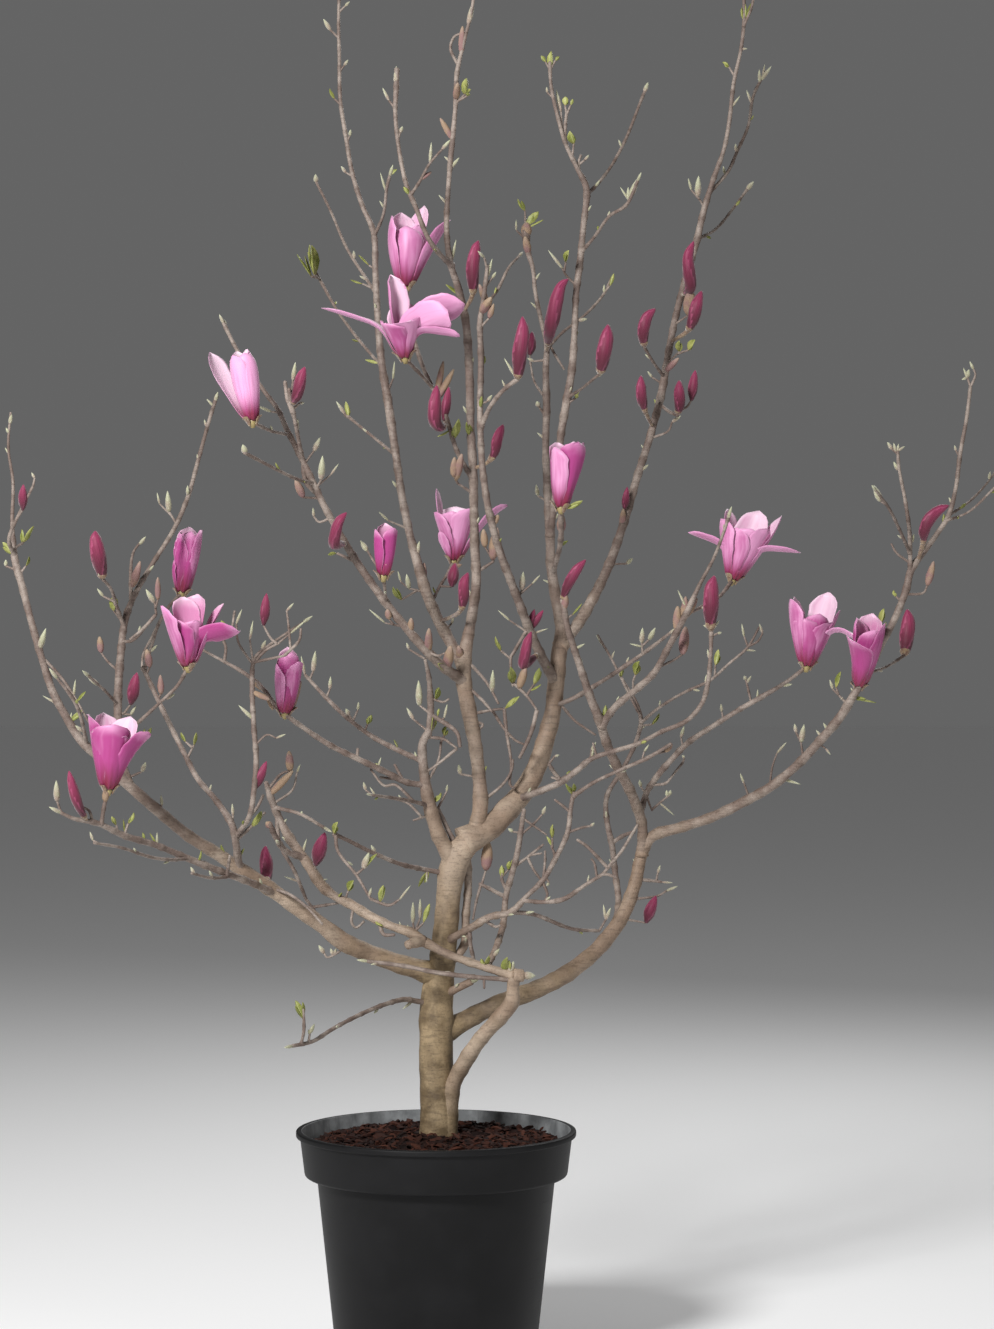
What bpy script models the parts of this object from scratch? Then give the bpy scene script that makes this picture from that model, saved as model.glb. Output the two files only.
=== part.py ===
"""Young lily magnolia in bloom, standing in a round nursery pot.

The wood, flowers and buds are drawn on a front elevation in centimetres. Each point is
(across, up, back): across and up are read on the upright plane through the pot's centre,
as seen by an eye in front of the tree, and back says how far the point really lies behind
that plane, at the scale that DEPTH gives. A branch, bud or flower starts on the centre line
of what carries it. The origin is on the floor under the centre of the pot, with +Z up.
"""
import math

import bmesh
import bpy
from mathutils import Matrix, Vector

# ---------------------------------------------------------------- driving dimensions
CM = 0.01                   # the drawn lists are in centimetres
GAP = 0.03                  # cm, clearance between touching pieces
EYE = (7.6, -384.0, 88.3)   # cm, where the front elevation is seen from
DEPTH = 2.0                 # real depth of the crown, for each cm of back in the lists

POT_HEIGHT = 30.2           # cm
POT_LIP_RADIUS = 17.5
POT_BAND_TOP_RADIUS = 17.0
POT_BAND_FOOT_RADIUS = 16.4
POT_SHELF_HEIGHT = 24.6      # foot of the band under the lip
POT_NECK_RADIUS = 14.9
POT_FOOT_RADIUS = 12.3
POT_WALL = 0.25
POT_FLOOR = 0.5
POT_SIDES = 32
DRAIN_HOLES = 6
DRAIN_RADIUS = 0.9
DRAIN_RING_RADIUS = 9.6

SOIL_EDGE_HEIGHT = 28.5     # cm above the floor, at the pot's wall
SOIL_CROWN = 1.4            # cm, rise of the compost toward the trunk
SOIL_BUMP = 0.22

# ---------------------------------------------------------------- colours (linear RGB)
BARK = (0.42, 0.33, 0.23)
TWIG = (0.40, 0.30, 0.27)
PETAL = (0.62, 0.14, 0.36)
BUD = (0.34, 0.09, 0.17)
COMPOST = (0.035, 0.016, 0.011)
PLASTIC = (0.025, 0.026, 0.028)

# ---------------------------------------------------------------- the wood
# name: (node, carriers, sides, [(across, up, back, radius), ...])
# A carrier in the same node is grown together with the branch. A carrier in another
# node is a seat: the branch is cut back so that it only just clears it.
WOOD = {
    "trunk": ("trunk", (), 9, [
        (0.4, 23.0, 0.0, 1.6), (0.3, 28.0, 0.0, 2.3), (0.3, 31.0, 0.0, 2.3), (0.1, 34.5, 0.0, 2.1),
        (0.0, 38.5, 0.0, 2.05), (0.0, 43.0, 0.0, 2.1), (0.1, 47.0, 0.0, 1.95),
        (0.7, 51.0, 0.0, 1.6), (1.2, 55.0, 0.0, 1.5), (1.5, 59.0, 0.0, 1.45),
        (2.0, 62.5, 0.0, 1.7), (2.8, 65.0, 0.0, 1.75), (3.4, 66.2, 0.0, 1.0)]),
    "trunk_side": ("trunk", ("trunk",), 6, [
        (2.0, 50.0, -0.4, 0.5), (3.4, 53.0, -0.3, 0.55), (3.7, 57.0, 0.0, 0.5),
        (4.0, 61.0, 0.2, 0.5), (3.6, 64.6, 0.2, 0.7)]),
    "trunk_stub": ("trunk", ("trunk",), 5, [
        (0.8, 46.6, -0.8, 0.5), (2.8, 47.9, -1.6, 0.5), (4.4, 48.7, -2.0, 0.5)]),

    "low_twig": ("low_twig", ("trunk",), 5, [
        (-0.6, 45.8, -0.3, 0.35), (-2.4, 46.2, -1.0, 0.35), (-4.2, 46.4, -2.0, 0.32),
        (-7.0, 45.6, -4.0, 0.28), (-10.0, 44.3, -6.0, 0.26), (-13.0, 42.7, -8.0, 0.24),
        (-15.4, 41.2, -9.5, 0.24), (-18.0, 40.6, -11.0, 0.24)]),
    "low_twig_b": ("low_twig", ("low_twig",), 4, [
        (-16.9, 40.8, -10.4, 0.18), (-16.5, 42.6, -10.8, 0.16), (-16.6, 45.2, -11.2, 0.14)]),

    "low_stem": ("low_stem", ("trunk",), 6, [
        (1.3, 33.2, -0.6, 0.95), (2.2, 36.0, -1.3, 1.0), (3.7, 38.8, -2.0, 0.95),
        (5.6, 41.6, -2.8, 0.9), (7.8, 44.0, -3.5, 0.95), (9.4, 46.0, -4.0, 0.9),
        (9.6, 48.0, -4.2, 0.75), (9.7, 49.4, -4.3, 0.7)]),
    "low_stem_stub": ("low_stem", ("low_stem",), 6, [
        (8.9, 49.5, -4.3, 0.6), (10.9, 49.4, -4.3, 0.65)]),
    "low_cross": ("low_stem", ("low_stem",), 6, [
        (9.6, 49.7, -4.3, 0.5), (6.0, 50.5, -4.2, 0.5), (3.0, 51.5, -4.0, 0.48),
        (0.8, 52.4, -3.8, 0.5), (-1.4, 53.6, -3.6, 0.6), (-3.2, 54.8, -3.4, 0.65),
        (-5.6, 55.6, -3.1, 0.55), (-8.2, 56.8, -2.7, 0.6), (-10.5, 58.2, -2.2, 0.6),
        (-12.6, 59.3, -1.8, 0.55), (-14.4, 60.8, -1.5, 0.7), (-16.2, 63.6, -1.3, 0.65),
        (-18.2, 66.4, -1.2, 0.6), (-19.6, 69.0, -1.2, 0.5), (-20.6, 71.4, -1.6, 0.45),
        (-21.3, 73.6, -2.0, 0.3)]),
    "low_cross_b": ("low_stem", ("low_stem",), 5, [
        (9.5, 48.9, -4.5, 0.3), (5.0, 49.2, -4.8, 0.28), (0.0, 49.8, -4.8, 0.28),
        (-4.0, 50.6, -4.6, 0.26), (-8.6, 51.2, -4.6, 0.22)]),
    "low_cross_c": ("low_stem", ("low_cross",), 5, [
        (-16.6, 64.2, -1.3, 0.4), (-18.8, 65.0, -2.2, 0.4), (-20.0, 66.6, -3.0, 0.36),
        (-20.8, 68.4, -3.6, 0.3)]),
    "low_cross_d": ("low_stem", ("low_cross",), 4, [
        (-19.8, 70.6, -1.4, 0.26), (-17.0, 69.6, -2.4, 0.22), (-14.0, 67.9, -3.6, 0.2)]),

    "left_limb": ("left_limb", ("trunk",), 6, [
        (0.4, 49.4, 0.2, 1.1), (-2.2, 50.2, -0.2, 1.2), (-5.0, 51.0, -0.9, 1.15),
        (-8.4, 52.2, -1.6, 1.1), (-11.4, 53.5, -2.4, 1.1), (-14.0, 55.5, -3.0, 1.0),
        (-17.0, 57.6, -3.8, 0.95), (-20.4, 60.0, -4.7, 0.9), (-24.0, 62.4, -5.6, 0.85),
        (-27.5, 64.7, -6.5, 0.75), (-31.0, 66.9, -7.5, 0.7), (-34.5, 69.8, -8.5, 0.65),
        (-38.2, 73.0, -9.4, 0.65), (-41.6, 76.2, -9.8, 0.55), (-44.4, 78.8, -10.0, 0.5),
        (-46.3, 81.8, -10.0, 0.48), (-47.9, 84.8, -10.0, 0.45), (-49.3, 89.0, -9.8, 0.42),
        (-50.7, 94.0, -9.5, 0.4), (-51.8, 98.2, -9.2, 0.45), (-52.7, 101.6, -9.0, 0.45),
        (-53.0, 106.0, -8.8, 0.24), (-52.9, 111.0, -8.6, 0.2), (-53.5, 115.4, -8.6, 0.16),
        (-53.2, 119.8, -8.6, 0.14)]),
    "left_limb_b": ("left_limb", ("left_limb",), 4, [
        (-52.7, 101.8, -9.0, 0.24), (-53.4, 104.0, -10.0, 0.24), (-52.2, 107.0, -11.0, 0.2),
        (-50.4, 110.6, -12.0, 0.16)]),
    "left_limb_c": ("left_limb", ("left_limb",), 4, [
        (-43.6, 78.2, -10.0, 0.24), (-44.4, 81.6, -11.6, 0.22), (-45.4, 84.0, -12.6, 0.24),
        (-47.4, 86.6, -13.4, 0.16)]),

    "left_leader": ("left_leader", ("left_limb",), 6, [
        (-38.6, 73.3, -9.2, 0.5), (-39.5, 77.6, -8.2, 0.48), (-39.8, 82.0, -7.4, 0.5),
        (-39.7, 86.0, -6.6, 0.48), (-39.4, 90.0, -5.8, 0.45), (-38.9, 93.8, -5.0, 0.42),
        (-37.6, 97.2, -4.0, 0.35), (-35.4, 101.0, -2.8, 0.3), (-32.8, 105.2, -1.4, 0.28),
        (-31.0, 109.4, -0.2, 0.28), (-29.6, 114.4, 1.0, 0.26), (-28.5, 118.4, 2.0, 0.24),
        (-27.4, 122.0, 3.0, 0.24)]),
    "left_leader_b": ("left_leader", ("left_leader",), 4, [
        (-39.3, 93.0, -5.2, 0.26), (-40.0, 95.6, -6.2, 0.24), (-40.6, 97.6, -7.2, 0.2),
        (-41.7, 99.0, -8.0, 0.2)]),
    "left_leader_c": ("left_leader", ("left_leader",), 4, [
        (-38.3, 95.8, -4.6, 0.24), (-38.2, 99.4, -3.0, 0.22), (-37.9, 102.2, -2.0, 0.16),
        (-36.6, 104.0, -1.2, 0.16)]),
    "left_leader_d": ("left_leader", ("left_leader",), 4, [
        (-39.8, 83.2, -7.2, 0.2), (-41.4, 85.0, -8.6, 0.18), (-43.4, 86.8, -10.0, 0.18)]),
    "left_leader_e": ("left_leader", ("left_leader",), 4, [
        (-39.5, 91.2, -5.6, 0.22), (-37.8, 91.4, -6.6, 0.2), (-36.2, 93.2, -7.6, 0.2),
        (-35.0, 94.6, -8.4, 0.18)]),
    "flower_e_stalk": ("left_leader", ("left_leader",), 4, [
        (-39.5, 79.0, -8.0, 0.24), (-37.4, 80.9, -9.4, 0.22), (-34.8, 83.3, -10.6, 0.2),
        (-32.4, 85.6, -11.2, 0.2), (-31.0, 88.0, -11.6, 0.24)]),

    "left_low": ("left_low", ("left_limb",), 6, [
        (-20.0, 59.6, -5.0, 0.45), (-23.6, 61.2, -7.2, 0.45), (-27.4, 62.6, -8.8, 0.42),
        (-31.4, 64.2, -10.2, 0.42), (-35.0, 65.7, -11.6, 0.38), (-39.0, 66.9, -13.2, 0.38),
        (-42.2, 68.4, -14.4, 0.34), (-45.2, 69.0, -15.2, 0.22), (-47.0, 69.8, -15.6, 0.2)]),
    "left_low_b": ("left_low", ("left_low",), 4, [
        (-31.0, 64.1, -10.1, 0.24), (-33.4, 63.9, -11.8, 0.22), (-36.0, 64.3, -13.4, 0.2),
        (-39.4, 65.4, -15.2, 0.18), (-42.8, 66.0, -16.8, 0.16)]),
    "left_low_c": ("left_low", ("left_low",), 4, [
        (-25.4, 61.9, -8.0, 0.22), (-28.0, 61.6, -9.8, 0.2), (-30.6, 62.2, -11.4, 0.16)]),
    "flower_f_stalk": ("left_low", ("left_low",), 4, [
        (-41.9, 68.2, -14.3, 0.24), (-41.5, 70.6, -14.8, 0.22), (-41.0, 72.6, -15.0, 0.26)]),

    "left_inner": ("left_inner", ("left_limb",), 6, [
        (-24.6, 62.8, -6.0, 0.45), (-25.0, 65.6, -7.4, 0.45), (-25.6, 68.4, -7.8, 0.42),
        (-27.6, 71.4, -7.0, 0.36), (-29.8, 74.0, -6.2, 0.34), (-31.6, 77.4, -5.4, 0.32),
        (-33.4, 81.0, -4.6, 0.32), (-35.2, 84.8, -4.0, 0.3), (-36.7, 88.0, -3.6, 0.28)]),
    "left_inner_b": ("left_inner", ("left_inner",), 5, [
        (-25.2, 66.6, -7.6, 0.3), (-23.4, 69.2, -9.2, 0.32), (-22.8, 72.4, -9.8, 0.34),
        (-22.5, 76.4, -9.6, 0.34), (-22.8, 80.6, -9.4, 0.32), (-23.0, 85.0, -9.2, 0.3),
        (-22.8, 88.8, -9.0, 0.24), (-21.0, 90.6, -8.6, 0.2), (-19.0, 92.0, -8.2, 0.18),
        (-16.6, 93.6, -7.8, 0.14)]),
    "flower_d_stalk": ("left_inner", ("left_inner",), 4, [
        (-36.5, 87.6, -3.7, 0.22), (-35.6, 90.6, -2.8, 0.2), (-34.6, 93.6, -1.8, 0.2),
        (-33.2, 95.8, -0.8, 0.2), (-31.8, 97.2, 0.0, 0.24)]),

    "left_fork": ("left_fork", ("trunk",), 6, [
        (2.0, 63.6, -0.2, 0.95), (0.6, 66.4, -0.8, 0.95), (-0.5, 69.4, -1.3, 0.9),
        (-1.2, 72.4, -1.7, 0.75), (-1.6, 75.6, -2.0, 0.6), (-1.7, 78.4, -2.2, 0.5),
        (-0.8, 80.4, -2.6, 0.45), (-0.7, 83.6, -3.0, 0.4), (-0.9, 86.6, -3.6, 0.3),
        (-1.4, 89.0, -4.4, 0.2)]),
    "left_fork_b": ("left_fork", ("left_fork",), 6, [
        (-1.5, 73.2, -1.8, 0.36), (-3.8, 73.6, -2.4, 0.38), (-6.6, 75.0, -3.0, 0.38),
        (-10.0, 76.6, -3.6, 0.36), (-13.4, 78.3, -4.2, 0.34), (-16.6, 80.4, -4.8, 0.32),
        (-19.6, 82.7, -5.2, 0.3), (-21.6, 85.2, -4.6, 0.28), (-23.8, 87.1, -4.2, 0.24),
        (-26.4, 88.6, -4.0, 0.2), (-29.0, 90.0, -4.0, 0.16)]),
    "left_fork_c": ("left_fork", ("left_fork",), 6, [
        (-1.7, 76.2, -2.0, 0.34), (-4.6, 77.5, -1.0, 0.32), (-8.0, 79.3, 0.4, 0.3),
        (-11.2, 81.7, 1.6, 0.28), (-14.0, 84.4, 2.6, 0.26), (-16.4, 87.0, 3.4, 0.22)]),
    "left_fork_d": ("left_fork", ("left_fork",), 4, [
        (-1.0, 70.6, -1.5, 0.26), (-4.0, 71.4, -3.6, 0.22), (-8.0, 72.0, -6.2, 0.18)]),

    "left_thin": ("left_thin", ("trunk",), 5, [
        (1.0, 62.2, -0.4, 0.34), (-1.6, 62.7, -1.2, 0.32), (-4.6, 63.4, -3.0, 0.28),
        (-8.0, 64.8, -4.6, 0.26), (-11.0, 66.3, -6.0, 0.26), (-12.8, 67.1, -6.8, 0.28)]),
    "left_thin_b": ("left_thin", ("left_thin",), 4, [
        (-12.6, 67.0, -6.7, 0.24), (-12.2, 64.8, -7.4, 0.2), (-10.0, 62.0, -8.2, 0.18),
        (-8.2, 59.0, -9.0, 0.16)]),

    "center_leader": ("center_leader", ("trunk",), 6, [
        (3.0, 64.6, 0.4, 1.2), (4.8, 67.2, 0.6, 1.15), (5.5, 70.4, 0.8, 0.95),
        (5.4, 74.0, 1.0, 0.85), (4.9, 78.0, 1.0, 0.85), (4.2, 82.0, 1.0, 0.95),
        (3.5, 86.0, 1.0, 1.0), (3.6, 89.6, 1.0, 0.85), (4.4, 94.0, 1.0, 0.65),
        (5.0, 98.6, 1.0, 0.6), (4.8, 103.6, 1.0, 0.58), (4.7, 108.6, 0.8, 0.55),
        (4.6, 113.0, 0.5, 0.55), (4.3, 118.0, 0.2, 0.5), (4.2, 123.4, -0.2, 0.5),
        (4.0, 128.0, -0.7, 0.5), (3.6, 131.8, -1.2, 0.5), (2.7, 135.6, -2.0, 0.45),
        (1.7, 138.8, -2.8, 0.4), (1.3, 143.0, -3.2, 0.34), (1.5, 147.6, -3.4, 0.3),
        (1.9, 152.6, -3.6, 0.34), (2.4, 157.8, -3.8, 0.3), (2.6, 162.2, -4.0, 0.28),
        (3.6, 166.6, -4.2, 0.22), (4.5, 170.4, -4.4, 0.2), (4.9, 174.2, -4.6, 0.2)]),
    "center_b": ("center_leader", ("center_leader",), 5, [
        (1.9, 138.2, -2.7, 0.34), (0.2, 139.9, -4.4, 0.32), (-1.2, 142.0, -5.2, 0.3),
        (-2.6, 145.6, -5.4, 0.3), (-3.7, 148.2, -5.4, 0.28), (-4.6, 152.4, -5.4, 0.26),
        (-5.1, 157.0, -5.4, 0.26), (-5.0, 160.2, -5.4, 0.34), (-4.9, 162.8, -5.4, 0.3)]),
    "center_c": ("center_leader", ("center_b",), 4, [
        (-3.2, 147.0, -5.4, 0.2), (-2.0, 148.8, -6.0, 0.18), (-0.9, 150.8, -6.6, 0.16),
        (0.8, 152.8, -7.4, 0.14)]),
    "flower_a_stalk": ("center_leader", ("center_leader",), 5, [
        (4.4, 111.2, 0.6, 0.3), (2.6, 115.0, -0.2, 0.3), (1.2, 119.4, -0.4, 0.3),
        (-0.3, 122.6, 0.2, 0.3), (-1.6, 125.4, 1.0, 0.3), (-2.8, 129.0, 2.2, 0.28),
        (-3.5, 132.6, 2.8, 0.26), (-3.8, 135.4, 3.0, 0.3)]),
    "flower_b_stalk": ("center_leader", ("flower_a_stalk",), 4, [
        (-0.4, 122.9, 0.2, 0.22), (-2.2, 124.8, -1.4, 0.22), (-3.9, 126.6, -3.0, 0.26)]),

    "left_tall": ("left_tall", ("center_leader",), 6, [
        (3.4, 88.0, 1.6, 0.7), (1.6, 91.4, 2.6, 0.72), (0.2, 94.0, 3.0, 0.72),
        (-1.2, 97.2, 3.2, 0.68), (-2.4, 101.2, 3.4, 0.6), (-3.4, 105.0, 3.6, 0.52),
        (-4.3, 109.4, 3.8, 0.5), (-5.1, 115.0, 4.2, 0.5), (-6.0, 121.0, 4.6, 0.55),
        (-6.8, 126.0, 5.0, 0.48), (-7.3, 131.6, 5.4, 0.44), (-7.6, 137.4, 5.8, 0.4),
        (-7.8, 142.2, 6.2, 0.38), (-9.2, 145.6, 6.6, 0.32), (-10.5, 149.8, 7.0, 0.3),
        (-11.3, 154.4, 7.4, 0.28), (-12.0, 159.0, 7.8, 0.26), (-12.1, 164.0, 8.2, 0.24),
        (-12.2, 169.0, 8.6, 0.22), (-12.0, 174.6, 9.0, 0.2)]),
    "left_tall_b": ("left_tall", ("left_tall",), 4, [
        (-7.8, 141.8, 6.2, 0.24), (-6.6, 144.6, 5.2, 0.2), (-6.2, 147.8, 4.4, 0.2),
        (-5.8, 149.4, 4.0, 0.2)]),
    "left_tall_c": ("left_tall", ("left_tall",), 4, [
        (-7.4, 134.6, 5.6, 0.24), (-8.8, 136.6, 7.4, 0.22), (-11.2, 140.4, 9.6, 0.2),
        (-13.2, 145.0, 11.6, 0.18), (-15.0, 148.6, 13.2, 0.18)]),
    "left_tall_d": ("left_tall", ("left_tall",), 4, [
        (-6.9, 125.4, 5.0, 0.22), (-8.6, 127.6, 6.6, 0.2), (-10.4, 129.8, 8.0, 0.2),
        (-12.4, 132.6, 9.6, 0.18), (-14.2, 135.8, 11.2, 0.22), (-15.2, 137.6, 12.0, 0.2)]),
    "left_tall_e": ("left_tall", ("left_tall",), 4, [
        (-5.0, 114.4, 4.2, 0.22), (-7.2, 116.2, 6.0, 0.2), (-9.8, 118.3, 8.0, 0.18),
        (-11.4, 119.6, 9.2, 0.24)]),
    "flower_h_stalk": ("left_tall", ("left_tall",), 4, [
        (-0.8, 95.8, 3.2, 0.22), (0.3, 97.8, 4.8, 0.2), (1.4, 99.6, 6.2, 0.2),
        (2.2, 101.2, 7.0, 0.22)]),

    "left_slant": ("left_slant", ("center_leader",), 6, [
        (3.2, 86.2, 0.6, 0.62), (0.9, 88.0, -1.0, 0.62), (-1.4, 90.2, -2.0, 0.6),
        (-3.6, 92.7, -2.6, 0.56), (-6.2, 95.9, -3.0, 0.52), (-8.6, 99.2, -3.4, 0.48),
        (-10.6, 102.2, -3.8, 0.46), (-12.5, 105.4, -4.2, 0.44), (-14.3, 108.7, -4.6, 0.42),
        (-15.8, 112.0, -5.0, 0.38), (-17.3, 115.0, -5.0, 0.36), (-18.8, 118.0, -5.0, 0.36),
        (-19.8, 120.2, -4.8, 0.3), (-21.6, 122.6, -4.4, 0.26), (-23.2, 125.0, -4.0, 0.22),
        (-25.0, 127.8, -3.6, 0.24), (-26.6, 131.0, -3.4, 0.26)]),
    "left_slant_b": ("left_slant", ("left_slant",), 4, [
        (-15.4, 111.0, -4.9, 0.26), (-17.2, 111.4, -6.4, 0.22), (-20.0, 112.7, -8.2, 0.2),
        (-24.0, 114.8, -10.6, 0.22)]),
    "left_slant_c": ("left_slant", ("left_slant",), 4, [
        (-16.6, 113.8, -5.0, 0.26), (-17.4, 117.4, -6.6, 0.24), (-18.0, 120.6, -7.6, 0.26),
        (-18.4, 122.8, -8.2, 0.2)]),
    "flower_c_stalk": ("left_slant", ("left_slant",), 4, [
        (-18.4, 117.0, -5.1, 0.22), (-20.6, 117.5, -7.2, 0.2), (-23.0, 118.6, -9.2, 0.26)]),
    "flower_m_stalk": ("left_slant", ("left_slant",), 4, [
        (-6.4, 96.0, -3.1, 0.2), (-6.4, 97.6, -4.4, 0.2), (-6.6, 99.3, -5.2, 0.24)]),

    "right_leader": ("right_leader", ("trunk", "center_leader"), 6, [
        (4.6, 65.4, 0.8, 1.3), (6.8, 68.0, 1.4, 1.45), (9.0, 70.2, 2.0, 1.45),
        (11.0, 72.6, 2.8, 1.35), (12.6, 75.6, 3.4, 1.2), (13.7, 79.0, 4.0, 1.1),
        (14.6, 82.6, 4.4, 1.05), (15.0, 86.4, 4.6, 1.05), (15.4, 90.0, 4.6, 0.95),
        (15.6, 93.0, 4.6, 0.75), (15.0, 96.4, 4.5, 0.68), (14.4, 100.4, 4.4, 0.62),
        (14.2, 105.0, 4.3, 0.6), (13.9, 110.0, 4.2, 0.5), (13.7, 115.4, 4.1, 0.44),
        (13.8, 120.6, 4.0, 0.48), (13.7, 125.0, 4.0, 0.42), (13.8, 128.4, 4.0, 0.36),
        (13.1, 131.4, 4.0, 0.28), (12.4, 134.8, 4.0, 0.26), (12.1, 137.8, 4.0, 0.26),
        (11.4, 140.2, 4.0, 0.4), (11.2, 142.6, 4.0, 0.55)]),
    "right_leader_b": ("right_leader", ("right_leader",), 4, [
        (13.8, 127.6, 4.0, 0.2), (15.8, 129.8, 5.0, 0.18), (18.6, 132.0, 6.4, 0.18),
        (20.8, 134.4, 7.6, 0.18), (21.9, 136.6, 8.2, 0.16)]),
    "flower_i_stalk": ("right_leader", ("right_leader",), 5, [
        (14.6, 99.6, 4.2, 0.3), (15.2, 101.8, 2.2, 0.28), (15.6, 104.4, 0.4, 0.36),
        (15.6, 107.8, -1.0, 0.36)]),

    "right_twin": ("right_twin", ("right_leader",), 6, [
        (14.2, 104.4, 4.0, 0.45), (14.7, 108.0, 3.2, 0.45), (15.2, 112.6, 2.6, 0.46),
        (15.6, 117.0, 2.3, 0.48), (16.3, 121.2, 2.2, 0.52), (17.0, 125.4, 2.1, 0.5),
        (17.3, 130.0, 2.0, 0.42), (17.5, 134.6, 2.0, 0.42), (18.0, 138.8, 2.0, 0.42),
        (18.4, 143.0, 2.0, 0.4), (18.8, 147.6, 2.0, 0.42), (17.6, 150.4, 1.6, 0.3),
        (16.2, 153.4, 1.2, 0.28), (15.2, 156.8, 0.9, 0.26), (14.4, 160.4, 0.6, 0.22),
        (14.2, 163.6, 0.4, 0.26)]),
    "right_twin_b": ("right_twin", ("right_twin",), 4, [
        (18.6, 147.0, 2.0, 0.26), (20.2, 148.4, 3.2, 0.22), (22.0, 150.8, 4.6, 0.2),
        (23.8, 154.2, 6.0, 0.2), (25.3, 158.0, 7.2, 0.2), (26.4, 160.8, 8.0, 0.22)]),
    "right_twin_c": ("right_twin", ("right_twin",), 4, [
        (18.2, 139.8, 2.0, 0.24), (19.8, 141.8, 0.8, 0.2), (21.6, 144.3, -0.6, 0.2),
        (23.8, 145.8, -2.0, 0.22), (25.2, 148.8, -3.0, 0.2)]),
    "bud_r_stalk": ("right_twin", ("right_twin",), 4, [
        (16.4, 121.6, 2.2, 0.22), (18.2, 122.8, 0.4, 0.18), (20.4, 124.6, -1.4, 0.18)]),

    "mid_riser": ("mid_riser", ("right_leader",), 6, [
        (15.0, 86.0, 4.2, 0.62), (13.2, 89.2, 2.8, 0.62), (11.8, 92.3, 1.6, 0.56),
        (10.6, 95.4, 0.4, 0.54), (9.3, 98.8, -0.8, 0.5), (8.1, 102.0, -1.8, 0.5),
        (7.1, 105.4, -2.6, 0.5), (6.3, 109.0, -3.2, 0.44), (5.7, 114.0, -3.4, 0.4),
        (5.5, 120.0, -3.6, 0.38), (5.6, 126.4, -3.8, 0.38), (5.5, 131.0, -4.4, 0.36),
        (6.0, 134.6, -5.0, 0.3), (6.4, 138.2, -5.4, 0.22)]),
    "mid_riser_b": ("mid_riser", ("mid_riser",), 5, [
        (5.5, 118.0, -3.5, 0.3), (6.8, 120.6, -4.2, 0.28), (8.4, 122.6, -5.0, 0.26),
        (10.2, 124.0, -5.8, 0.3)]),
    "mid_riser_c": ("mid_riser", ("mid_riser",), 4, [
        (5.8, 132.8, -4.7, 0.24), (7.6, 135.0, -3.4, 0.2), (9.0, 137.8, -2.2, 0.18),
        (10.4, 139.4, -0.6, 0.16)]),

    "right_tall": ("right_tall", ("right_leader",), 6, [
        (15.6, 90.4, 4.8, 0.7), (17.6, 93.2, 5.6, 0.72), (19.5, 96.4, 6.2, 0.68),
        (21.2, 99.8, 6.7, 0.6), (22.6, 103.4, 7.2, 0.56), (24.0, 107.8, 7.7, 0.52),
        (25.2, 112.0, 8.2, 0.5), (26.8, 117.0, 8.7, 0.48), (28.2, 122.4, 9.2, 0.5),
        (29.1, 127.6, 9.6, 0.46), (30.0, 132.0, 9.9, 0.44), (31.2, 136.6, 10.1, 0.44),
        (32.5, 141.0, 10.3, 0.46), (33.4, 144.8, 10.4, 0.42), (34.6, 148.8, 10.5, 0.34),
        (36.0, 152.8, 10.5, 0.3), (36.7, 156.6, 10.5, 0.28), (37.2, 161.0, 10.5, 0.26),
        (38.1, 165.2, 10.5, 0.24), (38.5, 169.0, 10.5, 0.24), (38.4, 173.4, 10.5, 0.22)]),
    "right_tall_b": ("right_tall", ("right_tall",), 4, [
        (34.2, 147.2, 10.5, 0.24), (36.4, 149.8, 11.4, 0.22), (37.6, 152.4, 12.0, 0.22),
        (39.0, 155.6, 12.6, 0.2), (39.6, 159.2, 13.0, 0.2), (40.8, 161.8, 13.4, 0.2)]),
    "right_tall_c": ("right_tall", ("right_tall",), 4, [
        (32.8, 141.4, 10.3, 0.24), (35.0, 142.8, 12.0, 0.2), (37.2, 145.4, 13.8, 0.18),
        (39.4, 148.4, 15.4, 0.2)]),
    "right_tall_d": ("right_tall", ("right_tall",), 4, [
        (38.4, 168.0, 10.5, 0.2), (39.4, 170.4, 10.1, 0.18), (39.9, 173.0, 9.8, 0.16)]),
    "bud_w_stalk": ("right_tall", ("right_tall",), 4, [
        (27.8, 121.0, 9.1, 0.24), (29.0, 120.0, 7.4, 0.22), (30.2, 119.4, 6.2, 0.22)]),
    "bud_s_stalk": ("right_tall", ("right_tall",), 4, [
        (28.6, 124.2, 9.3, 0.22), (27.2, 126.0, 7.8, 0.18), (26.0, 128.0, 6.6, 0.2)]),

    "right_limb": ("right_limb", ("trunk",), 6, [
        (0.6, 42.0, 0.4, 1.2), (3.2, 43.6, 0.9, 1.2), (6.4, 45.2, 1.4, 1.15),
        (9.6, 46.6, 1.9, 1.15), (13.0, 47.9, 2.6, 1.1), (16.4, 49.7, 3.4, 1.05),
        (19.4, 52.0, 4.3, 1.0), (21.8, 54.6, 5.0, 0.95), (23.6, 57.4, 5.5, 0.9),
        (24.9, 61.0, 5.9, 0.8), (25.6, 64.2, 6.2, 0.78), (27.0, 66.8, 6.0, 0.72),
        (30.4, 67.9, 5.2, 0.68), (34.4, 69.2, 4.2, 0.64), (38.2, 71.0, 3.2, 0.62),
        (41.8, 73.0, 2.2, 0.6), (45.2, 75.8, 1.2, 0.56), (48.0, 78.8, 0.2, 0.54),
        (50.4, 81.6, -0.6, 0.56), (52.4, 84.8, -1.2, 0.5), (54.3, 88.0, -1.4, 0.44),
        (56.0, 91.4, -1.5, 0.42), (57.6, 94.6, -1.5, 0.44), (58.8, 97.8, -1.5, 0.46),
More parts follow.
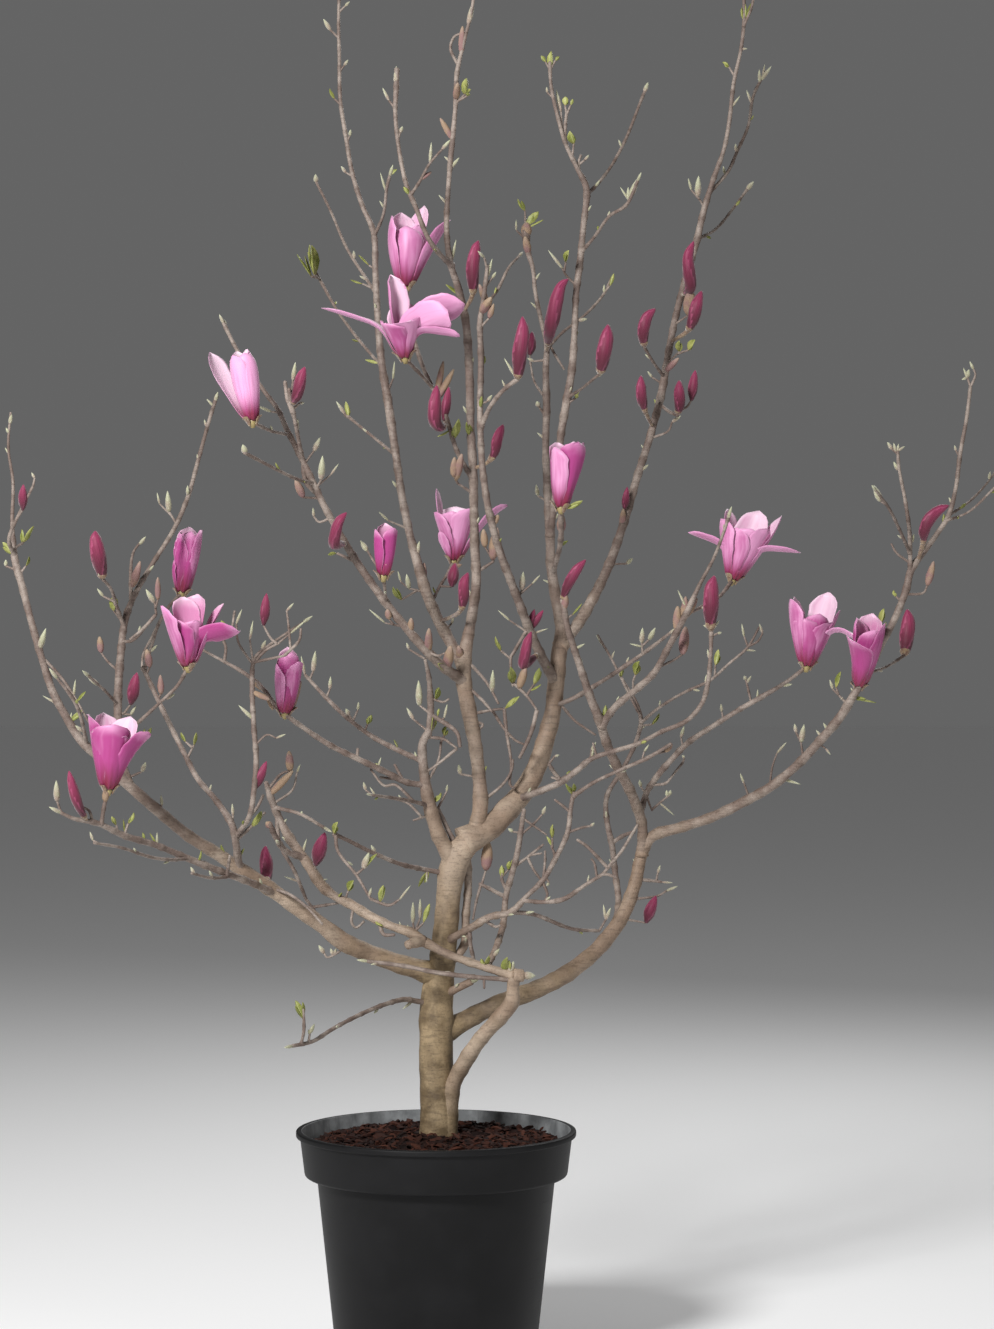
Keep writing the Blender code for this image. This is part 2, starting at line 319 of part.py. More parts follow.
        (59.4, 100.2, -1.5, 0.46), (61.0, 102.4, -1.3, 0.34), (62.6, 104.6, -1.1, 0.32),
        (64.1, 107.0, -1.0, 0.32), (65.0, 110.6, -1.0, 0.26), (65.5, 114.6, -1.0, 0.26),
        (66.3, 119.0, -1.0, 0.24), (66.8, 123.0, -1.0, 0.22)]),
    "right_limb_b": ("right_limb", ("right_limb",), 5, [
        (59.2, 99.6, -1.5, 0.3), (59.2, 104.6, -2.2, 0.26), (58.6, 109.0, -2.8, 0.22),
        (57.9, 112.6, -3.2, 0.2), (57.7, 115.0, -3.4, 0.2)]),
    "right_limb_c": ("right_limb", ("right_limb_b",), 4, [
        (59.1, 102.2, -2.0, 0.22), (57.9, 105.2, -4.0, 0.2), (56.6, 107.8, -5.6, 0.2),
        (55.0, 110.0, -7.0, 0.16)]),
    "right_limb_d": ("right_limb", ("right_limb",), 4, [
        (64.1, 107.0, -1.0, 0.22), (66.8, 108.8, 1.0, 0.16), (69.2, 111.4, 2.6, 0.14),
        (71.2, 114.6, 3.8, 0.12)]),
    "right_limb_e": ("right_limb", ("right_limb",), 4, [
        (63.6, 106.2, -1.0, 0.2), (66.6, 107.4, -2.8, 0.15), (69.2, 109.8, -4.4, 0.14),
        (71.6, 112.4, -5.8, 0.12)]),
    "bud_y_stalk": ("right_limb", ("right_limb",), 4, [
        (53.9, 87.2, -1.2, 0.22), (56.2, 88.0, 0.8, 0.18), (58.5, 89.4, 2.6, 0.2)]),

    "right_cross": ("right_cross", ("right_limb",), 6, [
        (25.7, 64.4, 6.2, 0.6), (25.7, 68.4, 5.8, 0.66), (24.4, 72.2, 4.6, 0.66),
        (22.8, 75.2, 3.4, 0.62), (21.4, 78.2, 2.3, 0.6), (20.4, 81.4, 1.4, 0.6),
        (19.2, 84.4, 0.7, 0.5), (18.2, 87.4, 0.2, 0.46), (17.2, 90.4, -0.2, 0.42),
        (16.3, 93.4, -0.6, 0.38), (15.8, 96.4, -0.8, 0.36)]),
    "right_cross_b": ("right_cross", ("right_cross",), 6, [
        (20.6, 80.6, 1.6, 0.46), (22.4, 83.0, 0.6, 0.46), (24.8, 85.0, -0.4, 0.44),
        (27.2, 87.2, -1.2, 0.42), (28.9, 90.2, -2.0, 0.4), (30.4, 93.0, -2.6, 0.42),
        (31.6, 95.4, -3.0, 0.4), (33.0, 98.4, -3.4, 0.26), (34.6, 101.4, -3.8, 0.2),
        (35.8, 104.4, -4.0, 0.2), (36.5, 106.6, -4.0, 0.22)]),
    "flower_j_stalk": ("right_cross", ("right_cross_b",), 5, [
        (31.2, 94.6, -2.9, 0.24), (33.0, 95.4, -1.0, 0.22), (35.4, 96.8, 1.2, 0.22),
        (37.0, 98.8, 3.2, 0.28)]),

    "right_low_riser": ("right_low_riser", ("right_limb",), 6, [
        (22.6, 55.0, 5.6, 0.42), (22.8, 58.4, 7.2, 0.42), (22.4, 62.0, 8.2, 0.4),
        (22.0, 65.6, 8.8, 0.4), (21.3, 69.0, 9.2, 0.36), (21.4, 72.0, 9.4, 0.32),
        (23.2, 75.0, 9.4, 0.3), (24.8, 78.2, 9.2, 0.3), (25.6, 81.2, 9.0, 0.3),
        (24.9, 83.8, 8.8, 0.2), (23.4, 86.2, 8.6, 0.2), (21.8, 89.2, 8.4, 0.16),
        (20.2, 92.0, 8.2, 0.14)]),
    "right_low_riser_b": ("right_low_riser", ("right_low_riser",), 4, [
        (25.5, 81.0, 9.0, 0.22), (28.0, 83.0, 8.2, 0.2), (31.0, 84.8, 7.4, 0.2),
        (34.2, 86.3, 6.8, 0.2), (36.6, 88.4, 6.4, 0.18), (38.9, 90.4, 6.2, 0.18),
        (40.4, 93.0, 6.2, 0.14)]),

    "right_back": ("right_back", ("right_cross",), 6, [
        (25.6, 69.2, 5.8, 0.4), (26.2, 72.0, 7.0, 0.4), (27.6, 74.3, 6.4, 0.4),
        (29.6, 76.6, 5.6, 0.4), (31.6, 78.6, 5.0, 0.36), (34.6, 80.6, 4.2, 0.32),
        (37.8, 82.6, 3.6, 0.32), (40.6, 84.2, 3.0, 0.34), (43.6, 86.0, 2.4, 0.24),
        (46.3, 88.0, 2.0, 0.28)]),

    "right_mid": ("right_mid", ("right_leader",), 6, [
        (10.2, 71.2, 1.6, 0.45), (12.8, 72.4, 0.2, 0.42), (15.4, 73.5, -0.4, 0.42),
        (17.4, 74.9, -0.8, 0.4), (19.4, 76.5, -1.2, 0.34), (22.0, 77.4, -1.8, 0.3),
        (25.2, 78.4, -2.6, 0.28), (28.2, 79.9, -3.4, 0.28), (31.2, 81.2, -4.2, 0.28),
        (33.2, 83.4, -4.8, 0.3), (34.0, 86.2, -5.0, 0.3), (34.3, 89.4, -5.0, 0.26),
        (34.4, 92.4, -5.0, 0.28)]),
    "right_leader_c": ("right_leader", ("right_leader",), 5, [
        (15.2, 83.0, 4.0, 0.32), (17.4, 84.2, 3.2, 0.3), (20.4, 86.0, 3.8, 0.28),
        (23.6, 88.1, 3.6, 0.28), (26.6, 90.2, 2.8, 0.26), (29.2, 92.2, 1.4, 0.2)]),

    "inner_riser": ("inner_riser", ("low_cross",), 6, [
        (6.4, 50.5, -4.1, 0.36), (7.6, 53.2, -2.4, 0.42), (8.4, 56.0, -0.6, 0.42),
        (8.7, 59.2, 0.0, 0.4), (9.5, 62.2, -0.2, 0.38), (10.2, 65.0, -0.4, 0.38),
        (10.6, 67.6, -0.4, 0.32), (11.0, 70.2, -0.6, 0.26)]),
    "side_spray": ("side_spray", ("trunk",), 6, [
        (2.2, 53.4, -0.6, 0.5), (4.4, 55.4, -3.0, 0.46), (6.6, 56.7, -3.8, 0.44),
        (9.4, 57.4, -4.2, 0.42), (11.4, 59.4, -4.4, 0.3), (13.4, 61.4, -4.6, 0.34),
        (15.0, 64.2, -4.8, 0.32), (16.4, 67.2, -5.0, 0.3), (16.8, 70.2, -5.0, 0.28),
        (17.2, 72.4, -5.0, 0.28)]),
    "side_spray_b": ("side_spray", ("side_spray",), 5, [
        (9.2, 57.4, -4.2, 0.28), (12.4, 57.0, -3.6, 0.26), (16.8, 55.3, -2.6, 0.24),
        (20.4, 55.0, -1.6, 0.2)]),
    "side_spray_c": ("side_spray", ("side_spray",), 5, [
        (10.8, 58.8, -4.3, 0.26), (13.4, 58.6, -5.4, 0.26), (16.0, 59.0, -6.2, 0.3),
        (18.6, 60.7, -7.0, 0.24), (21.0, 62.2, -7.6, 0.2)]),
    "side_spray_d": ("side_spray", ("side_spray",), 4, [
        (17.1, 71.8, -5.0, 0.26), (19.8, 73.6, -5.6, 0.22), (23.2, 75.2, -6.2, 0.22),
        (26.4, 76.6, -6.8, 0.24), (29.4, 78.4, -7.4, 0.2)]),
}

# ---------------------------------------------------------------- buds and closed flowers
# name: (carrier, [(across, up, back, radius), ...]) from the seat to the tip
BUDS = {
    "bud_01": ("left_leader_b", [(-41.6, 98.9, -8.0, 0.3), (-41.9, 100.2, -8.2, 0.8),
                                 (-42.3, 102.4, -8.4, 0.95), (-42.6, 104.0, -8.5, 0.7),
                                 (-42.6, 105.0, -8.5, 0.15)]),
    "bud_02": ("left_slant_c", [(-17.8, 120.9, -8.0, 0.3), (-17.5, 121.8, -8.6, 0.7),
                                (-17.1, 123.2, -8.8, 0.75), (-16.8, 124.4, -8.9, 0.55),
                                (-16.4, 125.5, -9.0, 0.1)]),
    "bud_03": ("left_slant", [(-12.0, 103.0, -4.8, 0.3), (-12.7, 103.4, -6.6, 0.65),
                              (-12.6, 104.8, -7.2, 0.75), (-12.1, 106.2, -7.4, 0.6),
                              (-11.2, 107.3, -7.4, 0.15)]),
    "bud_04": ("left_limb", [(-21.0, 60.9, -5.4, 0.3), (-21.2, 62.2, -4.4, 0.75),
                             (-21.3, 63.6, -4.0, 0.85), (-21.4, 64.8, -3.9, 0.5),
                             (-21.3, 65.6, -3.9, 0.1)]),
    "bud_05": ("left_low", [(-43.6, 68.7, -14.9, 0.2), (-44.6, 70.4, -15.8, 0.5),
                            (-45.2, 72.0, -16.0, 0.62), (-45.6, 73.6, -16.1, 0.45),
                            (-45.9, 75.0, -16.1, 0.1)]),
    "bud_06": ("center_leader", [(3.6, 132.4, -1.8, 0.2), (4.5, 134.4, -2.8, 0.3),
                                 (4.6, 136.0, -3.0, 0.75), (4.6, 138.2, -3.1, 0.85),
                                 (4.9, 140.2, -3.1, 0.6), (5.3, 141.3, -3.1, 0.1)]),
    "bud_07": ("flower_a_stalk", [(1.4, 118.4, -0.8, 0.2), (0.5, 118.0, -2.2, 0.5),
                                  (-0.2, 118.8, -2.8, 0.8), (-0.2, 120.6, -3.0, 0.85),
                                  (0.0, 122.2, -3.0, 0.5), (0.1, 123.2, -3.0, 0.1)]),
    "bud_08": ("mid_riser_b", [(10.1, 123.9, -5.8, 0.3), (10.3, 125.0, -6.0, 0.75),
                               (10.5, 127.4, -6.2, 0.95), (10.8, 129.8, -6.3, 0.75),
                               (10.8, 131.8, -6.4, 0.12)]),
    "bud_09": ("right_leader", [(13.8, 127.4, 3.8, 0.3), (14.2, 129.8, 1.8, 0.6),
                                (14.6, 131.6, 1.2, 0.9), (15.0, 133.8, 1.0, 0.95),
                                (15.6, 135.6, 1.0, 0.65), (16.5, 136.5, 1.0, 0.15)]),
    "bud_10": ("bud_r_stalk", [(20.3, 124.5, -1.4, 0.25), (20.7, 125.6, -1.8, 0.75),
                               (21.0, 127.4, -2.0, 0.98), (21.3, 129.2, -2.1, 0.8),
                               (21.5, 130.8, -2.1, 0.15)]),
    "bud_11": ("bud_s_stalk", [(26.1, 127.8, 6.6, 0.22), (25.9, 129.0, 6.2, 0.7),
                               (26.0, 130.6, 6.0, 0.82), (26.4, 131.8, 6.0, 0.6),
                               (27.4, 132.8, 6.0, 0.1)]),
    "bud_12": ("right_tall", [(27.0, 118.0, 8.4, 0.22), (26.2, 119.8, 6.8, 0.3),
                              (25.8, 121.2, 6.4, 0.72), (25.6, 122.8, 6.2, 0.68),
                              (25.6, 124.4, 6.2, 0.1)]),
    "bud_13": ("bud_w_stalk", [(30.1, 119.4, 6.2, 0.25), (30.4, 120.6, 5.8, 0.72),
                               (30.4, 122.2, 5.6, 0.74), (30.4, 123.8, 5.6, 0.25)]),
    "bud_14": ("right_tall", [(31.4, 134.2, 9.6, 0.25), (31.8, 135.4, 8.2, 0.7),
                              (31.6, 137.4, 7.8, 0.85), (31.5, 139.4, 7.8, 0.65),
                              (32.2, 141.2, 7.8, 0.1)]),
    "bud_15": ("right_tall", [(29.4, 128.6, 9.4, 0.25), (31.2, 129.8, 8.0, 0.3),
                              (32.0, 131.2, 7.4, 0.75), (32.5, 133.0, 7.2, 0.85),
                              (33.2, 135.0, 7.2, 0.15)]),
    "bud_16": ("center_leader", [(4.8, 112.8, 0.2, 0.25), (6.2, 113.4, -0.6, 0.22),
                                 (7.2, 114.6, -1.0, 0.45), (7.6, 116.2, -1.2, 0.7),
                                 (8.0, 117.4, -1.2, 0.55), (8.4, 118.3, -1.2, 0.1)]),
    "bud_17": ("right_cross", [(15.8, 96.3, -0.8, 0.36), (16.2, 97.6, -1.0, 0.5),
                               (16.9, 99.0, -1.1, 0.7), (17.6, 100.2, -1.2, 0.6),
                               (18.7, 101.4, -1.2, 0.1)]),
    "bud_18": ("left_tall", [(0.1, 93.6, 2.6, 0.22), (1.8, 94.2, 1.2, 0.25),
                             (3.0, 95.0, -0.6, 0.3), (3.4, 96.6, -1.0, 0.7),
                             (3.5, 98.4, -1.1, 0.72), (4.0, 99.8, -1.1, 0.1)]),
    "bud_19": ("mid_riser", [(12.6, 89.6, 1.8, 0.3), (11.0, 88.3, 0.2, 0.5),
                             (11.1, 89.6, -0.4, 0.75), (11.4, 91.0, -0.6, 0.65),
                             (11.9, 92.4, -0.6, 0.15)]),
    "bud_20": ("right_mid", [(34.4, 92.3, -5.0, 0.28), (34.3, 93.6, -5.1, 0.75),
                             (34.4, 95.8, -5.2, 1.0), (34.4, 97.8, -5.2, 0.85),
                             (34.8, 99.4, -5.2, 0.15)]),
    "bud_21": ("right_limb", [(60.2, 101.4, -1.6, 0.25), (60.9, 103.6, -2.8, 0.35),
                              (61.0, 104.8, -3.2, 0.75), (61.6, 106.4, -3.4, 0.78),
                              (62.8, 107.6, -3.4, 0.5), (64.1, 108.2, -3.4, 0.1)]),
    "bud_22": ("bud_y_stalk", [(58.4, 89.3, 2.6, 0.3), (58.7, 90.4, 2.9, 0.8),
                               (58.9, 92.2, 3.0, 0.98), (59.0, 93.8, 3.0, 0.8),
                               (58.9, 95.2, 3.0, 0.2)]),
}

# ---------------------------------------------------------------- flowers
# name: (carrier, seat, tip of the heart, radius of the heart, petals)
# The heart is the rounded body that the petals stand around. Each petal is
# (side, length, width, lean, curl): side is the compass angle about the flower's own
# axis (0 right, 90 away, 180 left, 270 toward the eye), lean and curl are the angles
# from that axis at its foot and its tip.
FLOWERS = {
    "flower_a": ("flower_a_stalk", (-3.8, 135.2, 3.0), (-3.4, 142.6, 3.0), 1.5, [
        (180, 9.6, 4.0, 22, -10), (240, 9.4, 4.2, 20, -6), (300, 9.2, 4.2, 24, 4),
        (350, 9.6, 3.2, 26, 52), (60, 9.8, 4.0, 16, -8), (120, 9.6, 4.0, 14, 2)]),
    "flower_b": ("flower_b_stalk", (-3.9, 126.5, -3.0), (-3.3, 130.6, -3.8), 1.3, [
        (188, 12.4, 2.4, 62, 84), (215, 12.4, 4.4, 2, -14), (340, 8.8, 4.4, 30, 70),
        (20, 9.6, 3.6, 34, 52), (60, 9.4, 4.2, 16, 26), (318, 7.4, 3.0, 50, 96),
        (270, 5.6, 3.6, 84, 120)]),
    "flower_c": ("flower_c_stalk", (-23.0, 118.5, -9.2), (-24.0, 125.2, -9.2), 1.6, [
        (180, 10.4, 3.0, 24, 16), (250, 9.4, 3.8, 16, -8), (320, 9.4, 4.0, 18, -10),
        (60, 9.6, 4.0, 12, -4)]),
    "flower_d": ("flower_d_stalk", (-31.8, 97.1, 0.0), (-31.0, 104.8, 0.0), 1.5, [
        (215, 8.4, 3.6, 18, -12), (300, 8.4, 3.8, 18, -14), (30, 8.4, 3.6, 16, -12),
        (190, 4.6, 1.8, 28, -20)]),
    "flower_e": ("flower_e_stalk", (-31.0, 87.9, -11.6), (-31.2, 91.6, -11.9), 1.4, [
        (178, 8.2, 3.4, 38, 16), (225, 7.8, 4.2, 18, -6), (300, 6.6, 4.4, 22, -2),
        (8, 7.6, 3.6, 46, 62), (350, 9.6, 2.2, 20, 34), (90, 9.0, 4.4, 8, 2)]),
    "flower_f": ("flower_f_stalk", (-41.0, 72.5, -15.0), (-40.6, 78.6, -15.0), 1.6, [
        (180, 9.6, 4.2, 20, 2), (240, 9.4, 4.4, 18, -6), (310, 9.2, 4.4, 20, 10),
        (0, 9.0, 4.0, 24, 40), (60, 9.6, 4.0, 16, 2), (120, 9.6, 4.0, 14, 0)]),
    "flower_g": ("left_fork_b", (-18.9, 82.5, -5.6), (-18.4, 88.6, -7.4), 1.7, [
        (180, 7.6, 3.2, 22, -4), (250, 7.8, 3.8, 18, -10), (0, 7.8, 3.2, 22, -2),
        (90, 7.8, 3.6, 14, -10)]),
    "flower_h": ("flower_h_stalk", (2.2, 101.1, 7.0), (2.4, 105.6, 7.0), 1.3, [
        (180, 7.0, 2.6, 26, 18), (200, 9.6, 1.6, 12, 4), (270, 6.8, 4.2, 20, 4),
        (0, 9.0, 2.6, 30, 66), (90, 7.6, 4.4, 20, 4), (330, 6.6, 3.4, 24, 20)]),
    "flower_i": ("flower_i_stalk", (15.6, 107.7, -1.0), (16.4, 115.4, -1.6), 1.55, [
        (190, 8.6, 3.2, 20, -12), (270, 8.2, 3.8, 16, -14), (350, 8.6, 3.4, 16, -10),
        (90, 8.2, 3.6, 14, -14)]),
    "flower_j": ("flower_j_stalk", (37.1, 98.7, 3.2), (38.0, 103.2, 3.6), 1.5, [
        (180, 9.6, 2.6, 48, 88), (0, 10.4, 1.6, 52, 92), (340, 10.2, 4.2, 26, 2),
        (230, 9.0, 4.2, 16, 4), (160, 8.4, 3.0, 26, 4), (60, 10.8, 4.4, 12, -4),
        (120, 11.2, 4.0, 10, 2), (280, 6.0, 4.0, 30, 60)]),
    "flower_k": ("right_back", (46.3, 87.9, 2.0), (46.9, 93.4, 2.0), 1.7, [
        (180, 9.8, 3.8, 22, -6), (250, 8.0, 4.4, 22, -2), (300, 7.6, 4.4, 22, 8),
        (0, 8.8, 3.2, 30, 110), (20, 10.8, 4.4, 20, 8), (100, 10.6, 4.2, 10, 0)]),
    "flower_l": ("right_limb", (52.7, 85.4, -2.2), (53.6, 91.2, -5.0), 1.4, [
        (180, 8.6, 3.6, 20, 44), (350, 9.2, 4.0, 14, -8), (80, 9.2, 4.0, 8, -4),
        (270, 7.6, 4.0, 16, 18)]),
    "flower_m": ("flower_m_stalk", (-6.6, 99.2, -5.2), (-6.4, 104.6, -5.4), 1.15, [
        (180, 6.2, 2.4, 16, -10), (0, 6.0, 2.4, 16, -8), (270, 6.6, 2.8, 12, -12)]),
}


# ---------------------------------------------------------------- geometry helpers
def spot(across, up, back):
    """Place a drawn point at its real depth, along the sight line through it."""
    grow = (back - EYE[1]) / -EYE[1]
    x = EYE[0] + (across - EYE[0]) * grow
    z = EYE[2] + (up - EYE[2]) * grow
    return Vector((x, back, z))


def on_carrier(carrier, point):
    """Place on a carrier's centre line that lies nearest to a point of the front elevation."""
    nearest = None
    for low, high in zip(carrier, carrier[1:]):
        run = Vector(high[:2]) - Vector(low[:2])
        share = (Vector(point[:2]) - Vector(low[:2])).dot(run) / run.length_squared
        place = Vector(low[:3]).lerp(Vector(high[:3]), min(max(share, 0.0), 1.0))
        miss = (place.xy - Vector(point[:2])).length
        if nearest is None or miss < nearest[0]:
            nearest = (miss, place)
    return nearest[1]


def grown(route, carrier):
    """A drawn route at full depth, its root on the carrier's centre line."""
    deep = [(a, u, b * DEPTH, r) for a, u, b, r in route]
    if carrier is None:
        return deep
    root = on_carrier(carrier, deep[0])
    shift = root.z - deep[0][2]
    return [(*root, deep[0][3])] + [(a, u, b + shift, r) for a, u, b, r in deep[1:]]


def grown_wood():
    """Every branch of the wood at full depth, by name. Carriers come before what they carry."""
    routes = {}
    for name, (_, carriers, _, route) in WOOD.items():
        carrier = routes[carriers[0]] if carriers else None
        routes[name] = grown(route, carrier)
    return routes


def tube_mesh(points, radii, sides):
    """Closed tube through the points (cm): a ring on each, square to the route."""
    bm = bmesh.new()
    count = len(points)
    heading = (points[1] - points[0]).normalized()
    side = heading.orthogonal().normalized()
    rings = []
    for i in range(count):
        before = points[max(i - 1, 0)]
        after = points[min(i + 1, count - 1)]
        new_heading = (after - before).normalized()
        side = (heading.rotation_difference(new_heading) @ side).normalized()
        heading = new_heading
        ring = []
        for k in range(sides):
            turn = Matrix.Rotation(math.tau * k / sides, 3, heading)
            ring.append(bm.verts.new((points[i] + (turn @ side) * radii[i]) * CM))
        rings.append(ring)
    for low, high in zip(rings, rings[1:]):
        for k in range(sides):
            n = (k + 1) % sides
            bm.faces.new((low[k], low[n], high[n], high[k]))
    bm.faces.new(list(reversed(rings[0])))
    bm.faces.new(rings[-1])
    return bm


def new_object(name, bm, colour, roughness, metallic=0.0):
    """Turn a bmesh into a named object with its own Principled material."""
    mesh = bpy.data.meshes.new(name)
    bm.normal_update()
    bm.to_mesh(mesh)
    bm.free()
    obj = bpy.data.objects.new(name, mesh)
    bpy.context.scene.collection.objects.link(obj)
    material = bpy.data.materials.new(name)
    material.use_nodes = True
    shader = material.node_tree.nodes["Principled BSDF"]
    shader.inputs["Base Color"].default_value = (*colour, 1.0)
    shader.inputs["Roughness"].default_value = roughness
    shader.inputs["Metallic"].default_value = metallic
    mesh.materials.append(material)
    return obj


def combine(obj, other, operation):
    """Join or cut obj with other by an exact Boolean, and remove the tool."""
    modifier = obj.modifiers.new(operation.lower(), "BOOLEAN")
    modifier.operation = operation
    modifier.solver = "EXACT"
    modifier.object = other
    depsgraph = bpy.context.evaluated_depsgraph_get()
    result = bpy.data.meshes.new_from_object(obj.evaluated_get(depsgraph))
    old = obj.data
    obj.modifiers.clear()
    obj.data = result
    result.name = obj.name
    bpy.data.meshes.remove(old)
    bpy.data.objects.remove(other)


def keep_largest(obj):
    """Drop the stray end that a cut leaves where a root pokes out behind its carrier."""
    bm = bmesh.new()
    bm.from_mesh(obj.data)
    left = set(bm.verts)
    bodies = []
    while left:
        reach = [left.pop()]
        body = set(reach)
        while reach:
            for edge in reach.pop().link_edges:
                for vert in edge.verts:
                    if vert in left:
                        left.remove(vert)
                        body.add(vert)
                        reach.append(vert)
        bodies.append(body)
    largest = max(bodies, key=len)
    stray = [vert for body in bodies if body is not largest for vert in body]
    bmesh.ops.delete(bm, geom=stray, context="VERTS")
    bm.to_mesh(obj.data)
    bm.free()


def stick(name, route, sides):
    """Object for one drawn branch or bud."""
    points = [spot(*p[:3]) for p in route]
    radii = [p[3] for p in route]
    return new_object(name, tube_mesh(points, radii, sides), TWIG, 0.7)


def seat_cutter(branch):
    """A branch of the wood with the clearance added all round."""
    route = ROUTES[branch]
    points = [spot(*p[:3]) for p in route]
    radii = [p[3] + GAP * 1.25 for p in route]
    points[0] = points[0] + (points[0] - points[1]).normalized() * GAP
    points[-1] = points[-1] + (points[-1] - points[-2]).normalized() * GAP
    return new_object("cutter", tube_mesh(points, radii, WOOD[branch][2]), TWIG, 0.7)


ROUTES = grown_wood()


# ---------------------------------------------------------------- petals
def petal_object(seat, axis, petal):
    """One thick petal: four-sided sections along a curling midrib, closed at both ends."""
    side, length, width, lean, curl = petal
    away = Vector((0.0, 1.0, 0.0))
    right = away.cross(axis).normalized()
    away = axis.cross(right).normalized()
    turn = math.radians(side)
    outward = right * math.cos(turn) + away * math.sin(turn)
    across = axis.cross(outward).normalized()
    stations = (0.0, 0.4, 0.8, 1.0)
    widths = (0.24, 0.90, 0.92, 0.12)
    thick = (0.34, 0.34, 0.26, 0.12)
    bm = bmesh.new()
    rings = []
    point = seat.copy()
    for i, s in enumerate(stations):
        angle = math.radians(lean + (curl - lean) * s * s)
        along = axis * math.cos(angle) + outward * math.sin(angle)
        if i:
            point = point + along * length * (s - stations[i - 1])
        normal = outward * math.cos(angle) - axis * math.sin(angle)
        half = across * width * 0.5 * widths[i]
        fold = normal * width * 0.14 * widths[i]
        deep = normal * thick[i] * 0.5
        corners = (point - half - fold, point - deep, point + half - fold, point + deep)
        rings.append([bm.verts.new(c * CM) for c in corners])
    for low, high in zip(rings, rings[1:]):
        for k in range(4):
            n = (k + 1) % 4
            bm.faces.new((low[k], low[n], high[n], high[k]))
    bm.faces.new(list(reversed(rings[0])))
    bm.faces.new(rings[-1])
    bmesh.ops.triangulate(bm, faces=bm.faces[:])
    bmesh.ops.recalc_face_normals(bm, faces=bm.faces[:])
    return new_object("petal", bm, PETAL, 0.5)


def build_flower(name):
    """A flower grown as one piece: heart and petals joined, seated on its stalk."""
    carrier, seat, tip, radius, petals = FLOWERS[name]
    seated = grown([(*seat, radius), (*tip, radius)], ROUTES[carrier])
    foot = spot(*seated[0][:3])
    top = spot(*seated[1][:3])
    axis = (top - foot).normalized()
    rise = (top - foot).length
    profile = ((0.0, 0.35), (0.2, 0.80), (0.65, 1.0), (1.0, 0.2))
    points = [foot + axis * rise * s for s, _ in profile]
    radii = [radius * r for _, r in profile]
    radii[0] = min(radii[0], 0.42)
    flower = new_object(name, tube_mesh(points, radii, 6), PETAL, 0.5)
    for petal in petals:
        combine(flower, petal_object(foot + axis * rise * 0.06, axis, petal), "UNION")
    combine(flower, seat_cutter(carrier), "DIFFERENCE")
    keep_largest(flower)
    return flower


# ---------------------------------------------------------------- wood and buds
def build_wood():
    """Each wood node: its branches grown together, cut clear of what carries them."""
    nodes = {}
    for name, (node, carriers, sides, _) in WOOD.items():
        branch = stick(node, ROUTES[name], sides)
        seats = [c for c in carriers if WOOD[c][0] != node]
        for carrier in seats:
            combine(branch, seat_cutter(carrier), "DIFFERENCE")
            keep_largest(branch)
        if node in nodes:
            combine(nodes[node], branch, "UNION")
        else:
            nodes[node] = branch
    return nodes


def build_buds():
    """Each bud or closed flower, seated on its twig."""
    for name, (carrier, route) in BUDS.items():
        bud = stick(name, grown(route, ROUTES[carrier]), 6)
        combine(bud, seat_cutter(carrier), "DIFFERENCE")
        keep_largest(bud)
        shader = bud.data.materials[0].node_tree.nodes["Principled BSDF"]
        shader.inputs["Base Color"].default_value = (*BUD, 1.0)


# ---------------------------------------------------------------- pot and compost
def turned(profile, sides):
    """Turn a closed outline of (radius, height) in cm about the upright axis."""
    bm = bmesh.new()
    rings = []
    for radius, height in profile:
        if radius == 0.0:
            rings.append([bm.verts.new((0.0, 0.0, height * CM))])
            continue
        ring = []
        for k in range(sides):
            turn = math.tau * k / sides
            x = radius * math.cos(turn) * CM
            y = radius * math.sin(turn) * CM
            ring.append(bm.verts.new((x, y, height * CM)))
        rings.append(ring)
    for low, high in zip(rings, rings[1:]):
        for k in range(sides):
            n = (k + 1) % sides
            if len(low) == 1:
                bm.faces.new((low[0], high[n], high[k]))
            elif len(high) == 1:
                bm.faces.new((low[k], low[n], high[0]))
            else:
                bm.faces.new((low[k], low[n], high[n], high[k]))
    bmesh.ops.recalc_face_normals(bm, faces=bm.faces[:])
    return bm


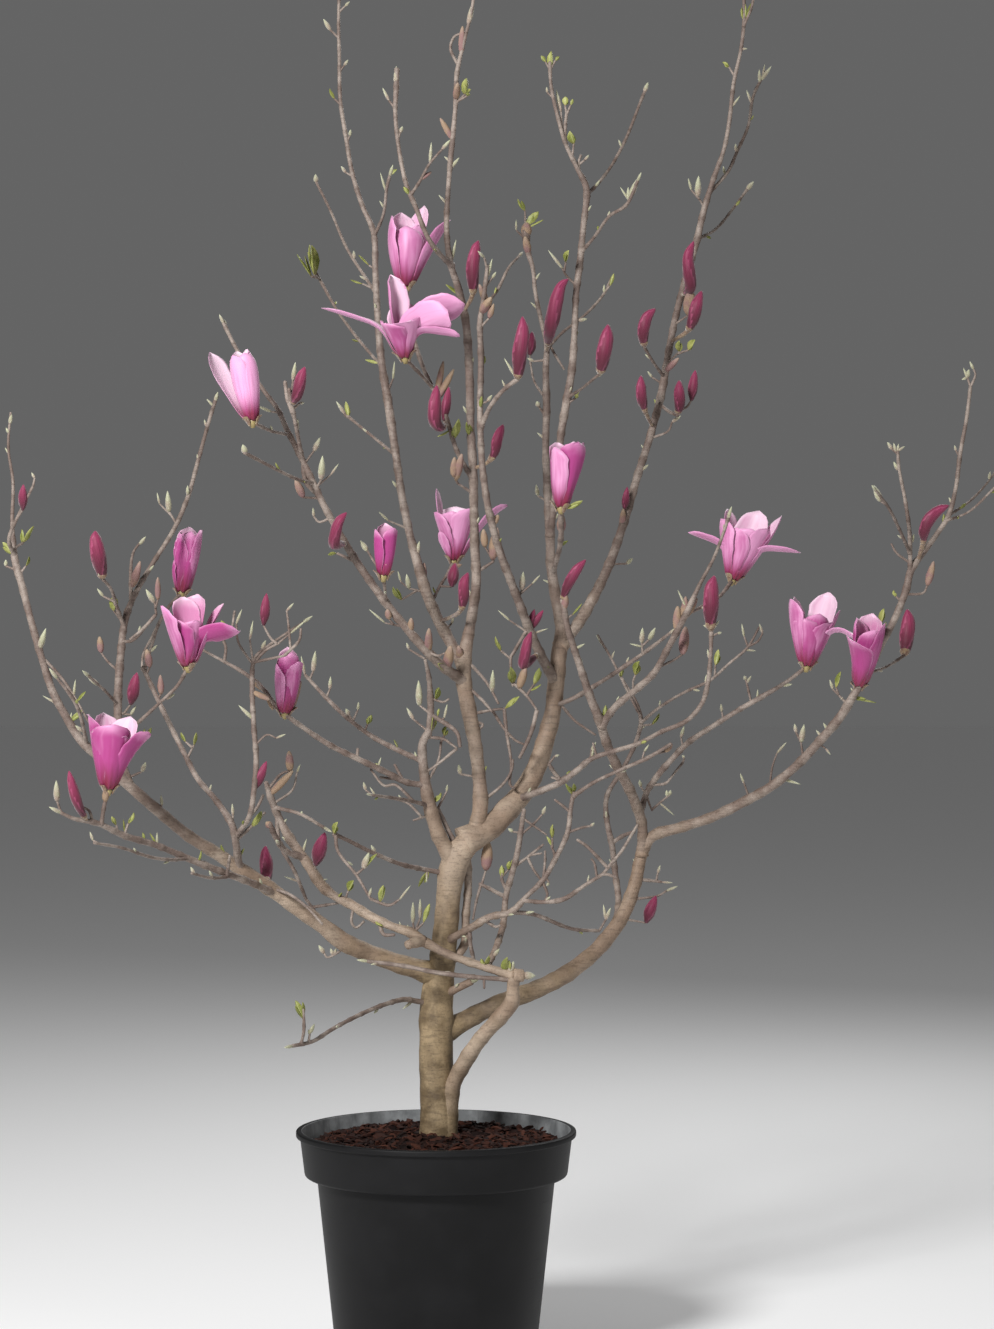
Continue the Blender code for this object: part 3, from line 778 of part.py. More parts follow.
def build_pot():
    """Round nursery pot: rolled lip, plain band, tapering body, ring of drain holes."""
    shelf = POT_SHELF_HEIGHT
    profile = [
        (0.0, 0.0),
        (POT_FOOT_RADIUS - 0.3, 0.0),
        (POT_FOOT_RADIUS, 0.3),
        (POT_NECK_RADIUS, shelf),
        (POT_BAND_FOOT_RADIUS - 0.4, shelf),
        (POT_BAND_FOOT_RADIUS, shelf + 0.4),
        (POT_BAND_TOP_RADIUS, POT_HEIGHT - 0.9),
        (POT_LIP_RADIUS, POT_HEIGHT - 0.7),
        (POT_LIP_RADIUS, POT_HEIGHT - 0.2),
        (POT_LIP_RADIUS - 0.25, POT_HEIGHT),
        (POT_BAND_TOP_RADIUS - POT_WALL, POT_HEIGHT),
        (POT_BAND_FOOT_RADIUS - POT_WALL, shelf + 0.5),
        (POT_NECK_RADIUS - POT_WALL, shelf + 0.3),
        (POT_FOOT_RADIUS - POT_WALL, POT_FLOOR),
        (0.0, POT_FLOOR),
    ]
    pot = new_object("pot", turned(profile, POT_SIDES), PLASTIC, 0.5)
    for hole in range(DRAIN_HOLES):
        turn = math.tau * (hole + 0.5) / DRAIN_HOLES
        bm = bmesh.new()
        bmesh.ops.create_cone(bm, cap_ends=True, segments=8, radius1=DRAIN_RADIUS * CM,
                              radius2=DRAIN_RADIUS * CM, depth=2.0 * CM)
        place = (DRAIN_RING_RADIUS * math.cos(turn) * CM, DRAIN_RING_RADIUS * math.sin(turn) * CM, 0.0)
        bmesh.ops.translate(bm, verts=bm.verts[:], vec=place)
        combine(pot, new_object("cutter", bm, PLASTIC, 0.5), "DIFFERENCE")
    return pot


def build_soil():
    """Bark compost: fills the pot and rises a little toward the trunk."""
    clear = GAP * 1.6
    edge = POT_BAND_FOOT_RADIUS - POT_WALL - clear
    profile = [
        (0.0, POT_FLOOR + GAP),
        (POT_FOOT_RADIUS - POT_WALL - clear, POT_FLOOR + GAP),
        (POT_NECK_RADIUS - POT_WALL - clear, POT_SHELF_HEIGHT + 0.3 + clear),
        (edge, POT_SHELF_HEIGHT + 0.5 + clear),
        (edge, SOIL_EDGE_HEIGHT),
    ]
    for share in (0.75, 0.45, 0.0):
        profile.append((edge * share, SOIL_EDGE_HEIGHT + SOIL_CROWN * (1.0 - share)))
    bm = turned(profile, POT_SIDES)
    for vert in bm.verts:
        x = vert.co.x / CM
        y = vert.co.y / CM
        if vert.co.z / CM > SOIL_EDGE_HEIGHT + 0.1:
            lump = math.sin(x * 1.9 + y * 0.7) + math.sin(y * 2.3 - x * 0.9 + 1.0)
            vert.co.z += SOIL_BUMP * lump * CM
    soil = new_object("soil", bm, COMPOST, 0.95)
    combine(soil, seat_cutter("trunk"), "DIFFERENCE")
    return soil


# ---------------------------------------------------------------- the whole plant
def main():
    for obj in list(bpy.data.objects):
        bpy.data.objects.remove(obj)
    build_pot()
    build_soil()
    wood = build_wood()
    for node in ("trunk", "low_stem", "left_limb", "right_limb"):
        shader = wood[node].data.materials[0].node_tree.nodes["Principled BSDF"]
        shader.inputs["Base Color"].default_value = (*BARK, 1.0)
    for name in FLOWERS:
        build_flower(name)
    build_buds()
    for obj in bpy.data.objects:
        obj.data.shade_smooth()
        obj.data.set_sharp_from_angle(angle=math.radians(40.0))


main()
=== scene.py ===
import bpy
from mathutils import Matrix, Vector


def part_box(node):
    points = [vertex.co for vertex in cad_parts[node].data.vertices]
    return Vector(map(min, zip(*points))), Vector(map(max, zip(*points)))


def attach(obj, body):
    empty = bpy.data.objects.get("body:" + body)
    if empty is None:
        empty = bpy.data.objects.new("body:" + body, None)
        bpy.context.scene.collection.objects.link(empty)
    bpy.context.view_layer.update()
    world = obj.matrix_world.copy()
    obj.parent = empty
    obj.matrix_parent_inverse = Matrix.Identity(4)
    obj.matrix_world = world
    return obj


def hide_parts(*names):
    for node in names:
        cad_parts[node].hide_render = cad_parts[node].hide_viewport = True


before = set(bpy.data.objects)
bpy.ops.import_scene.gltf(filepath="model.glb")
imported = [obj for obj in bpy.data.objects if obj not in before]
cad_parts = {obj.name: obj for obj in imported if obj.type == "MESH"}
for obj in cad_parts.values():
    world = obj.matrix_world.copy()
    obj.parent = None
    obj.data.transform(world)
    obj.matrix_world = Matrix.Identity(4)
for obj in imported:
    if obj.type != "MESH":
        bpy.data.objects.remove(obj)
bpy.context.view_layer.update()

import math
import random

import bmesh
import bpy
from mathutils import Matrix, Vector, noise

bl_info = {
    "name": "Potted Lily Magnolia",
    "version": (1, 0, 0),
    "blender": (4, 5, 0),
    "location": "View3D > Sidebar > Magnolia",
    "description": "Bark, petals, buds, compost and pot for a young lily magnolia in bloom",
    "category": "Add Mesh",
}

CM = 0.01                   # the drawn lists are in centimetres
EYE = (7.6, -384.0, 88.3)   # cm, where the front elevation is seen from
DEPTH = 2.0                 # real depth of the crown, for each cm of back in the lists
ROOT_BODY = "root"

POT_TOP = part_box("pot")[1]
SOIL_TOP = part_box("soil")[1]

# The lists are drawn on the front elevation in centimetres, as the solids are: across and up are
# read on the upright plane through the pot's centre, and back says how far the point really lies
# behind that plane, at the scale that DEPTH gives.

# -------- the wood
# node: {branch: (carrier, then across, up, back and radius of each of its points)}
# A carrier in the same node is grown together with the branch. A branch's root lies on its carrier's centre
# line, whichever node the carrier is in.
WOOD = {
    "trunk": {
        "trunk": ("", .4,23,0,1.6, .3,28,0,2.3, .3,31,0,2.3, .1,34.5,0,2.1, 0,38.5,0,2.05, 0,43,0,2.1,
            .1,47,0,1.95, .7,51,0,1.6, 1.2,55,0,1.5, 1.5,59,0,1.45, 2,62.5,0,1.7, 2.8,65,0,1.75,
            3.4,66.2,0,1),
        "trunk_side": ("trunk", 2,50,-.4,.5, 3.4,53,-.3,.55, 3.7,57,0,.5, 4,61,.2,.5, 3.6,64.6,.2,.7),
        "trunk_stub": ("trunk", .8,46.6,-.8,.5, 2.8,47.9,-1.6,.5, 4.4,48.7,-2,.5),
    },
    "low_twig": {
        "low_twig": ("trunk", -.6,45.8,-.3,.35, -2.4,46.2,-1,.35, -4.2,46.4,-2,.32, -7,45.6,-4,.28,
            -10,44.3,-6,.26, -13,42.7,-8,.24, -15.4,41.2,-9.5,.24, -18,40.6,-11,.24),
        "low_twig_b": ("low_twig", -16.9,40.8,-10.4,.18, -16.5,42.6,-10.8,.16, -16.6,45.2,-11.2,.14),
    },
    "low_stem": {
        "low_stem": ("trunk", 1.3,33.2,-.6,.95, 2.2,36,-1.3,1, 3.7,38.8,-2,.95, 5.6,41.6,-2.8,.9,
            7.8,44,-3.5,.95, 9.4,46,-4,.9, 9.6,48,-4.2,.75, 9.7,49.4,-4.3,.7),
        "low_stem_stub": ("low_stem", 8.9,49.5,-4.3,.6, 10.9,49.4,-4.3,.65),
        "low_cross": ("low_stem", 9.6,49.7,-4.3,.5, 6,50.5,-4.2,.5, 3,51.5,-4,.48, .8,52.4,-3.8,.5,
            -1.4,53.6,-3.6,.6, -3.2,54.8,-3.4,.65, -5.6,55.6,-3.1,.55, -8.2,56.8,-2.7,.6,
            -10.5,58.2,-2.2,.6, -12.6,59.3,-1.8,.55, -14.4,60.8,-1.5,.7, -16.2,63.6,-1.3,.65,
            -18.2,66.4,-1.2,.6, -19.6,69,-1.2,.5, -20.6,71.4,-1.6,.45, -21.3,73.6,-2,.3),
        "low_cross_b": ("low_stem", 9.5,48.9,-4.5,.3, 5,49.2,-4.8,.28, 0,49.8,-4.8,.28, -4,50.6,-4.6,.26,
            -8.6,51.2,-4.6,.22),
        "low_cross_c": ("low_cross", -16.6,64.2,-1.3,.4, -18.8,65,-2.2,.4, -20,66.6,-3,.36,
            -20.8,68.4,-3.6,.3),
        "low_cross_d": ("low_cross", -19.8,70.6,-1.4,.26, -17,69.6,-2.4,.22, -14,67.9,-3.6,.2),
    },
    "left_limb": {
        "left_limb": ("trunk", .4,49.4,.2,1.1, -2.2,50.2,-.2,1.2, -5,51,-.9,1.15, -8.4,52.2,-1.6,1.1,
            -11.4,53.5,-2.4,1.1, -14,55.5,-3,1, -17,57.6,-3.8,.95, -20.4,60,-4.7,.9, -24,62.4,-5.6,.85,
            -27.5,64.7,-6.5,.75, -31,66.9,-7.5,.7, -34.5,69.8,-8.5,.65, -38.2,73,-9.4,.65,
            -41.6,76.2,-9.8,.55, -44.4,78.8,-10,.5, -46.3,81.8,-10,.48, -47.9,84.8,-10,.45,
            -49.3,89,-9.8,.42, -50.7,94,-9.5,.4, -51.8,98.2,-9.2,.45, -52.7,101.6,-9,.45, -53,106,-8.8,.24,
            -52.9,111,-8.6,.2, -53.5,115.4,-8.6,.16, -53.2,119.8,-8.6,.14),
        "left_limb_b": ("left_limb", -52.7,101.8,-9,.24, -53.4,104,-10,.24, -52.2,107,-11,.2,
            -50.4,110.6,-12,.16),
        "left_limb_c": ("left_limb", -43.6,78.2,-10,.24, -44.4,81.6,-11.6,.22, -45.4,84,-12.6,.24,
            -47.4,86.6,-13.4,.16),
    },
    "left_leader": {
        "left_leader": ("left_limb", -38.6,73.3,-9.2,.5, -39.5,77.6,-8.2,.48, -39.8,82,-7.4,.5,
            -39.7,86,-6.6,.48, -39.4,90,-5.8,.45, -38.9,93.8,-5,.42, -37.6,97.2,-4,.35, -35.4,101,-2.8,.3,
            -32.8,105.2,-1.4,.28, -31,109.4,-.2,.28, -29.6,114.4,1,.26, -28.5,118.4,2,.24, -27.4,122,3,.24),
        "left_leader_b": ("left_leader", -39.3,93,-5.2,.26, -40,95.6,-6.2,.24, -40.6,97.6,-7.2,.2,
            -41.7,99,-8,.2),
        "left_leader_c": ("left_leader", -38.3,95.8,-4.6,.24, -38.2,99.4,-3,.22, -37.9,102.2,-2,.16,
            -36.6,104,-1.2,.16),
        "left_leader_d": ("left_leader", -39.8,83.2,-7.2,.2, -41.4,85,-8.6,.18, -43.4,86.8,-10,.18),
        "left_leader_e": ("left_leader", -39.5,91.2,-5.6,.22, -37.8,91.4,-6.6,.2, -36.2,93.2,-7.6,.2,
            -35,94.6,-8.4,.18),
        "flower_e_stalk": ("left_leader", -39.5,79,-8,.24, -37.4,80.9,-9.4,.22, -34.8,83.3,-10.6,.2,
            -32.4,85.6,-11.2,.2, -31,88,-11.6,.24),
    },
    "left_low": {
        "left_low": ("left_limb", -20,59.6,-5,.45, -23.6,61.2,-7.2,.45, -27.4,62.6,-8.8,.42,
            -31.4,64.2,-10.2,.42, -35,65.7,-11.6,.38, -39,66.9,-13.2,.38, -42.2,68.4,-14.4,.34,
            -45.2,69,-15.2,.22, -47,69.8,-15.6,.2),
        "left_low_b": ("left_low", -31,64.1,-10.1,.24, -33.4,63.9,-11.8,.22, -36,64.3,-13.4,.2,
            -39.4,65.4,-15.2,.18, -42.8,66,-16.8,.16),
        "left_low_c": ("left_low", -25.4,61.9,-8,.22, -28,61.6,-9.8,.2, -30.6,62.2,-11.4,.16),
        "flower_f_stalk": ("left_low", -41.9,68.2,-14.3,.24, -41.5,70.6,-14.8,.22, -41,72.6,-15,.26),
    },
    "left_inner": {
        "left_inner": ("left_limb", -24.6,62.8,-6,.45, -25,65.6,-7.4,.45, -25.6,68.4,-7.8,.42,
            -27.6,71.4,-7,.36, -29.8,74,-6.2,.34, -31.6,77.4,-5.4,.32, -33.4,81,-4.6,.32, -35.2,84.8,-4,.3,
            -36.7,88,-3.6,.28),
        "left_inner_b": ("left_inner", -25.2,66.6,-7.6,.3, -23.4,69.2,-9.2,.32, -22.8,72.4,-9.8,.34,
            -22.5,76.4,-9.6,.34, -22.8,80.6,-9.4,.32, -23,85,-9.2,.3, -22.8,88.8,-9,.24, -21,90.6,-8.6,.2,
            -19,92,-8.2,.18, -16.6,93.6,-7.8,.14),
        "flower_d_stalk": ("left_inner", -36.5,87.6,-3.7,.22, -35.6,90.6,-2.8,.2, -34.6,93.6,-1.8,.2,
            -33.2,95.8,-.8,.2, -31.8,97.2,0,.24),
    },
    "left_fork": {
        "left_fork": ("trunk", 2,63.6,-.2,.95, .6,66.4,-.8,.95, -.5,69.4,-1.3,.9, -1.2,72.4,-1.7,.75,
            -1.6,75.6,-2,.6, -1.7,78.4,-2.2,.5, -.8,80.4,-2.6,.45, -.7,83.6,-3,.4, -.9,86.6,-3.6,.3,
            -1.4,89,-4.4,.2),
        "left_fork_b": ("left_fork", -1.5,73.2,-1.8,.36, -3.8,73.6,-2.4,.38, -6.6,75,-3,.38,
            -10,76.6,-3.6,.36, -13.4,78.3,-4.2,.34, -16.6,80.4,-4.8,.32, -19.6,82.7,-5.2,.3,
            -21.6,85.2,-4.6,.28, -23.8,87.1,-4.2,.24, -26.4,88.6,-4,.2, -29,90,-4,.16),
        "left_fork_c": ("left_fork", -1.7,76.2,-2,.34, -4.6,77.5,-1,.32, -8,79.3,.4,.3, -11.2,81.7,1.6,.28,
            -14,84.4,2.6,.26, -16.4,87,3.4,.22),
        "left_fork_d": ("left_fork", -1,70.6,-1.5,.26, -4,71.4,-3.6,.22, -8,72,-6.2,.18),
    },
    "left_thin": {
        "left_thin": ("trunk", 1,62.2,-.4,.34, -1.6,62.7,-1.2,.32, -4.6,63.4,-3,.28, -8,64.8,-4.6,.26,
            -11,66.3,-6,.26, -12.8,67.1,-6.8,.28),
        "left_thin_b": ("left_thin", -12.6,67,-6.7,.24, -12.2,64.8,-7.4,.2, -10,62,-8.2,.18,
            -8.2,59,-9,.16),
    },
    "center_leader": {
        "center_leader": ("trunk", 3,64.6,.4,1.2, 4.8,67.2,.6,1.15, 5.5,70.4,.8,.95, 5.4,74,1,.85,
            4.9,78,1,.85, 4.2,82,1,.95, 3.5,86,1,1, 3.6,89.6,1,.85, 4.4,94,1,.65, 5,98.6,1,.6,
            4.8,103.6,1,.58, 4.7,108.6,.8,.55, 4.6,113,.5,.55, 4.3,118,.2,.5, 4.2,123.4,-.2,.5,
            4,128,-.7,.5, 3.6,131.8,-1.2,.5, 2.7,135.6,-2,.45, 1.7,138.8,-2.8,.4, 1.3,143,-3.2,.34,
            1.5,147.6,-3.4,.3, 1.9,152.6,-3.6,.34, 2.4,157.8,-3.8,.3, 2.6,162.2,-4,.28, 3.6,166.6,-4.2,.22,
            4.5,170.4,-4.4,.2, 4.9,174.2,-4.6,.2),
        "center_b": ("center_leader", 1.9,138.2,-2.7,.34, .2,139.9,-4.4,.32, -1.2,142,-5.2,.3,
            -2.6,145.6,-5.4,.3, -3.7,148.2,-5.4,.28, -4.6,152.4,-5.4,.26, -5.1,157,-5.4,.26,
            -5,160.2,-5.4,.34, -4.9,162.8,-5.4,.3),
        "center_c": ("center_b", -3.2,147,-5.4,.2, -2,148.8,-6,.18, -.9,150.8,-6.6,.16, .8,152.8,-7.4,.14),
        "flower_a_stalk": ("center_leader", 4.4,111.2,.6,.3, 2.6,115,-.2,.3, 1.2,119.4,-.4,.3,
            -.3,122.6,.2,.3, -1.6,125.4,1,.3, -2.8,129,2.2,.28, -3.5,132.6,2.8,.26, -3.8,135.4,3,.3),
        "flower_b_stalk": ("flower_a_stalk", -.4,122.9,.2,.22, -2.2,124.8,-1.4,.22, -3.9,126.6,-3,.26),
    },
    "left_tall": {
        "left_tall": ("center_leader", 3.4,88,1.6,.7, 1.6,91.4,2.6,.72, .2,94,3,.72, -1.2,97.2,3.2,.68,
            -2.4,101.2,3.4,.6, -3.4,105,3.6,.52, -4.3,109.4,3.8,.5, -5.1,115,4.2,.5, -6,121,4.6,.55,
            -6.8,126,5,.48, -7.3,131.6,5.4,.44, -7.6,137.4,5.8,.4, -7.8,142.2,6.2,.38, -9.2,145.6,6.6,.32,
            -10.5,149.8,7,.3, -11.3,154.4,7.4,.28, -12,159,7.8,.26, -12.1,164,8.2,.24, -12.2,169,8.6,.22,
            -12,174.6,9,.2),
        "left_tall_b": ("left_tall", -7.8,141.8,6.2,.24, -6.6,144.6,5.2,.2, -6.2,147.8,4.4,.2,
            -5.8,149.4,4,.2),
        "left_tall_c": ("left_tall", -7.4,134.6,5.6,.24, -8.8,136.6,7.4,.22, -11.2,140.4,9.6,.2,
            -13.2,145,11.6,.18, -15,148.6,13.2,.18),
        "left_tall_d": ("left_tall", -6.9,125.4,5,.22, -8.6,127.6,6.6,.2, -10.4,129.8,8,.2,
            -12.4,132.6,9.6,.18, -14.2,135.8,11.2,.22, -15.2,137.6,12,.2),
        "left_tall_e": ("left_tall", -5,114.4,4.2,.22, -7.2,116.2,6,.2, -9.8,118.3,8,.18,
            -11.4,119.6,9.2,.24),
        "flower_h_stalk": ("left_tall", -.8,95.8,3.2,.22, .3,97.8,4.8,.2, 1.4,99.6,6.2,.2, 2.2,101.2,7,.22),
    },
    "left_slant": {
        "left_slant": ("center_leader", 3.2,86.2,.6,.62, .9,88,-1,.62, -1.4,90.2,-2,.6, -3.6,92.7,-2.6,.56,
            -6.2,95.9,-3,.52, -8.6,99.2,-3.4,.48, -10.6,102.2,-3.8,.46, -12.5,105.4,-4.2,.44,
            -14.3,108.7,-4.6,.42, -15.8,112,-5,.38, -17.3,115,-5,.36, -18.8,118,-5,.36, -19.8,120.2,-4.8,.3,
            -21.6,122.6,-4.4,.26, -23.2,125,-4,.22, -25,127.8,-3.6,.24, -26.6,131,-3.4,.26),
        "left_slant_b": ("left_slant", -15.4,111,-4.9,.26, -17.2,111.4,-6.4,.22, -20,112.7,-8.2,.2,
            -24,114.8,-10.6,.22),
        "left_slant_c": ("left_slant", -16.6,113.8,-5,.26, -17.4,117.4,-6.6,.24, -18,120.6,-7.6,.26,
            -18.4,122.8,-8.2,.2),
        "flower_c_stalk": ("left_slant", -18.4,117,-5.1,.22, -20.6,117.5,-7.2,.2, -23,118.6,-9.2,.26),
        "flower_m_stalk": ("left_slant", -6.4,96,-3.1,.2, -6.4,97.6,-4.4,.2, -6.6,99.3,-5.2,.24),
    },
    "right_leader": {
        "right_leader": ("trunk", 4.6,65.4,.8,1.3, 6.8,68,1.4,1.45, 9,70.2,2,1.45, 11,72.6,2.8,1.35,
            12.6,75.6,3.4,1.2, 13.7,79,4,1.1, 14.6,82.6,4.4,1.05, 15,86.4,4.6,1.05, 15.4,90,4.6,.95,
            15.6,93,4.6,.75, 15,96.4,4.5,.68, 14.4,100.4,4.4,.62, 14.2,105,4.3,.6, 13.9,110,4.2,.5,
            13.7,115.4,4.1,.44, 13.8,120.6,4,.48, 13.7,125,4,.42, 13.8,128.4,4,.36, 13.1,131.4,4,.28,
            12.4,134.8,4,.26, 12.1,137.8,4,.26, 11.4,140.2,4,.4, 11.2,142.6,4,.55),
        "right_leader_b": ("right_leader", 13.8,127.6,4,.2, 15.8,129.8,5,.18, 18.6,132,6.4,.18,
            20.8,134.4,7.6,.18, 21.9,136.6,8.2,.16),
        "flower_i_stalk": ("right_leader", 14.6,99.6,4.2,.3, 15.2,101.8,2.2,.28, 15.6,104.4,.4,.36,
            15.6,107.8,-1,.36),
        "right_leader_c": ("right_leader", 15.2,83,4,.32, 17.4,84.2,3.2,.3, 20.4,86,3.8,.28,
            23.6,88.1,3.6,.28, 26.6,90.2,2.8,.26, 29.2,92.2,1.4,.2),
    },
    "right_twin": {
        "right_twin": ("right_leader", 14.2,104.4,4,.45, 14.7,108,3.2,.45, 15.2,112.6,2.6,.46,
            15.6,117,2.3,.48, 16.3,121.2,2.2,.52, 17,125.4,2.1,.5, 17.3,130,2,.42, 17.5,134.6,2,.42,
            18,138.8,2,.42, 18.4,143,2,.4, 18.8,147.6,2,.42, 17.6,150.4,1.6,.3, 16.2,153.4,1.2,.28,
            15.2,156.8,.9,.26, 14.4,160.4,.6,.22, 14.2,163.6,.4,.26),
        "right_twin_b": ("right_twin", 18.6,147,2,.26, 20.2,148.4,3.2,.22, 22,150.8,4.6,.2, 23.8,154.2,6,.2,
            25.3,158,7.2,.2, 26.4,160.8,8,.22),
        "right_twin_c": ("right_twin", 18.2,139.8,2,.24, 19.8,141.8,.8,.2, 21.6,144.3,-.6,.2,
            23.8,145.8,-2,.22, 25.2,148.8,-3,.2),
        "bud_r_stalk": ("right_twin", 16.4,121.6,2.2,.22, 18.2,122.8,.4,.18, 20.4,124.6,-1.4,.18),
    },
    "mid_riser": {
        "mid_riser": ("right_leader", 15,86,4.2,.62, 13.2,89.2,2.8,.62, 11.8,92.3,1.6,.56, 10.6,95.4,.4,.54,
            9.3,98.8,-.8,.5, 8.1,102,-1.8,.5, 7.1,105.4,-2.6,.5, 6.3,109,-3.2,.44, 5.7,114,-3.4,.4,
            5.5,120,-3.6,.38, 5.6,126.4,-3.8,.38, 5.5,131,-4.4,.36, 6,134.6,-5,.3, 6.4,138.2,-5.4,.22),
        "mid_riser_b": ("mid_riser", 5.5,118,-3.5,.3, 6.8,120.6,-4.2,.28, 8.4,122.6,-5,.26,
            10.2,124,-5.8,.3),
        "mid_riser_c": ("mid_riser", 5.8,132.8,-4.7,.24, 7.6,135,-3.4,.2, 9,137.8,-2.2,.18,
            10.4,139.4,-.6,.16),
    },
    "right_tall": {
        "right_tall": ("right_leader", 15.6,90.4,4.8,.7, 17.6,93.2,5.6,.72, 19.5,96.4,6.2,.68,
            21.2,99.8,6.7,.6, 22.6,103.4,7.2,.56, 24,107.8,7.7,.52, 25.2,112,8.2,.5, 26.8,117,8.7,.48,
            28.2,122.4,9.2,.5, 29.1,127.6,9.6,.46, 30,132,9.9,.44, 31.2,136.6,10.1,.44, 32.5,141,10.3,.46,
            33.4,144.8,10.4,.42, 34.6,148.8,10.5,.34, 36,152.8,10.5,.3, 36.7,156.6,10.5,.28,
            37.2,161,10.5,.26, 38.1,165.2,10.5,.24, 38.5,169,10.5,.24, 38.4,173.4,10.5,.22),
        "right_tall_b": ("right_tall", 34.2,147.2,10.5,.24, 36.4,149.8,11.4,.22, 37.6,152.4,12,.22,
            39,155.6,12.6,.2, 39.6,159.2,13,.2, 40.8,161.8,13.4,.2),
        "right_tall_c": ("right_tall", 32.8,141.4,10.3,.24, 35,142.8,12,.2, 37.2,145.4,13.8,.18,
            39.4,148.4,15.4,.2),
        "right_tall_d": ("right_tall", 38.4,168,10.5,.2, 39.4,170.4,10.1,.18, 39.9,173,9.8,.16),
        "bud_w_stalk": ("right_tall", 27.8,121,9.1,.24, 29,120,7.4,.22, 30.2,119.4,6.2,.22),
        "bud_s_stalk": ("right_tall", 28.6,124.2,9.3,.22, 27.2,126,7.8,.18, 26,128,6.6,.2),
    },
    "right_limb": {
        "right_limb": ("trunk", .6,42,.4,1.2, 3.2,43.6,.9,1.2, 6.4,45.2,1.4,1.15, 9.6,46.6,1.9,1.15,
            13,47.9,2.6,1.1, 16.4,49.7,3.4,1.05, 19.4,52,4.3,1, 21.8,54.6,5,.95, 23.6,57.4,5.5,.9,
            24.9,61,5.9,.8, 25.6,64.2,6.2,.78, 27,66.8,6,.72, 30.4,67.9,5.2,.68, 34.4,69.2,4.2,.64,
            38.2,71,3.2,.62, 41.8,73,2.2,.6, 45.2,75.8,1.2,.56, 48,78.8,.2,.54, 50.4,81.6,-.6,.56,
            52.4,84.8,-1.2,.5, 54.3,88,-1.4,.44, 56,91.4,-1.5,.42, 57.6,94.6,-1.5,.44, 58.8,97.8,-1.5,.46,
            59.4,100.2,-1.5,.46, 61,102.4,-1.3,.34, 62.6,104.6,-1.1,.32, 64.1,107,-1,.32, 65,110.6,-1,.26,
            65.5,114.6,-1,.26, 66.3,119,-1,.24, 66.8,123,-1,.22),
        "right_limb_b": ("right_limb", 59.2,99.6,-1.5,.3, 59.2,104.6,-2.2,.26, 58.6,109,-2.8,.22,
            57.9,112.6,-3.2,.2, 57.7,115,-3.4,.2),
        "right_limb_c": ("right_limb_b", 59.1,102.2,-2,.22, 57.9,105.2,-4,.2, 56.6,107.8,-5.6,.2,
            55,110,-7,.16),
        "right_limb_d": ("right_limb", 64.1,107,-1,.22, 66.8,108.8,1,.16, 69.2,111.4,2.6,.14,
            71.2,114.6,3.8,.12),
        "right_limb_e": ("right_limb", 63.6,106.2,-1,.2, 66.6,107.4,-2.8,.15, 69.2,109.8,-4.4,.14,
            71.6,112.4,-5.8,.12),
        "bud_y_stalk": ("right_limb", 53.9,87.2,-1.2,.22, 56.2,88,.8,.18, 58.5,89.4,2.6,.2),
    },
    "right_cross": {
        "right_cross": ("right_limb", 25.7,64.4,6.2,.6, 25.7,68.4,5.8,.66, 24.4,72.2,4.6,.66,
            22.8,75.2,3.4,.62, 21.4,78.2,2.3,.6, 20.4,81.4,1.4,.6, 19.2,84.4,.7,.5, 18.2,87.4,.2,.46,
            17.2,90.4,-.2,.42, 16.3,93.4,-.6,.38, 15.8,96.4,-.8,.36),
        "right_cross_b": ("right_cross", 20.6,80.6,1.6,.46, 22.4,83,.6,.46, 24.8,85,-.4,.44,
            27.2,87.2,-1.2,.42, 28.9,90.2,-2,.4, 30.4,93,-2.6,.42, 31.6,95.4,-3,.4, 33,98.4,-3.4,.26,
            34.6,101.4,-3.8,.2, 35.8,104.4,-4,.2, 36.5,106.6,-4,.22),
        "flower_j_stalk": ("right_cross_b", 31.2,94.6,-2.9,.24, 33,95.4,-1,.22, 35.4,96.8,1.2,.22,
            37,98.8,3.2,.28),
    },
    "right_low_riser": {
        "right_low_riser": ("right_limb", 22.6,55,5.6,.42, 22.8,58.4,7.2,.42, 22.4,62,8.2,.4,
            22,65.6,8.8,.4, 21.3,69,9.2,.36, 21.4,72,9.4,.32, 23.2,75,9.4,.3, 24.8,78.2,9.2,.3,
            25.6,81.2,9,.3, 24.9,83.8,8.8,.2, 23.4,86.2,8.6,.2, 21.8,89.2,8.4,.16, 20.2,92,8.2,.14),
        "right_low_riser_b": ("right_low_riser", 25.5,81,9,.22, 28,83,8.2,.2, 31,84.8,7.4,.2,
            34.2,86.3,6.8,.2, 36.6,88.4,6.4,.18, 38.9,90.4,6.2,.18, 40.4,93,6.2,.14),
    },
    "right_back": {
        "right_back": ("right_cross", 25.6,69.2,5.8,.4, 26.2,72,7,.4, 27.6,74.3,6.4,.4, 29.6,76.6,5.6,.4,
            31.6,78.6,5,.36, 34.6,80.6,4.2,.32, 37.8,82.6,3.6,.32, 40.6,84.2,3,.34, 43.6,86,2.4,.24,
            46.3,88,2,.28),
    },
    "right_mid": {
        "right_mid": ("right_leader", 10.2,71.2,1.6,.45, 12.8,72.4,.2,.42, 15.4,73.5,-.4,.42,
            17.4,74.9,-.8,.4, 19.4,76.5,-1.2,.34, 22,77.4,-1.8,.3, 25.2,78.4,-2.6,.28, 28.2,79.9,-3.4,.28,
            31.2,81.2,-4.2,.28, 33.2,83.4,-4.8,.3, 34,86.2,-5,.3, 34.3,89.4,-5,.26, 34.4,92.4,-5,.28),
    },
    "inner_riser": {
        "inner_riser": ("low_cross", 6.4,50.5,-4.1,.36, 7.6,53.2,-2.4,.42, 8.4,56,-.6,.42, 8.7,59.2,0,.4,
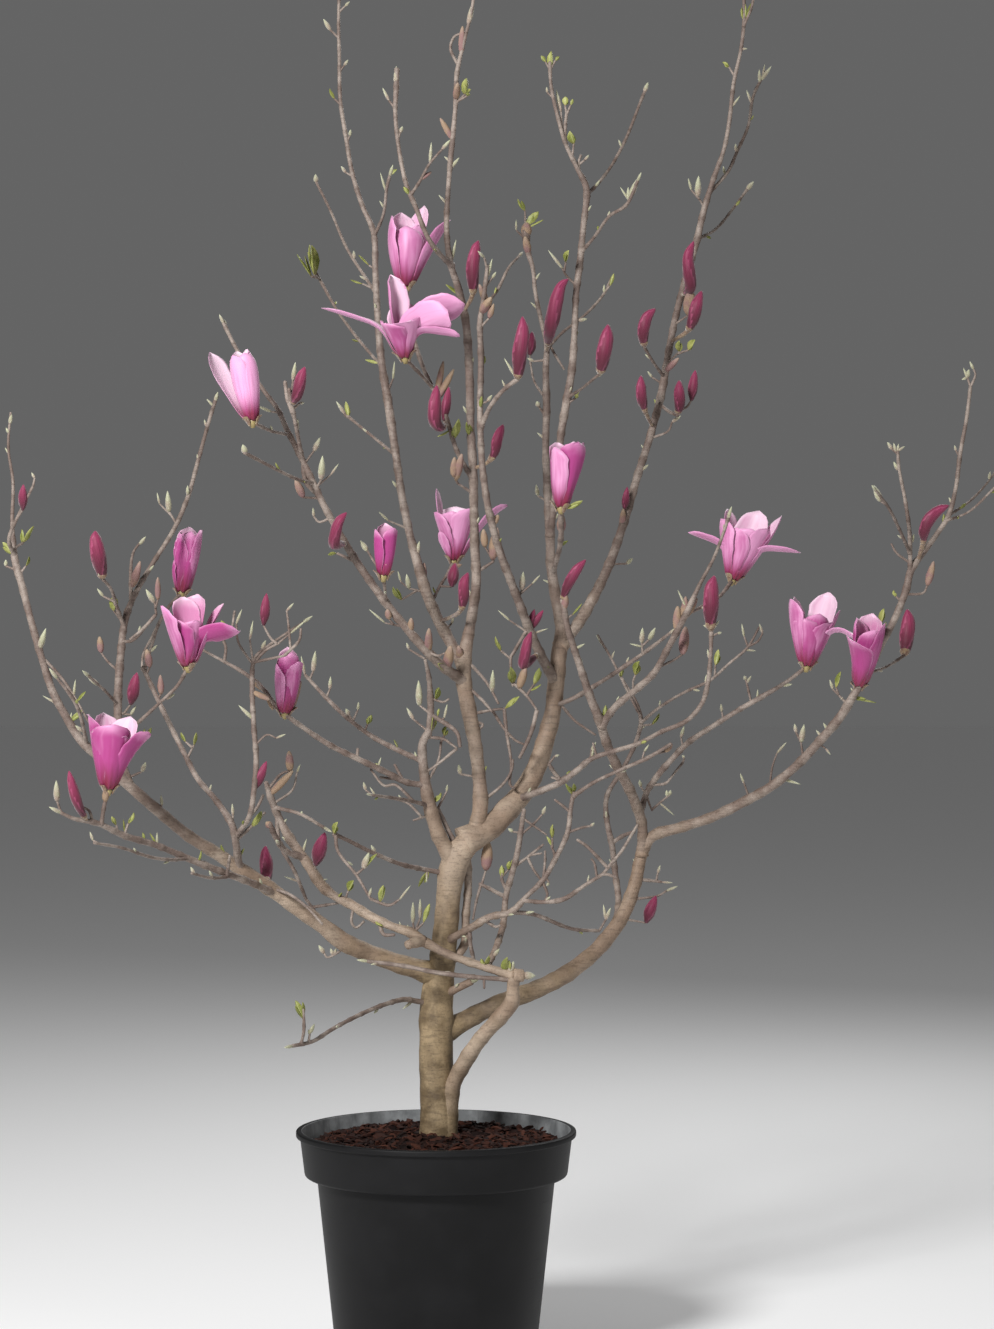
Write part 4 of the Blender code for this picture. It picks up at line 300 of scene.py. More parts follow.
            9.5,62.2,-.2,.38, 10.2,65,-.4,.38, 10.6,67.6,-.4,.32, 11,70.2,-.6,.26),
    },
    "side_spray": {
        "side_spray": ("trunk", 2.2,53.4,-.6,.5, 4.4,55.4,-3,.46, 6.6,56.7,-3.8,.44, 9.4,57.4,-4.2,.42,
            11.4,59.4,-4.4,.3, 13.4,61.4,-4.6,.34, 15,64.2,-4.8,.32, 16.4,67.2,-5,.3, 16.8,70.2,-5,.28,
            17.2,72.4,-5,.28),
        "side_spray_b": ("side_spray", 9.2,57.4,-4.2,.28, 12.4,57,-3.6,.26, 16.8,55.3,-2.6,.24,
            20.4,55,-1.6,.2),
        "side_spray_c": ("side_spray", 10.8,58.8,-4.3,.26, 13.4,58.6,-5.4,.26, 16,59,-6.2,.3,
            18.6,60.7,-7,.24, 21,62.2,-7.6,.2),
        "side_spray_d": ("side_spray", 17.1,71.8,-5,.26, 19.8,73.6,-5.6,.22, 23.2,75.2,-6.2,.22,
            26.4,76.6,-6.8,.24, 29.4,78.4,-7.4,.2),
    },
}

# -------- buds and closed flowers
# name: (carrier, then across, up, back and radius of each point from the seat to the tip)
BUDS = {
    "bud_01": ("left_leader_b", -41.6,98.9,-8,.3, -41.9,100.2,-8.2,.8, -42.3,102.4,-8.4,.95,
        -42.6,104,-8.5,.7, -42.6,105,-8.5,.15),
    "bud_02": ("left_slant_c", -17.8,120.9,-8,.3, -17.5,121.8,-8.6,.7, -17.1,123.2,-8.8,.75,
        -16.8,124.4,-8.9,.55, -16.4,125.5,-9,.1),
    "bud_03": ("left_slant", -12,103,-4.8,.3, -12.7,103.4,-6.6,.65, -12.6,104.8,-7.2,.75,
        -12.1,106.2,-7.4,.6, -11.2,107.3,-7.4,.15),
    "bud_04": ("left_limb", -21,60.9,-5.4,.3, -21.2,62.2,-4.4,.75, -21.3,63.6,-4,.85, -21.4,64.8,-3.9,.5,
        -21.3,65.6,-3.9,.1),
    "bud_05": ("left_low", -43.6,68.7,-14.9,.2, -44.6,70.4,-15.8,.5, -45.2,72,-16,.62, -45.6,73.6,-16.1,.45,
        -45.9,75,-16.1,.1),
    "bud_06": ("center_leader", 3.6,132.4,-1.8,.2, 4.5,134.4,-2.8,.3, 4.6,136,-3,.75, 4.6,138.2,-3.1,.85,
        4.9,140.2,-3.1,.6, 5.3,141.3,-3.1,.1),
    "bud_07": ("flower_a_stalk", 1.4,118.4,-.8,.2, .5,118,-2.2,.5, -.2,118.8,-2.8,.8, -.2,120.6,-3,.85,
        0,122.2,-3,.5, .1,123.2,-3,.1),
    "bud_08": ("mid_riser_b", 10.1,123.9,-5.8,.3, 10.3,125,-6,.75, 10.5,127.4,-6.2,.95, 10.8,129.8,-6.3,.75,
        10.8,131.8,-6.4,.12),
    "bud_09": ("right_leader", 13.8,127.4,3.8,.3, 14.2,129.8,1.8,.6, 14.6,131.6,1.2,.9, 15,133.8,1,.95,
        15.6,135.6,1,.65, 16.5,136.5,1,.15),
    "bud_10": ("bud_r_stalk", 20.3,124.5,-1.4,.25, 20.7,125.6,-1.8,.75, 21,127.4,-2,.98, 21.3,129.2,-2.1,.8,
        21.5,130.8,-2.1,.15),
    "bud_11": ("bud_s_stalk", 26.1,127.8,6.6,.22, 25.9,129,6.2,.7, 26,130.6,6,.82, 26.4,131.8,6,.6,
        27.4,132.8,6,.1),
    "bud_12": ("right_tall", 27,118,8.4,.22, 26.2,119.8,6.8,.3, 25.8,121.2,6.4,.72, 25.6,122.8,6.2,.68,
        25.6,124.4,6.2,.1),
    "bud_13": ("bud_w_stalk", 30.1,119.4,6.2,.25, 30.4,120.6,5.8,.72, 30.4,122.2,5.6,.74,
        30.4,123.8,5.6,.25),
    "bud_14": ("right_tall", 31.4,134.2,9.6,.25, 31.8,135.4,8.2,.7, 31.6,137.4,7.8,.85, 31.5,139.4,7.8,.65,
        32.2,141.2,7.8,.1),
    "bud_15": ("right_tall", 29.4,128.6,9.4,.25, 31.2,129.8,8,.3, 32,131.2,7.4,.75, 32.5,133,7.2,.85,
        33.2,135,7.2,.15),
    "bud_16": ("center_leader", 4.8,112.8,.2,.25, 6.2,113.4,-.6,.22, 7.2,114.6,-1,.45, 7.6,116.2,-1.2,.7,
        8,117.4,-1.2,.55, 8.4,118.3,-1.2,.1),
    "bud_17": ("right_cross", 15.8,96.3,-.8,.36, 16.2,97.6,-1,.5, 16.9,99,-1.1,.7, 17.6,100.2,-1.2,.6,
        18.7,101.4,-1.2,.1),
    "bud_18": ("left_tall", .1,93.6,2.6,.22, 1.8,94.2,1.2,.25, 3,95,-.6,.3, 3.4,96.6,-1,.7,
        3.5,98.4,-1.1,.72, 4,99.8,-1.1,.1),
    "bud_19": ("mid_riser", 12.6,89.6,1.8,.3, 11,88.3,.2,.5, 11.1,89.6,-.4,.75, 11.4,91,-.6,.65,
        11.9,92.4,-.6,.15),
    "bud_20": ("right_mid", 34.4,92.3,-5,.28, 34.3,93.6,-5.1,.75, 34.4,95.8,-5.2,1, 34.4,97.8,-5.2,.85,
        34.8,99.4,-5.2,.15),
    "bud_21": ("right_limb", 60.2,101.4,-1.6,.25, 60.9,103.6,-2.8,.35, 61,104.8,-3.2,.75,
        61.6,106.4,-3.4,.78, 62.8,107.6,-3.4,.5, 64.1,108.2,-3.4,.1),
    "bud_22": ("bud_y_stalk", 58.4,89.3,2.6,.3, 58.7,90.4,2.9,.8, 58.9,92.2,3,.98, 59,93.8,3,.8,
        58.9,95.2,3,.2),
}

# Every open flower: the stalk that carries it, the seat of its heart, a place up its axis,
# paleness, and petals as (side, length, width, lean, curl), then where a petal has them its own
# paleness, its roll in degrees and where its knee begins. Side 0 points right, 90 away, 180 left
# and 270 toward the eye; lean and curl are the angles from the axis at foot and tip.
FLOWERS = {
    "flower_a": ("flower_a_stalk", (-3.8,136.2,3), (-3.5,142.6,3), .35, [
        (190,9.2,4.8,28,-14), (262,7.8,6.2,29,-18), (322,8,4.8,26,-16), (352,9.8,3.4,30,34,-.2),
        (48,10.8,4,16,10,-.2), (122,9.8,4.8,22,-8,-.1)]),
    "flower_b": ("flower_b_stalk", (-4.2,126.6,-3), (-4.4,131,-3.6), .3, [
        (181,12.2,3,26,66,.3,20,.2), (128,10.4,4,8,0), (330,9.2,5.4,14,70,.2,-55,.2),
        (352,10.7,5,18,74,0,-60,.22), (10,9.6,4.8,16,66,.1,-60,.2), (344,8.6,2.8,22,100,0,-20,.2),
        (228,5.6,5.4,31,30,-.2), (296,5.8,5.6,29,36), (85,7,4.2,24,40)]),
    "flower_c": ("flower_c_stalk", (-23.2,119.2,-9.2), (-24,125.2,-9.2), .5, [
        (156,10.4,3.5,31,14,.6), (222,8.6,4.4,18,-8,.2), (290,8.6,4.4,17,-10,.1), (345,8.8,3.8,15,-12,-.2),
        (50,9.2,4,14,-10), (120,9.2,4.2,17,-8)]),
    "flower_d": ("flower_d_stalk", (-31.6,97.2,0), (-30.8,104.8,0), .1, [
        (205,7.6,4.2,18,-8), (285,7.8,4.6,17,-8), (10,8.2,4,17,-5), (100,8.4,4.2,16,-8),
        (186,4.2,2.6,32,-10)]),
    "flower_e": ("flower_e_stalk", (-30.7,88.1,-11.6), (-30.9,91.8,-11.9), .1, [
        (204,8.4,5.2,30,16,.1), (122,8.6,5,16,6,-.35), (70,9,4.8,16,8,-.3), (14,8.8,3.6,28,26,-.1),
        (300,6.2,4.6,20,4), (238,6.4,4.4,26,8), (352,8.4,4.2,16,74,-.25,-40,.22)]),
    "flower_f": ("flower_f_stalk", (-40.9,73,-15), (-40.5,79,-15), -.1, [
        (194,9.6,6,23,10), (276,8.6,6.4,23,12), (352,8.6,4.4,25,44), (122,9.8,5.4,20,14,.35),
        (60,9.6,5.2,20,16,.35), (316,7.2,4.4,21,16)]),
    "flower_g": ("left_fork_b", (-18.9,82.2,-5.6), (-18.6,88.6,-6.4), -.1, [
        (206,6.6,3.8,20,-6,.25), (338,7,3.8,20,-4,.25), (240,7.9,4,15,-12), (300,8.1,4,15,-12),
        (90,8.3,4.4,16,-12)]),
    "flower_h": ("flower_h_stalk", (2.2,101.2,7), (2.3,105.6,7), .3, [
        (172,9.2,1.9,20,4,.3), (210,6.4,4,27,20), (262,6.3,4.8,24,8), (318,6.8,4.4,25,14),
        (0,9.4,2.7,34,58), (90,7.2,5.2,24,10,.4), (228,4.2,1.7,44,20)]),
    "flower_i": ("flower_i_stalk", (15.7,107.9,-1), (16.2,115.4,-1.3), -.1, [
        (222,7.7,4.6,20,0,.45), (308,8.6,5.2,19,6,-.05), (350,8.5,4.2,18,6), (60,8.5,4.2,18,2),
        (130,8.2,4.4,18,-2,-.2)]),
    "flower_j": ("flower_j_stalk", (37.5,98.8,3.2), (38.2,103.4,3.4), .3, [
        (183,8.6,3.2,24,84,0,0,.28), (356,9.8,2.9,22,80,0,0,.3), (16,10.4,4.4,31,10), (70,10.2,4.6,24,8),
        (200,7.6,4.2,32,12), (136,9.4,4.4,26,12), (284,6.8,4.6,24,12,.4), (240,6.6,4.4,28,8),
        (328,7.6,4.6,28,12)]),
    "flower_k": ("right_back", (47,88.2,2), (46.9,93.4,2), .15, [
        (190,8.6,4.6,29,2), (146,8.9,4,26,2), (50,10,4.6,24,6,.2), (8,8,4,30,14), (244,6.2,5.2,30,6),
        (290,6.9,4.4,25,2,-.2), (332,6.2,4.8,30,12), (353,9.6,3.2,24,116,.5,0,.38)]),
    "flower_l": ("right_limb", (53,85.4,-2.2), (53.9,91.8,-3.2), -.1, [
        (228,7.4,5.4,20,38), (296,8,4.6,17,-2), (352,8.8,4.4,20,-4), (76,9.2,4.8,18,0), (150,8.6,4,16,2)]),
    "flower_m": ("flower_m_stalk", (-6.6,99.4,-5.2), (-6.5,104.8,-5.4), -.2, [
        (208,5.9,3.4,18,-4), (334,6.1,3.4,18,-4), (90,6.6,3.6,15,-8), (270,5,3,13,-8)]),
}

# Small growth on the branches, by kind, as (width, back, then across and up of each point). The
# first is set on the nearest branch, and back is how much further away the tip is than the foot.
# A shoot is all twig. The other kinds end in a body between their last two places: a bud is a
# downy leaf bud, a leaf is folded and new, a husk is an old split scale, a rose is a flower bud.
GROWTH = {
    "shoot": (
    (.5,0,-18.2,119.2,-18.6,121.6,-18.9,123.7),(.35,-.5,14.2,128.2,15,126.8,16,125.2),
    (.3,.5,13.2,121.4,12.3,123.6,11.8,125.8),(.35,0,2.4,163.2,1.8,165.2,2.2,166.7,3.1,167.2),
    (.5,0,15.6,153.6,16.1,155.2,16.3,157.2),(.4,0,17.6,149.6,17.8,151,18.1,152),
    (.4,0,-35,94.4,-36.6,92.8,-38.3,91.4),(.35,-.5,-34.9,93.8,-35.6,91.6,-36.6,89.6,-36.8,87.6),
    (.35,0,-26.4,88.8,-26.3,90.4,-26.6,91.6,-25.6,92.8,-25.2,95),(.35,0,-22.6,88.4,-21.4,90,-19.6,91),
    (.35,0,-22.4,88.4,-20.8,89,-19,89.4),(.35,0,-48.6,89.6,-47,86.8,-45.4,84.5,-43.4,81),
    (.35,0,-42.9,68.8,-43.4,70,-44.6,70.6),(.4,-1,-26.2,61.8,-25.8,64.4),
    (.4,-.5,-25,67.6,-23.6,69,-22.4,70.4,-21.6,72),(.4,-.5,-25,66.2,-23.4,67.8,-21.4,69.8),
    (.35,0,-20.8,72.8,-19.4,74.6,-18.2,75),(.3,0,-19.6,71.2,-18,72.6,-17.4,74.8),
    (.5,.5,-20.6,69.4,-19.6,66,-17.8,62.6,-16.2,58.8),(.4,-.5,-16.4,58.8,-15,57.2,-14.2,55.6),
    (.35,-1,-20.6,61,-18.4,59.6,-16.2,58,-14.2,55.8),(.35,-.5,-15.2,58.2,-12,58.5),
    (.6,.5,-16.8,113.4,-16.3,111.2,-15.2,109.8),(.4,0,-10.6,100.5,-12.4,102.2),(.35,-.5,4,109.6,2.6,111),
    (.3,-1,-.8,90.2,.2,89.4,1,89.7),(.35,0,-18.2,90.4,-17.2,91.2,-16.9,92.8),(.5,-.5,15.2,100.6,15.4,103.2),
    (.4,0,5.8,99.8,7.2,101.2),(.4,0,10.6,92.6,9.8,90,9.3,88.8,9.6,85.6),(.3,0,9.3,89,8.1,90),
    (.4,-.5,4.8,89,6.2,86.2,7.8,83.4),(.4,-.5,10.8,86.2,11.3,84.4,12.6,82.6),(.4,-.5,4.2,86,5.6,84,7,82.4),
    (.35,0,22.8,86.4,24.2,84.4,25,82.8,25.6,81.8),(.3,-.5,24.9,84.6,24.6,86.2),(.4,0,-9.9,76.6,-9.8,77.8),
    (.4,0,-3.8,74.4,-4.8,75,-5.2,75.8),(.35,0,-2.6,71.8,-5,73.2,-6.6,73.2,-8.2,75.2),
    (.4,0,-2.4,72.6,-4,73.8,-7,74.2),(.3,0,-2.2,69.2,-2.9,68.8),(.35,0,-.8,79,.8,79,1.8,78.4,2.6,77.8),
    (.35,0,2.6,77.6,.4,76,-1,75),(.35,0,-.8,73.4,-.2,75.2,.4,76.8,.6,78.6),(.5,-.5,1.6,82,2.4,80,3,78),
    (.3,0,-.2,84.2,.8,83.6,1.6,84),(.6,-.5,2.4,65.2,1.5,67.6,.2,70.3),
    (.35,0,15.7,82.9,17.2,81.4,18.4,80.5,19.9,79.5),(.3,0,19.9,77.2,19.6,78.5),
    (.35,0,5.2,81.4,5.8,80.8,5.4,80.2),(.35,0,5,82.2,7,82.6,8.6,82.8),
    (.35,0,7,82.6,8.4,80.4,9.8,78.9,11,78.3),(.4,0,8.6,82,8.8,79.8,9.2,77.4,9.4,75.6,9.2,73.4,9.8,72.8),
    (.35,0,6.6,71,8.2,73.2,9.4,75,9.6,76.4),(.5,0,12.8,82.2,12,80.2,11.2,78.2,10.4,76.6),
    (.3,0,13.3,68.7,13.8,67),(.4,0,10.4,62.8,11.4,64.2),(.35,0,11.4,64.2,12.4,65,13.4,65.8),
    (.3,0,11.6,64.6,13.2,64.7),(.35,0,11.4,64.2,12.2,62.6,13,61.5),(.35,0,13.4,61.4,13.6,63.6,13.6,65),
    (.35,0,14.2,63.2,14.8,64.4,14.4,65.6),(.4,0,8.4,60,8.2,61.4,8.3,62.2),(.5,0,8.6,59.2,7.2,60,5.4,60.9),
    (.35,0,5.4,60.4,5,58.6,4.6,56.4),(.35,0,13.7,60.8,13.9,59.6,13.6,58.8),(.3,0,20,61.8,19.8,63.4,19.4,64),
    (.4,0,20.8,62.2,21.6,62,22.6,61.6),(.4,0,20.8,62.3,21.8,63.3,23.2,65,24.3,66.8,25.2,68.3),
    (.5,0,22.2,66,23.4,66.9,24.8,67.4),(.4,0,21.4,62.9,20.2,64.2,18.8,65.6,17.6,66.4),
    (.35,0,16.4,69.9,15.6,70.8,14.8,71.4),(.35,0,15.2,74.6,14.4,74.2),(.5,-.5,15.5,73.9,14.6,75,14.1,75.9),
    (.35,0,27,73.2,28.6,73.4,29.4,74.2,29.9,74.9),(.3,0,26.1,72.2,26.6,71,27,70),
    (.4,0,25.7,61.3,27.6,61.2,28.2,61.1),(.3,0,58.2,101,57.6,102.2,56.9,103.4),
    (.35,-.5,-8,58,-6,58.2,-4.6,58.9),(.35,0,-10.6,57.6,-10.6,56.2,-10,55.4,-9,56.2),
    (.45,-.5,-7.6,55.4,-6.6,54.6,-5.2,54.5),(1.3,-1,-1.6,53.8,-2.6,53.6,-3.6,53.2),(.35,0,6,49.4,6,47.8),
    (.5,0,4.4,54.8,4.3,53.2,4.7,51.4),(.4,0,6.4,55.7,7.4,55.5,8,55.7),
    ),
    "bud": (
    (.35,0,-9.3,135.9,-9.6,136.9),(.35,0,-5.6,122.2,-5.4,124,-5.2,126.2),(.3,0,-6.6,145.4,-7.1,146.3),
    (.35,0,1.4,145.8,.3,147),(.5,0,2.2,138.6,2.5,141.4),(.45,0,-2.6,135.2,-2.2,137.4),
    (.5,0,-11.2,119.8,-12.5,121.2),(.6,0,-18.3,121.6,-17.9,123.8,-17.6,126.1),
    (.4,0,-17.8,120.2,-17,121,-16.5,121),(.4,0,-19.4,119.9,-20.6,119.9,-22.6,120.7),
    (.4,0,-17.2,117.3,-17.3,119.1),(.7,0,-16,113.6,-15.3,115,-14.5,116.7),
    (.9,-1,-14.5,110.4,-14.4,111.4,-14.2,114.4),(.3,0,-14,110.4,-13.2,112,-12.2,113.4),
    (.8,0,-23.9,114.6,-24.2,115.8),(.35,0,-27.9,120.6,-28.7,121.5),(.4,-1,6.1,137.8,6,139.2,5.2,140),
    (.5,-.5,5.9,133.8,6.4,136.8,7,139),(.4,0,6.3,135.6,7,136.6,7.5,137.4),
    (.3,0,10.4,141.2,10,142.6,10,143.9),(.35,0,12.4,136.2,13,137.3),(.35,0,12.6,132.6,11.8,133.6),
    (.4,-1,17.2,135.6,16.3,136.9,15.8,137.8,14,140.1),(.4,0,12.8,126.4,12.2,126.2,11.4,126.6),
    (.4,0,9.4,124.9,8.5,126.6),(.3,0,8.6,123,8.2,123.9),(.5,0,5.8,120.8,6.4,121.2,7,122),
    (.4,0,21,134.8,21,135.8),(.5,0,17.9,131.1,18.9,131.5),(.7,-.5,13.2,119.2,12.8,120.6,12.6,121.2),
    (.35,0,13.4,116.4,12.6,117.3),(.35,0,28,123.4,27,124.2,26.4,125),
    (.5,-.5,27.6,116.2,28.9,117.4,29.5,118.6,30.6,119.4),(.3,0,26.2,115,25.6,115.8),
    (.9,0,55.9,108.1,55.6,108.7,54.7,110.7),(.6,0,-12.4,166.6,-13.2,167.6,-14.1,169),
    (.4,0,-11.9,169.8,-11.4,170.6,-10.8,171.2),(.45,0,-12,162.4,-11.5,163.2,-11,163.9),
    (.45,0,-11.1,153.6,-10.8,154.4,-10.7,155.2),(.45,0,-10.7,149.2,-11.3,149.8,-11.9,150.6),
    (.7,0,-15.1,148.6,-15.1,149.6),(.7,0,-5,160.6,-5,163.1),(.4,0,-5.4,157.8,-5.9,158.8,-6.7,160.4),
    (.5,0,-4.8,154,-4.5,154.8,-4.2,155.6),(.35,0,-6.4,147.4,-7,149.8),(.45,0,-.8,151,-.6,153.6),
    (.5,0,2,150.2,2.9,151.7),(.35,0,1.5,151.2,1,151.8),(.7,0,4.4,168.2,4.7,171.3),
    (.35,0,14.3,159,13.9,159.8,13.8,160.5),(.5,0,15.4,155,15.6,157.4,15,160.2),
    (.4,0,18.1,150.8,18.6,151.4,19.1,152),(.6,0,26.2,159.8,26.5,161.1),(.35,0,23.2,153,22.8,153.9),
    (.8,0,24.4,146.6,25.3,149.2),(.5,0,23.8,146.4,24,148),(.3,0,23.6,146.6,23,148),(.4,0,21.8,144,21.7,145),
    (.9,-.5,32.9,145.6,32.7,146.8,32.8,149.4),(.35,-.5,32.6,146.2,31.9,147.6,31.5,149.1),
    (.6,0,40.9,161.2,41.9,163.1),(.5,0,40.5,161,40.4,162.7),(.3,0,40.5,162.6,41.1,163.4),
    (.4,0,39.3,158.4,38.8,160.1),(.35,0,37.5,157.8,38,159.4),(.35,0,38.4,165.2,38.9,165.3),
    (.5,0,37.4,152.4,37.4,153.4),(.7,0,38.9,147.6,39.7,148.7),(.5,0,-53.3,118.4,-53.1,119.7),
    (.4,0,-53.3,117.2,-53.8,117.9),(.3,0,-53.5,114.6,-53.9,115.4),
    (.35,0,-50.5,110.8,-50.2,111.6,-50.6,112.3),(.5,0,-53.2,99.8,-53.8,100.6,-53.8,101.4),
    (.8,-.5,-48.8,90.4,-48.8,92.8),(.4,0,-40.6,96,-41.6,96.8,-42.4,97.8),(.5,0,-37.2,103.4,-36.3,104.3),
    (.8,0,-32.7,106,-33.4,107.4,-33.6,110),(.3,0,-33.2,106.8,-34.6,108.4,-34.9,109.8),
    (.3,0,-29.6,113.8,-29.9,114.6),(.5,0,-27.8,121.2,-27.3,122.4),(.7,-.5,-34.8,95.2,-35.2,96,-36.3,97.7),
    (.35,0,-23.2,88.2,-24.7,91,-25,93.4,-24.3,95.2),(.35,0,-22.9,88.2,-23.3,91.4,-22.9,93.8),
    (.35,0,-44.9,84.6,-45.1,86.4),(.4,0,-45.6,81,-45.6,82.3),(.6,0,-42.4,85.5,-43.7,86.9),
    (.3,0,-47.4,83,-49.2,84.4),(.4,0,-39,82.2,-38.2,82,-37.5,83.2),(.6,0,-38,74.2,-36.8,74.9,-36.3,76.1),
    (.35,0,-28.8,72,-28.1,73.3),(.4,0,-25.2,68.2,-25.4,69.4,-25.5,70.9),(.4,0,-35,70,-34.3,70.7,-34.4,72),
    (.8,0,-42.8,68.6,-45.4,69,-46.8,69.8,-47.4,71.2,-47.5,73.8),(.35,0,-34.6,66.4,-34.9,67.3),
    (.35,0,-42.2,65.8,-42.9,66.3,-43.3,67.4),(.45,0,-30.2,62.2,-30.7,63),(.5,0,-23.5,81.4,-24.7,83.2),
    (.3,0,-22.4,78.2,-21.2,79.5,-20,79.1,-18.8,79.6),(.3,0,-17.6,75.2,-17,75.8),(.35,0,-16.9,69.4,-16.8,70),
    (.35,0,-19.4,68.2,-18.7,69),(.4,0,-16.5,64.6,-16.2,66.5),(.3,0,-17.6,61,-19,61.8),
    (.4,0,-13.8,106.3,-14.6,106.1,-15.3,106.8,-15.4,107.9),
    (.7,.5,-6.7,99.3,-7.8,101.2,-8.6,102.5,-9.5,103.8),(.35,0,-4.5,105,-6,106.3,-7.2,107.4),
    (.7,0,-2.7,101,-2.5,101.8,-2.1,103.7),(.7,-.5,-2.9,96.8,-3.4,97.8,-3.7,99.6),
    (.3,0,-3.6,97.6,-4.4,98.6,-4.8,100),(.3,-.5,-4.6,92.3,-6.4,93.5,-8.4,95.2),
    (.4,-.5,-2,89.2,-3.4,90.2,-3.7,91),(.35,0,1.2,92.6,1.9,93.4,2.2,94.2),
    (.35,0,-18.6,90.6,-18.5,93.6,-18.7,95,-17.8,96),(.3,0,-20,91,-18.2,92.2,-16.2,93.9),
    (.7,0,-15.6,86.6,-15.4,87.4,-15.1,90),(.4,-.5,-16.4,87.6,-16.9,89.4),
    (.6,0,13.5,108.6,12.7,109.4,12.5,110.8),(.6,0,23,100.3,23.8,100.9,24.6,101.6),
    (.35,0,13.9,98.2,13.3,98.9),(.4,0,9,98.4,9.5,98.8),(.8,0,10.4,96.4,10.7,97.6,10.9,99.9),
    (.3,0,10.9,97,12,98.4,13,99.5),(.3,0,10.6,92.8,9.2,93.8,7.7,95.1),(.3,0,13,92.6,14,92.8),
    (.7,-.5,7.6,85.2,7.1,87.6),(.3,0,22.8,86.6,22,88.8,20.9,90.6,20,92),(.3,0,21.9,89,22.3,90),
    (.7,0,25.7,89.8,25.7,91,25.8,92.9),(.7,0,26,90.6,26.6,91.4,27.4,92.9),(.3,0,25.6,90.5,24.2,90.9),
    (.4,0,17.9,90.4,18.6,90.9),(.35,0,30.4,95.6,30.2,97.6),(.5,0,-13.6,84.3,-13.3,85.2,-13.2,86.8),
    (.4,0,-10.2,81.5,-9.8,82.6,-9.7,83.6),(.6,0,-10.4,81.2,-10.9,82,-11.3,82.8),(.3,0,-7.2,75.6,-6.9,76.7),
    (.45,0,-1.9,69.6,-3.6,71,-5.8,71.6,-7.8,71.9,-8.8,72.6,-9.1,73.6),(.3,0,-7.6,71.8,-8.3,73),
    (.3,0,-4.4,71.4,-4.7,72),(.9,0,-2,82.2,-2.1,83.2,-2.2,86.3),(.5,0,-1.6,80.2,-2.8,81.4,-3.7,82.9),
    (.35,0,.2,80.8,1,81.6,1.4,83.4),(.35,0,.4,71.6,1.3,72.4,1.4,73.3),(.6,0,3.2,73.9,3,74.6,2.8,75.8),
    (.35,0,-2.5,76.3,-2.7,77.4),(.9,0,-9.8,62.2,-9.1,62.8,-8.4,64.8),(.4,0,-7.9,59.6,-8.1,60.4),
    (.3,0,-4.2,60,-3.2,60.7),(.3,0,-1.6,60.2,-1.2,61),(.3,0,-14.6,61.2,-13.6,61.5),
    (.35,0,19.2,77,19.8,78.5),(.35,0,25.7,79.9,26.4,80.9),(.5,0,19.6,82.2,20.2,83),
    (.5,0,10.3,67.3,9.6,67.4,9,67.8),(.5,0,10.8,66.9,12.2,68.4,13.3,69.6,13.7,70.6),
    (.4,0,14.8,61.2,14.1,61,13.8,60.6),(.3,0,19,60.8,19.1,62),
    (.4,0,16.9,67.2,18.2,67.9,19.3,68.1,19.8,68.5),(.35,0,14.2,76.2,14.8,76.8,15.4,77),
    (.4,0,18.9,76.9,19.4,77.6,20,78.6),(.3,0,25.5,76.8,26,77.4,26.6,78.3),(.5,0,30.7,78,30.6,79.2,31,80.6),
    (.4,0,29.9,75.6,30.8,76,31,76.6,30.8,77),(.5,0,25.7,72.4,25.6,73,25.4,73.9),
    (.5,0,29.1,71,28.9,71.8,28.8,72.6),(.5,0,29.1,71.2,29.2,72,29.3,72.6),(.3,0,28.8,70,29.8,69.4),
    (.5,0,20.4,55.3,21.2,56.4,21.8,57.9),(.4,0,21,56.8,20.9,58.3),(.3,0,24.6,63,24.6,64),
    (.4,0,27.5,61.2,27.7,62.2,28,63.2),(.3,0,29.4,60.5,29.6,61),
    (.4,0,25.6,58.4,27.4,59.3,28.8,60,30.2,60.6),(.35,0,34.6,92.4,34,93,33.4,93.2),
    (.4,0,34.8,92.8,35.4,93.8),(.35,0,34.8,91.8,35.2,92.2,35.7,92.3),(.4,0,34.4,87.6,34.2,89,33.9,90.2),
    (.35,0,39,90.5,38.5,91.8,38.2,93.4),(.4,0,39.2,90.4,40.2,91.2,40.8,92.2,40.4,93.4),
    (.3,0,38.9,89.8,40,90),(.5,0,39,84.2,38.9,85.6,38.7,86.4,38.5,86.9),(.4,0,38.9,86,39.4,86.9),
    (.3,0,40,84.2,40.2,85.2),(.4,0,35.8,81.6,35.7,82.4,35.6,83.4),
    (.35,0,41.4,73.4,42,75.4,42.6,77.2,43.8,78.6),(.8,0,45.6,76.8,45.6,78.6,46,80.8),
    (.5,0,45.6,78.8,45,79.8,44.8,80.9),(.4,0,48.8,80.2,48.4,81),(.4,0,48.2,79.2,47.5,80.1),
    (.3,0,48,78.2,48.7,77.8,49.3,77),(.4,0,43.8,73.2,45.6,73.3),(.35,0,38.9,72,38.5,73.4,38,74.7),
    (.4,0,50,84.2,49.6,85.2,49.2,86.4),(.4,0,50.2,83.4,50.6,84.2),(.3,0,52.2,84.8,51.8,85.4),
    (.35,0,65.4,114.2,65,115,64.8,115.7),(.4,0,66.8,123.4,67.4,124.4,67.2,125.2,66.7,126.2),
    (.6,0,66.8,123,66.4,124.2,66.6,125.2),(.35,0,66.5,124,65.9,125.4),(.35,0,66.4,124.3,65.7,123.9),
    (.5,0,57.6,114.6,57,115.2,56.4,116.1),(.4,0,57.6,114.6,57.8,115.9),(.35,0,57.8,115,58.6,115.6),
    (.4,0,57.4,114.8,57.2,116),(.35,0,64.6,108.4,64.1,109.2),(.3,0,-7,57.9,-5.8,58.1),
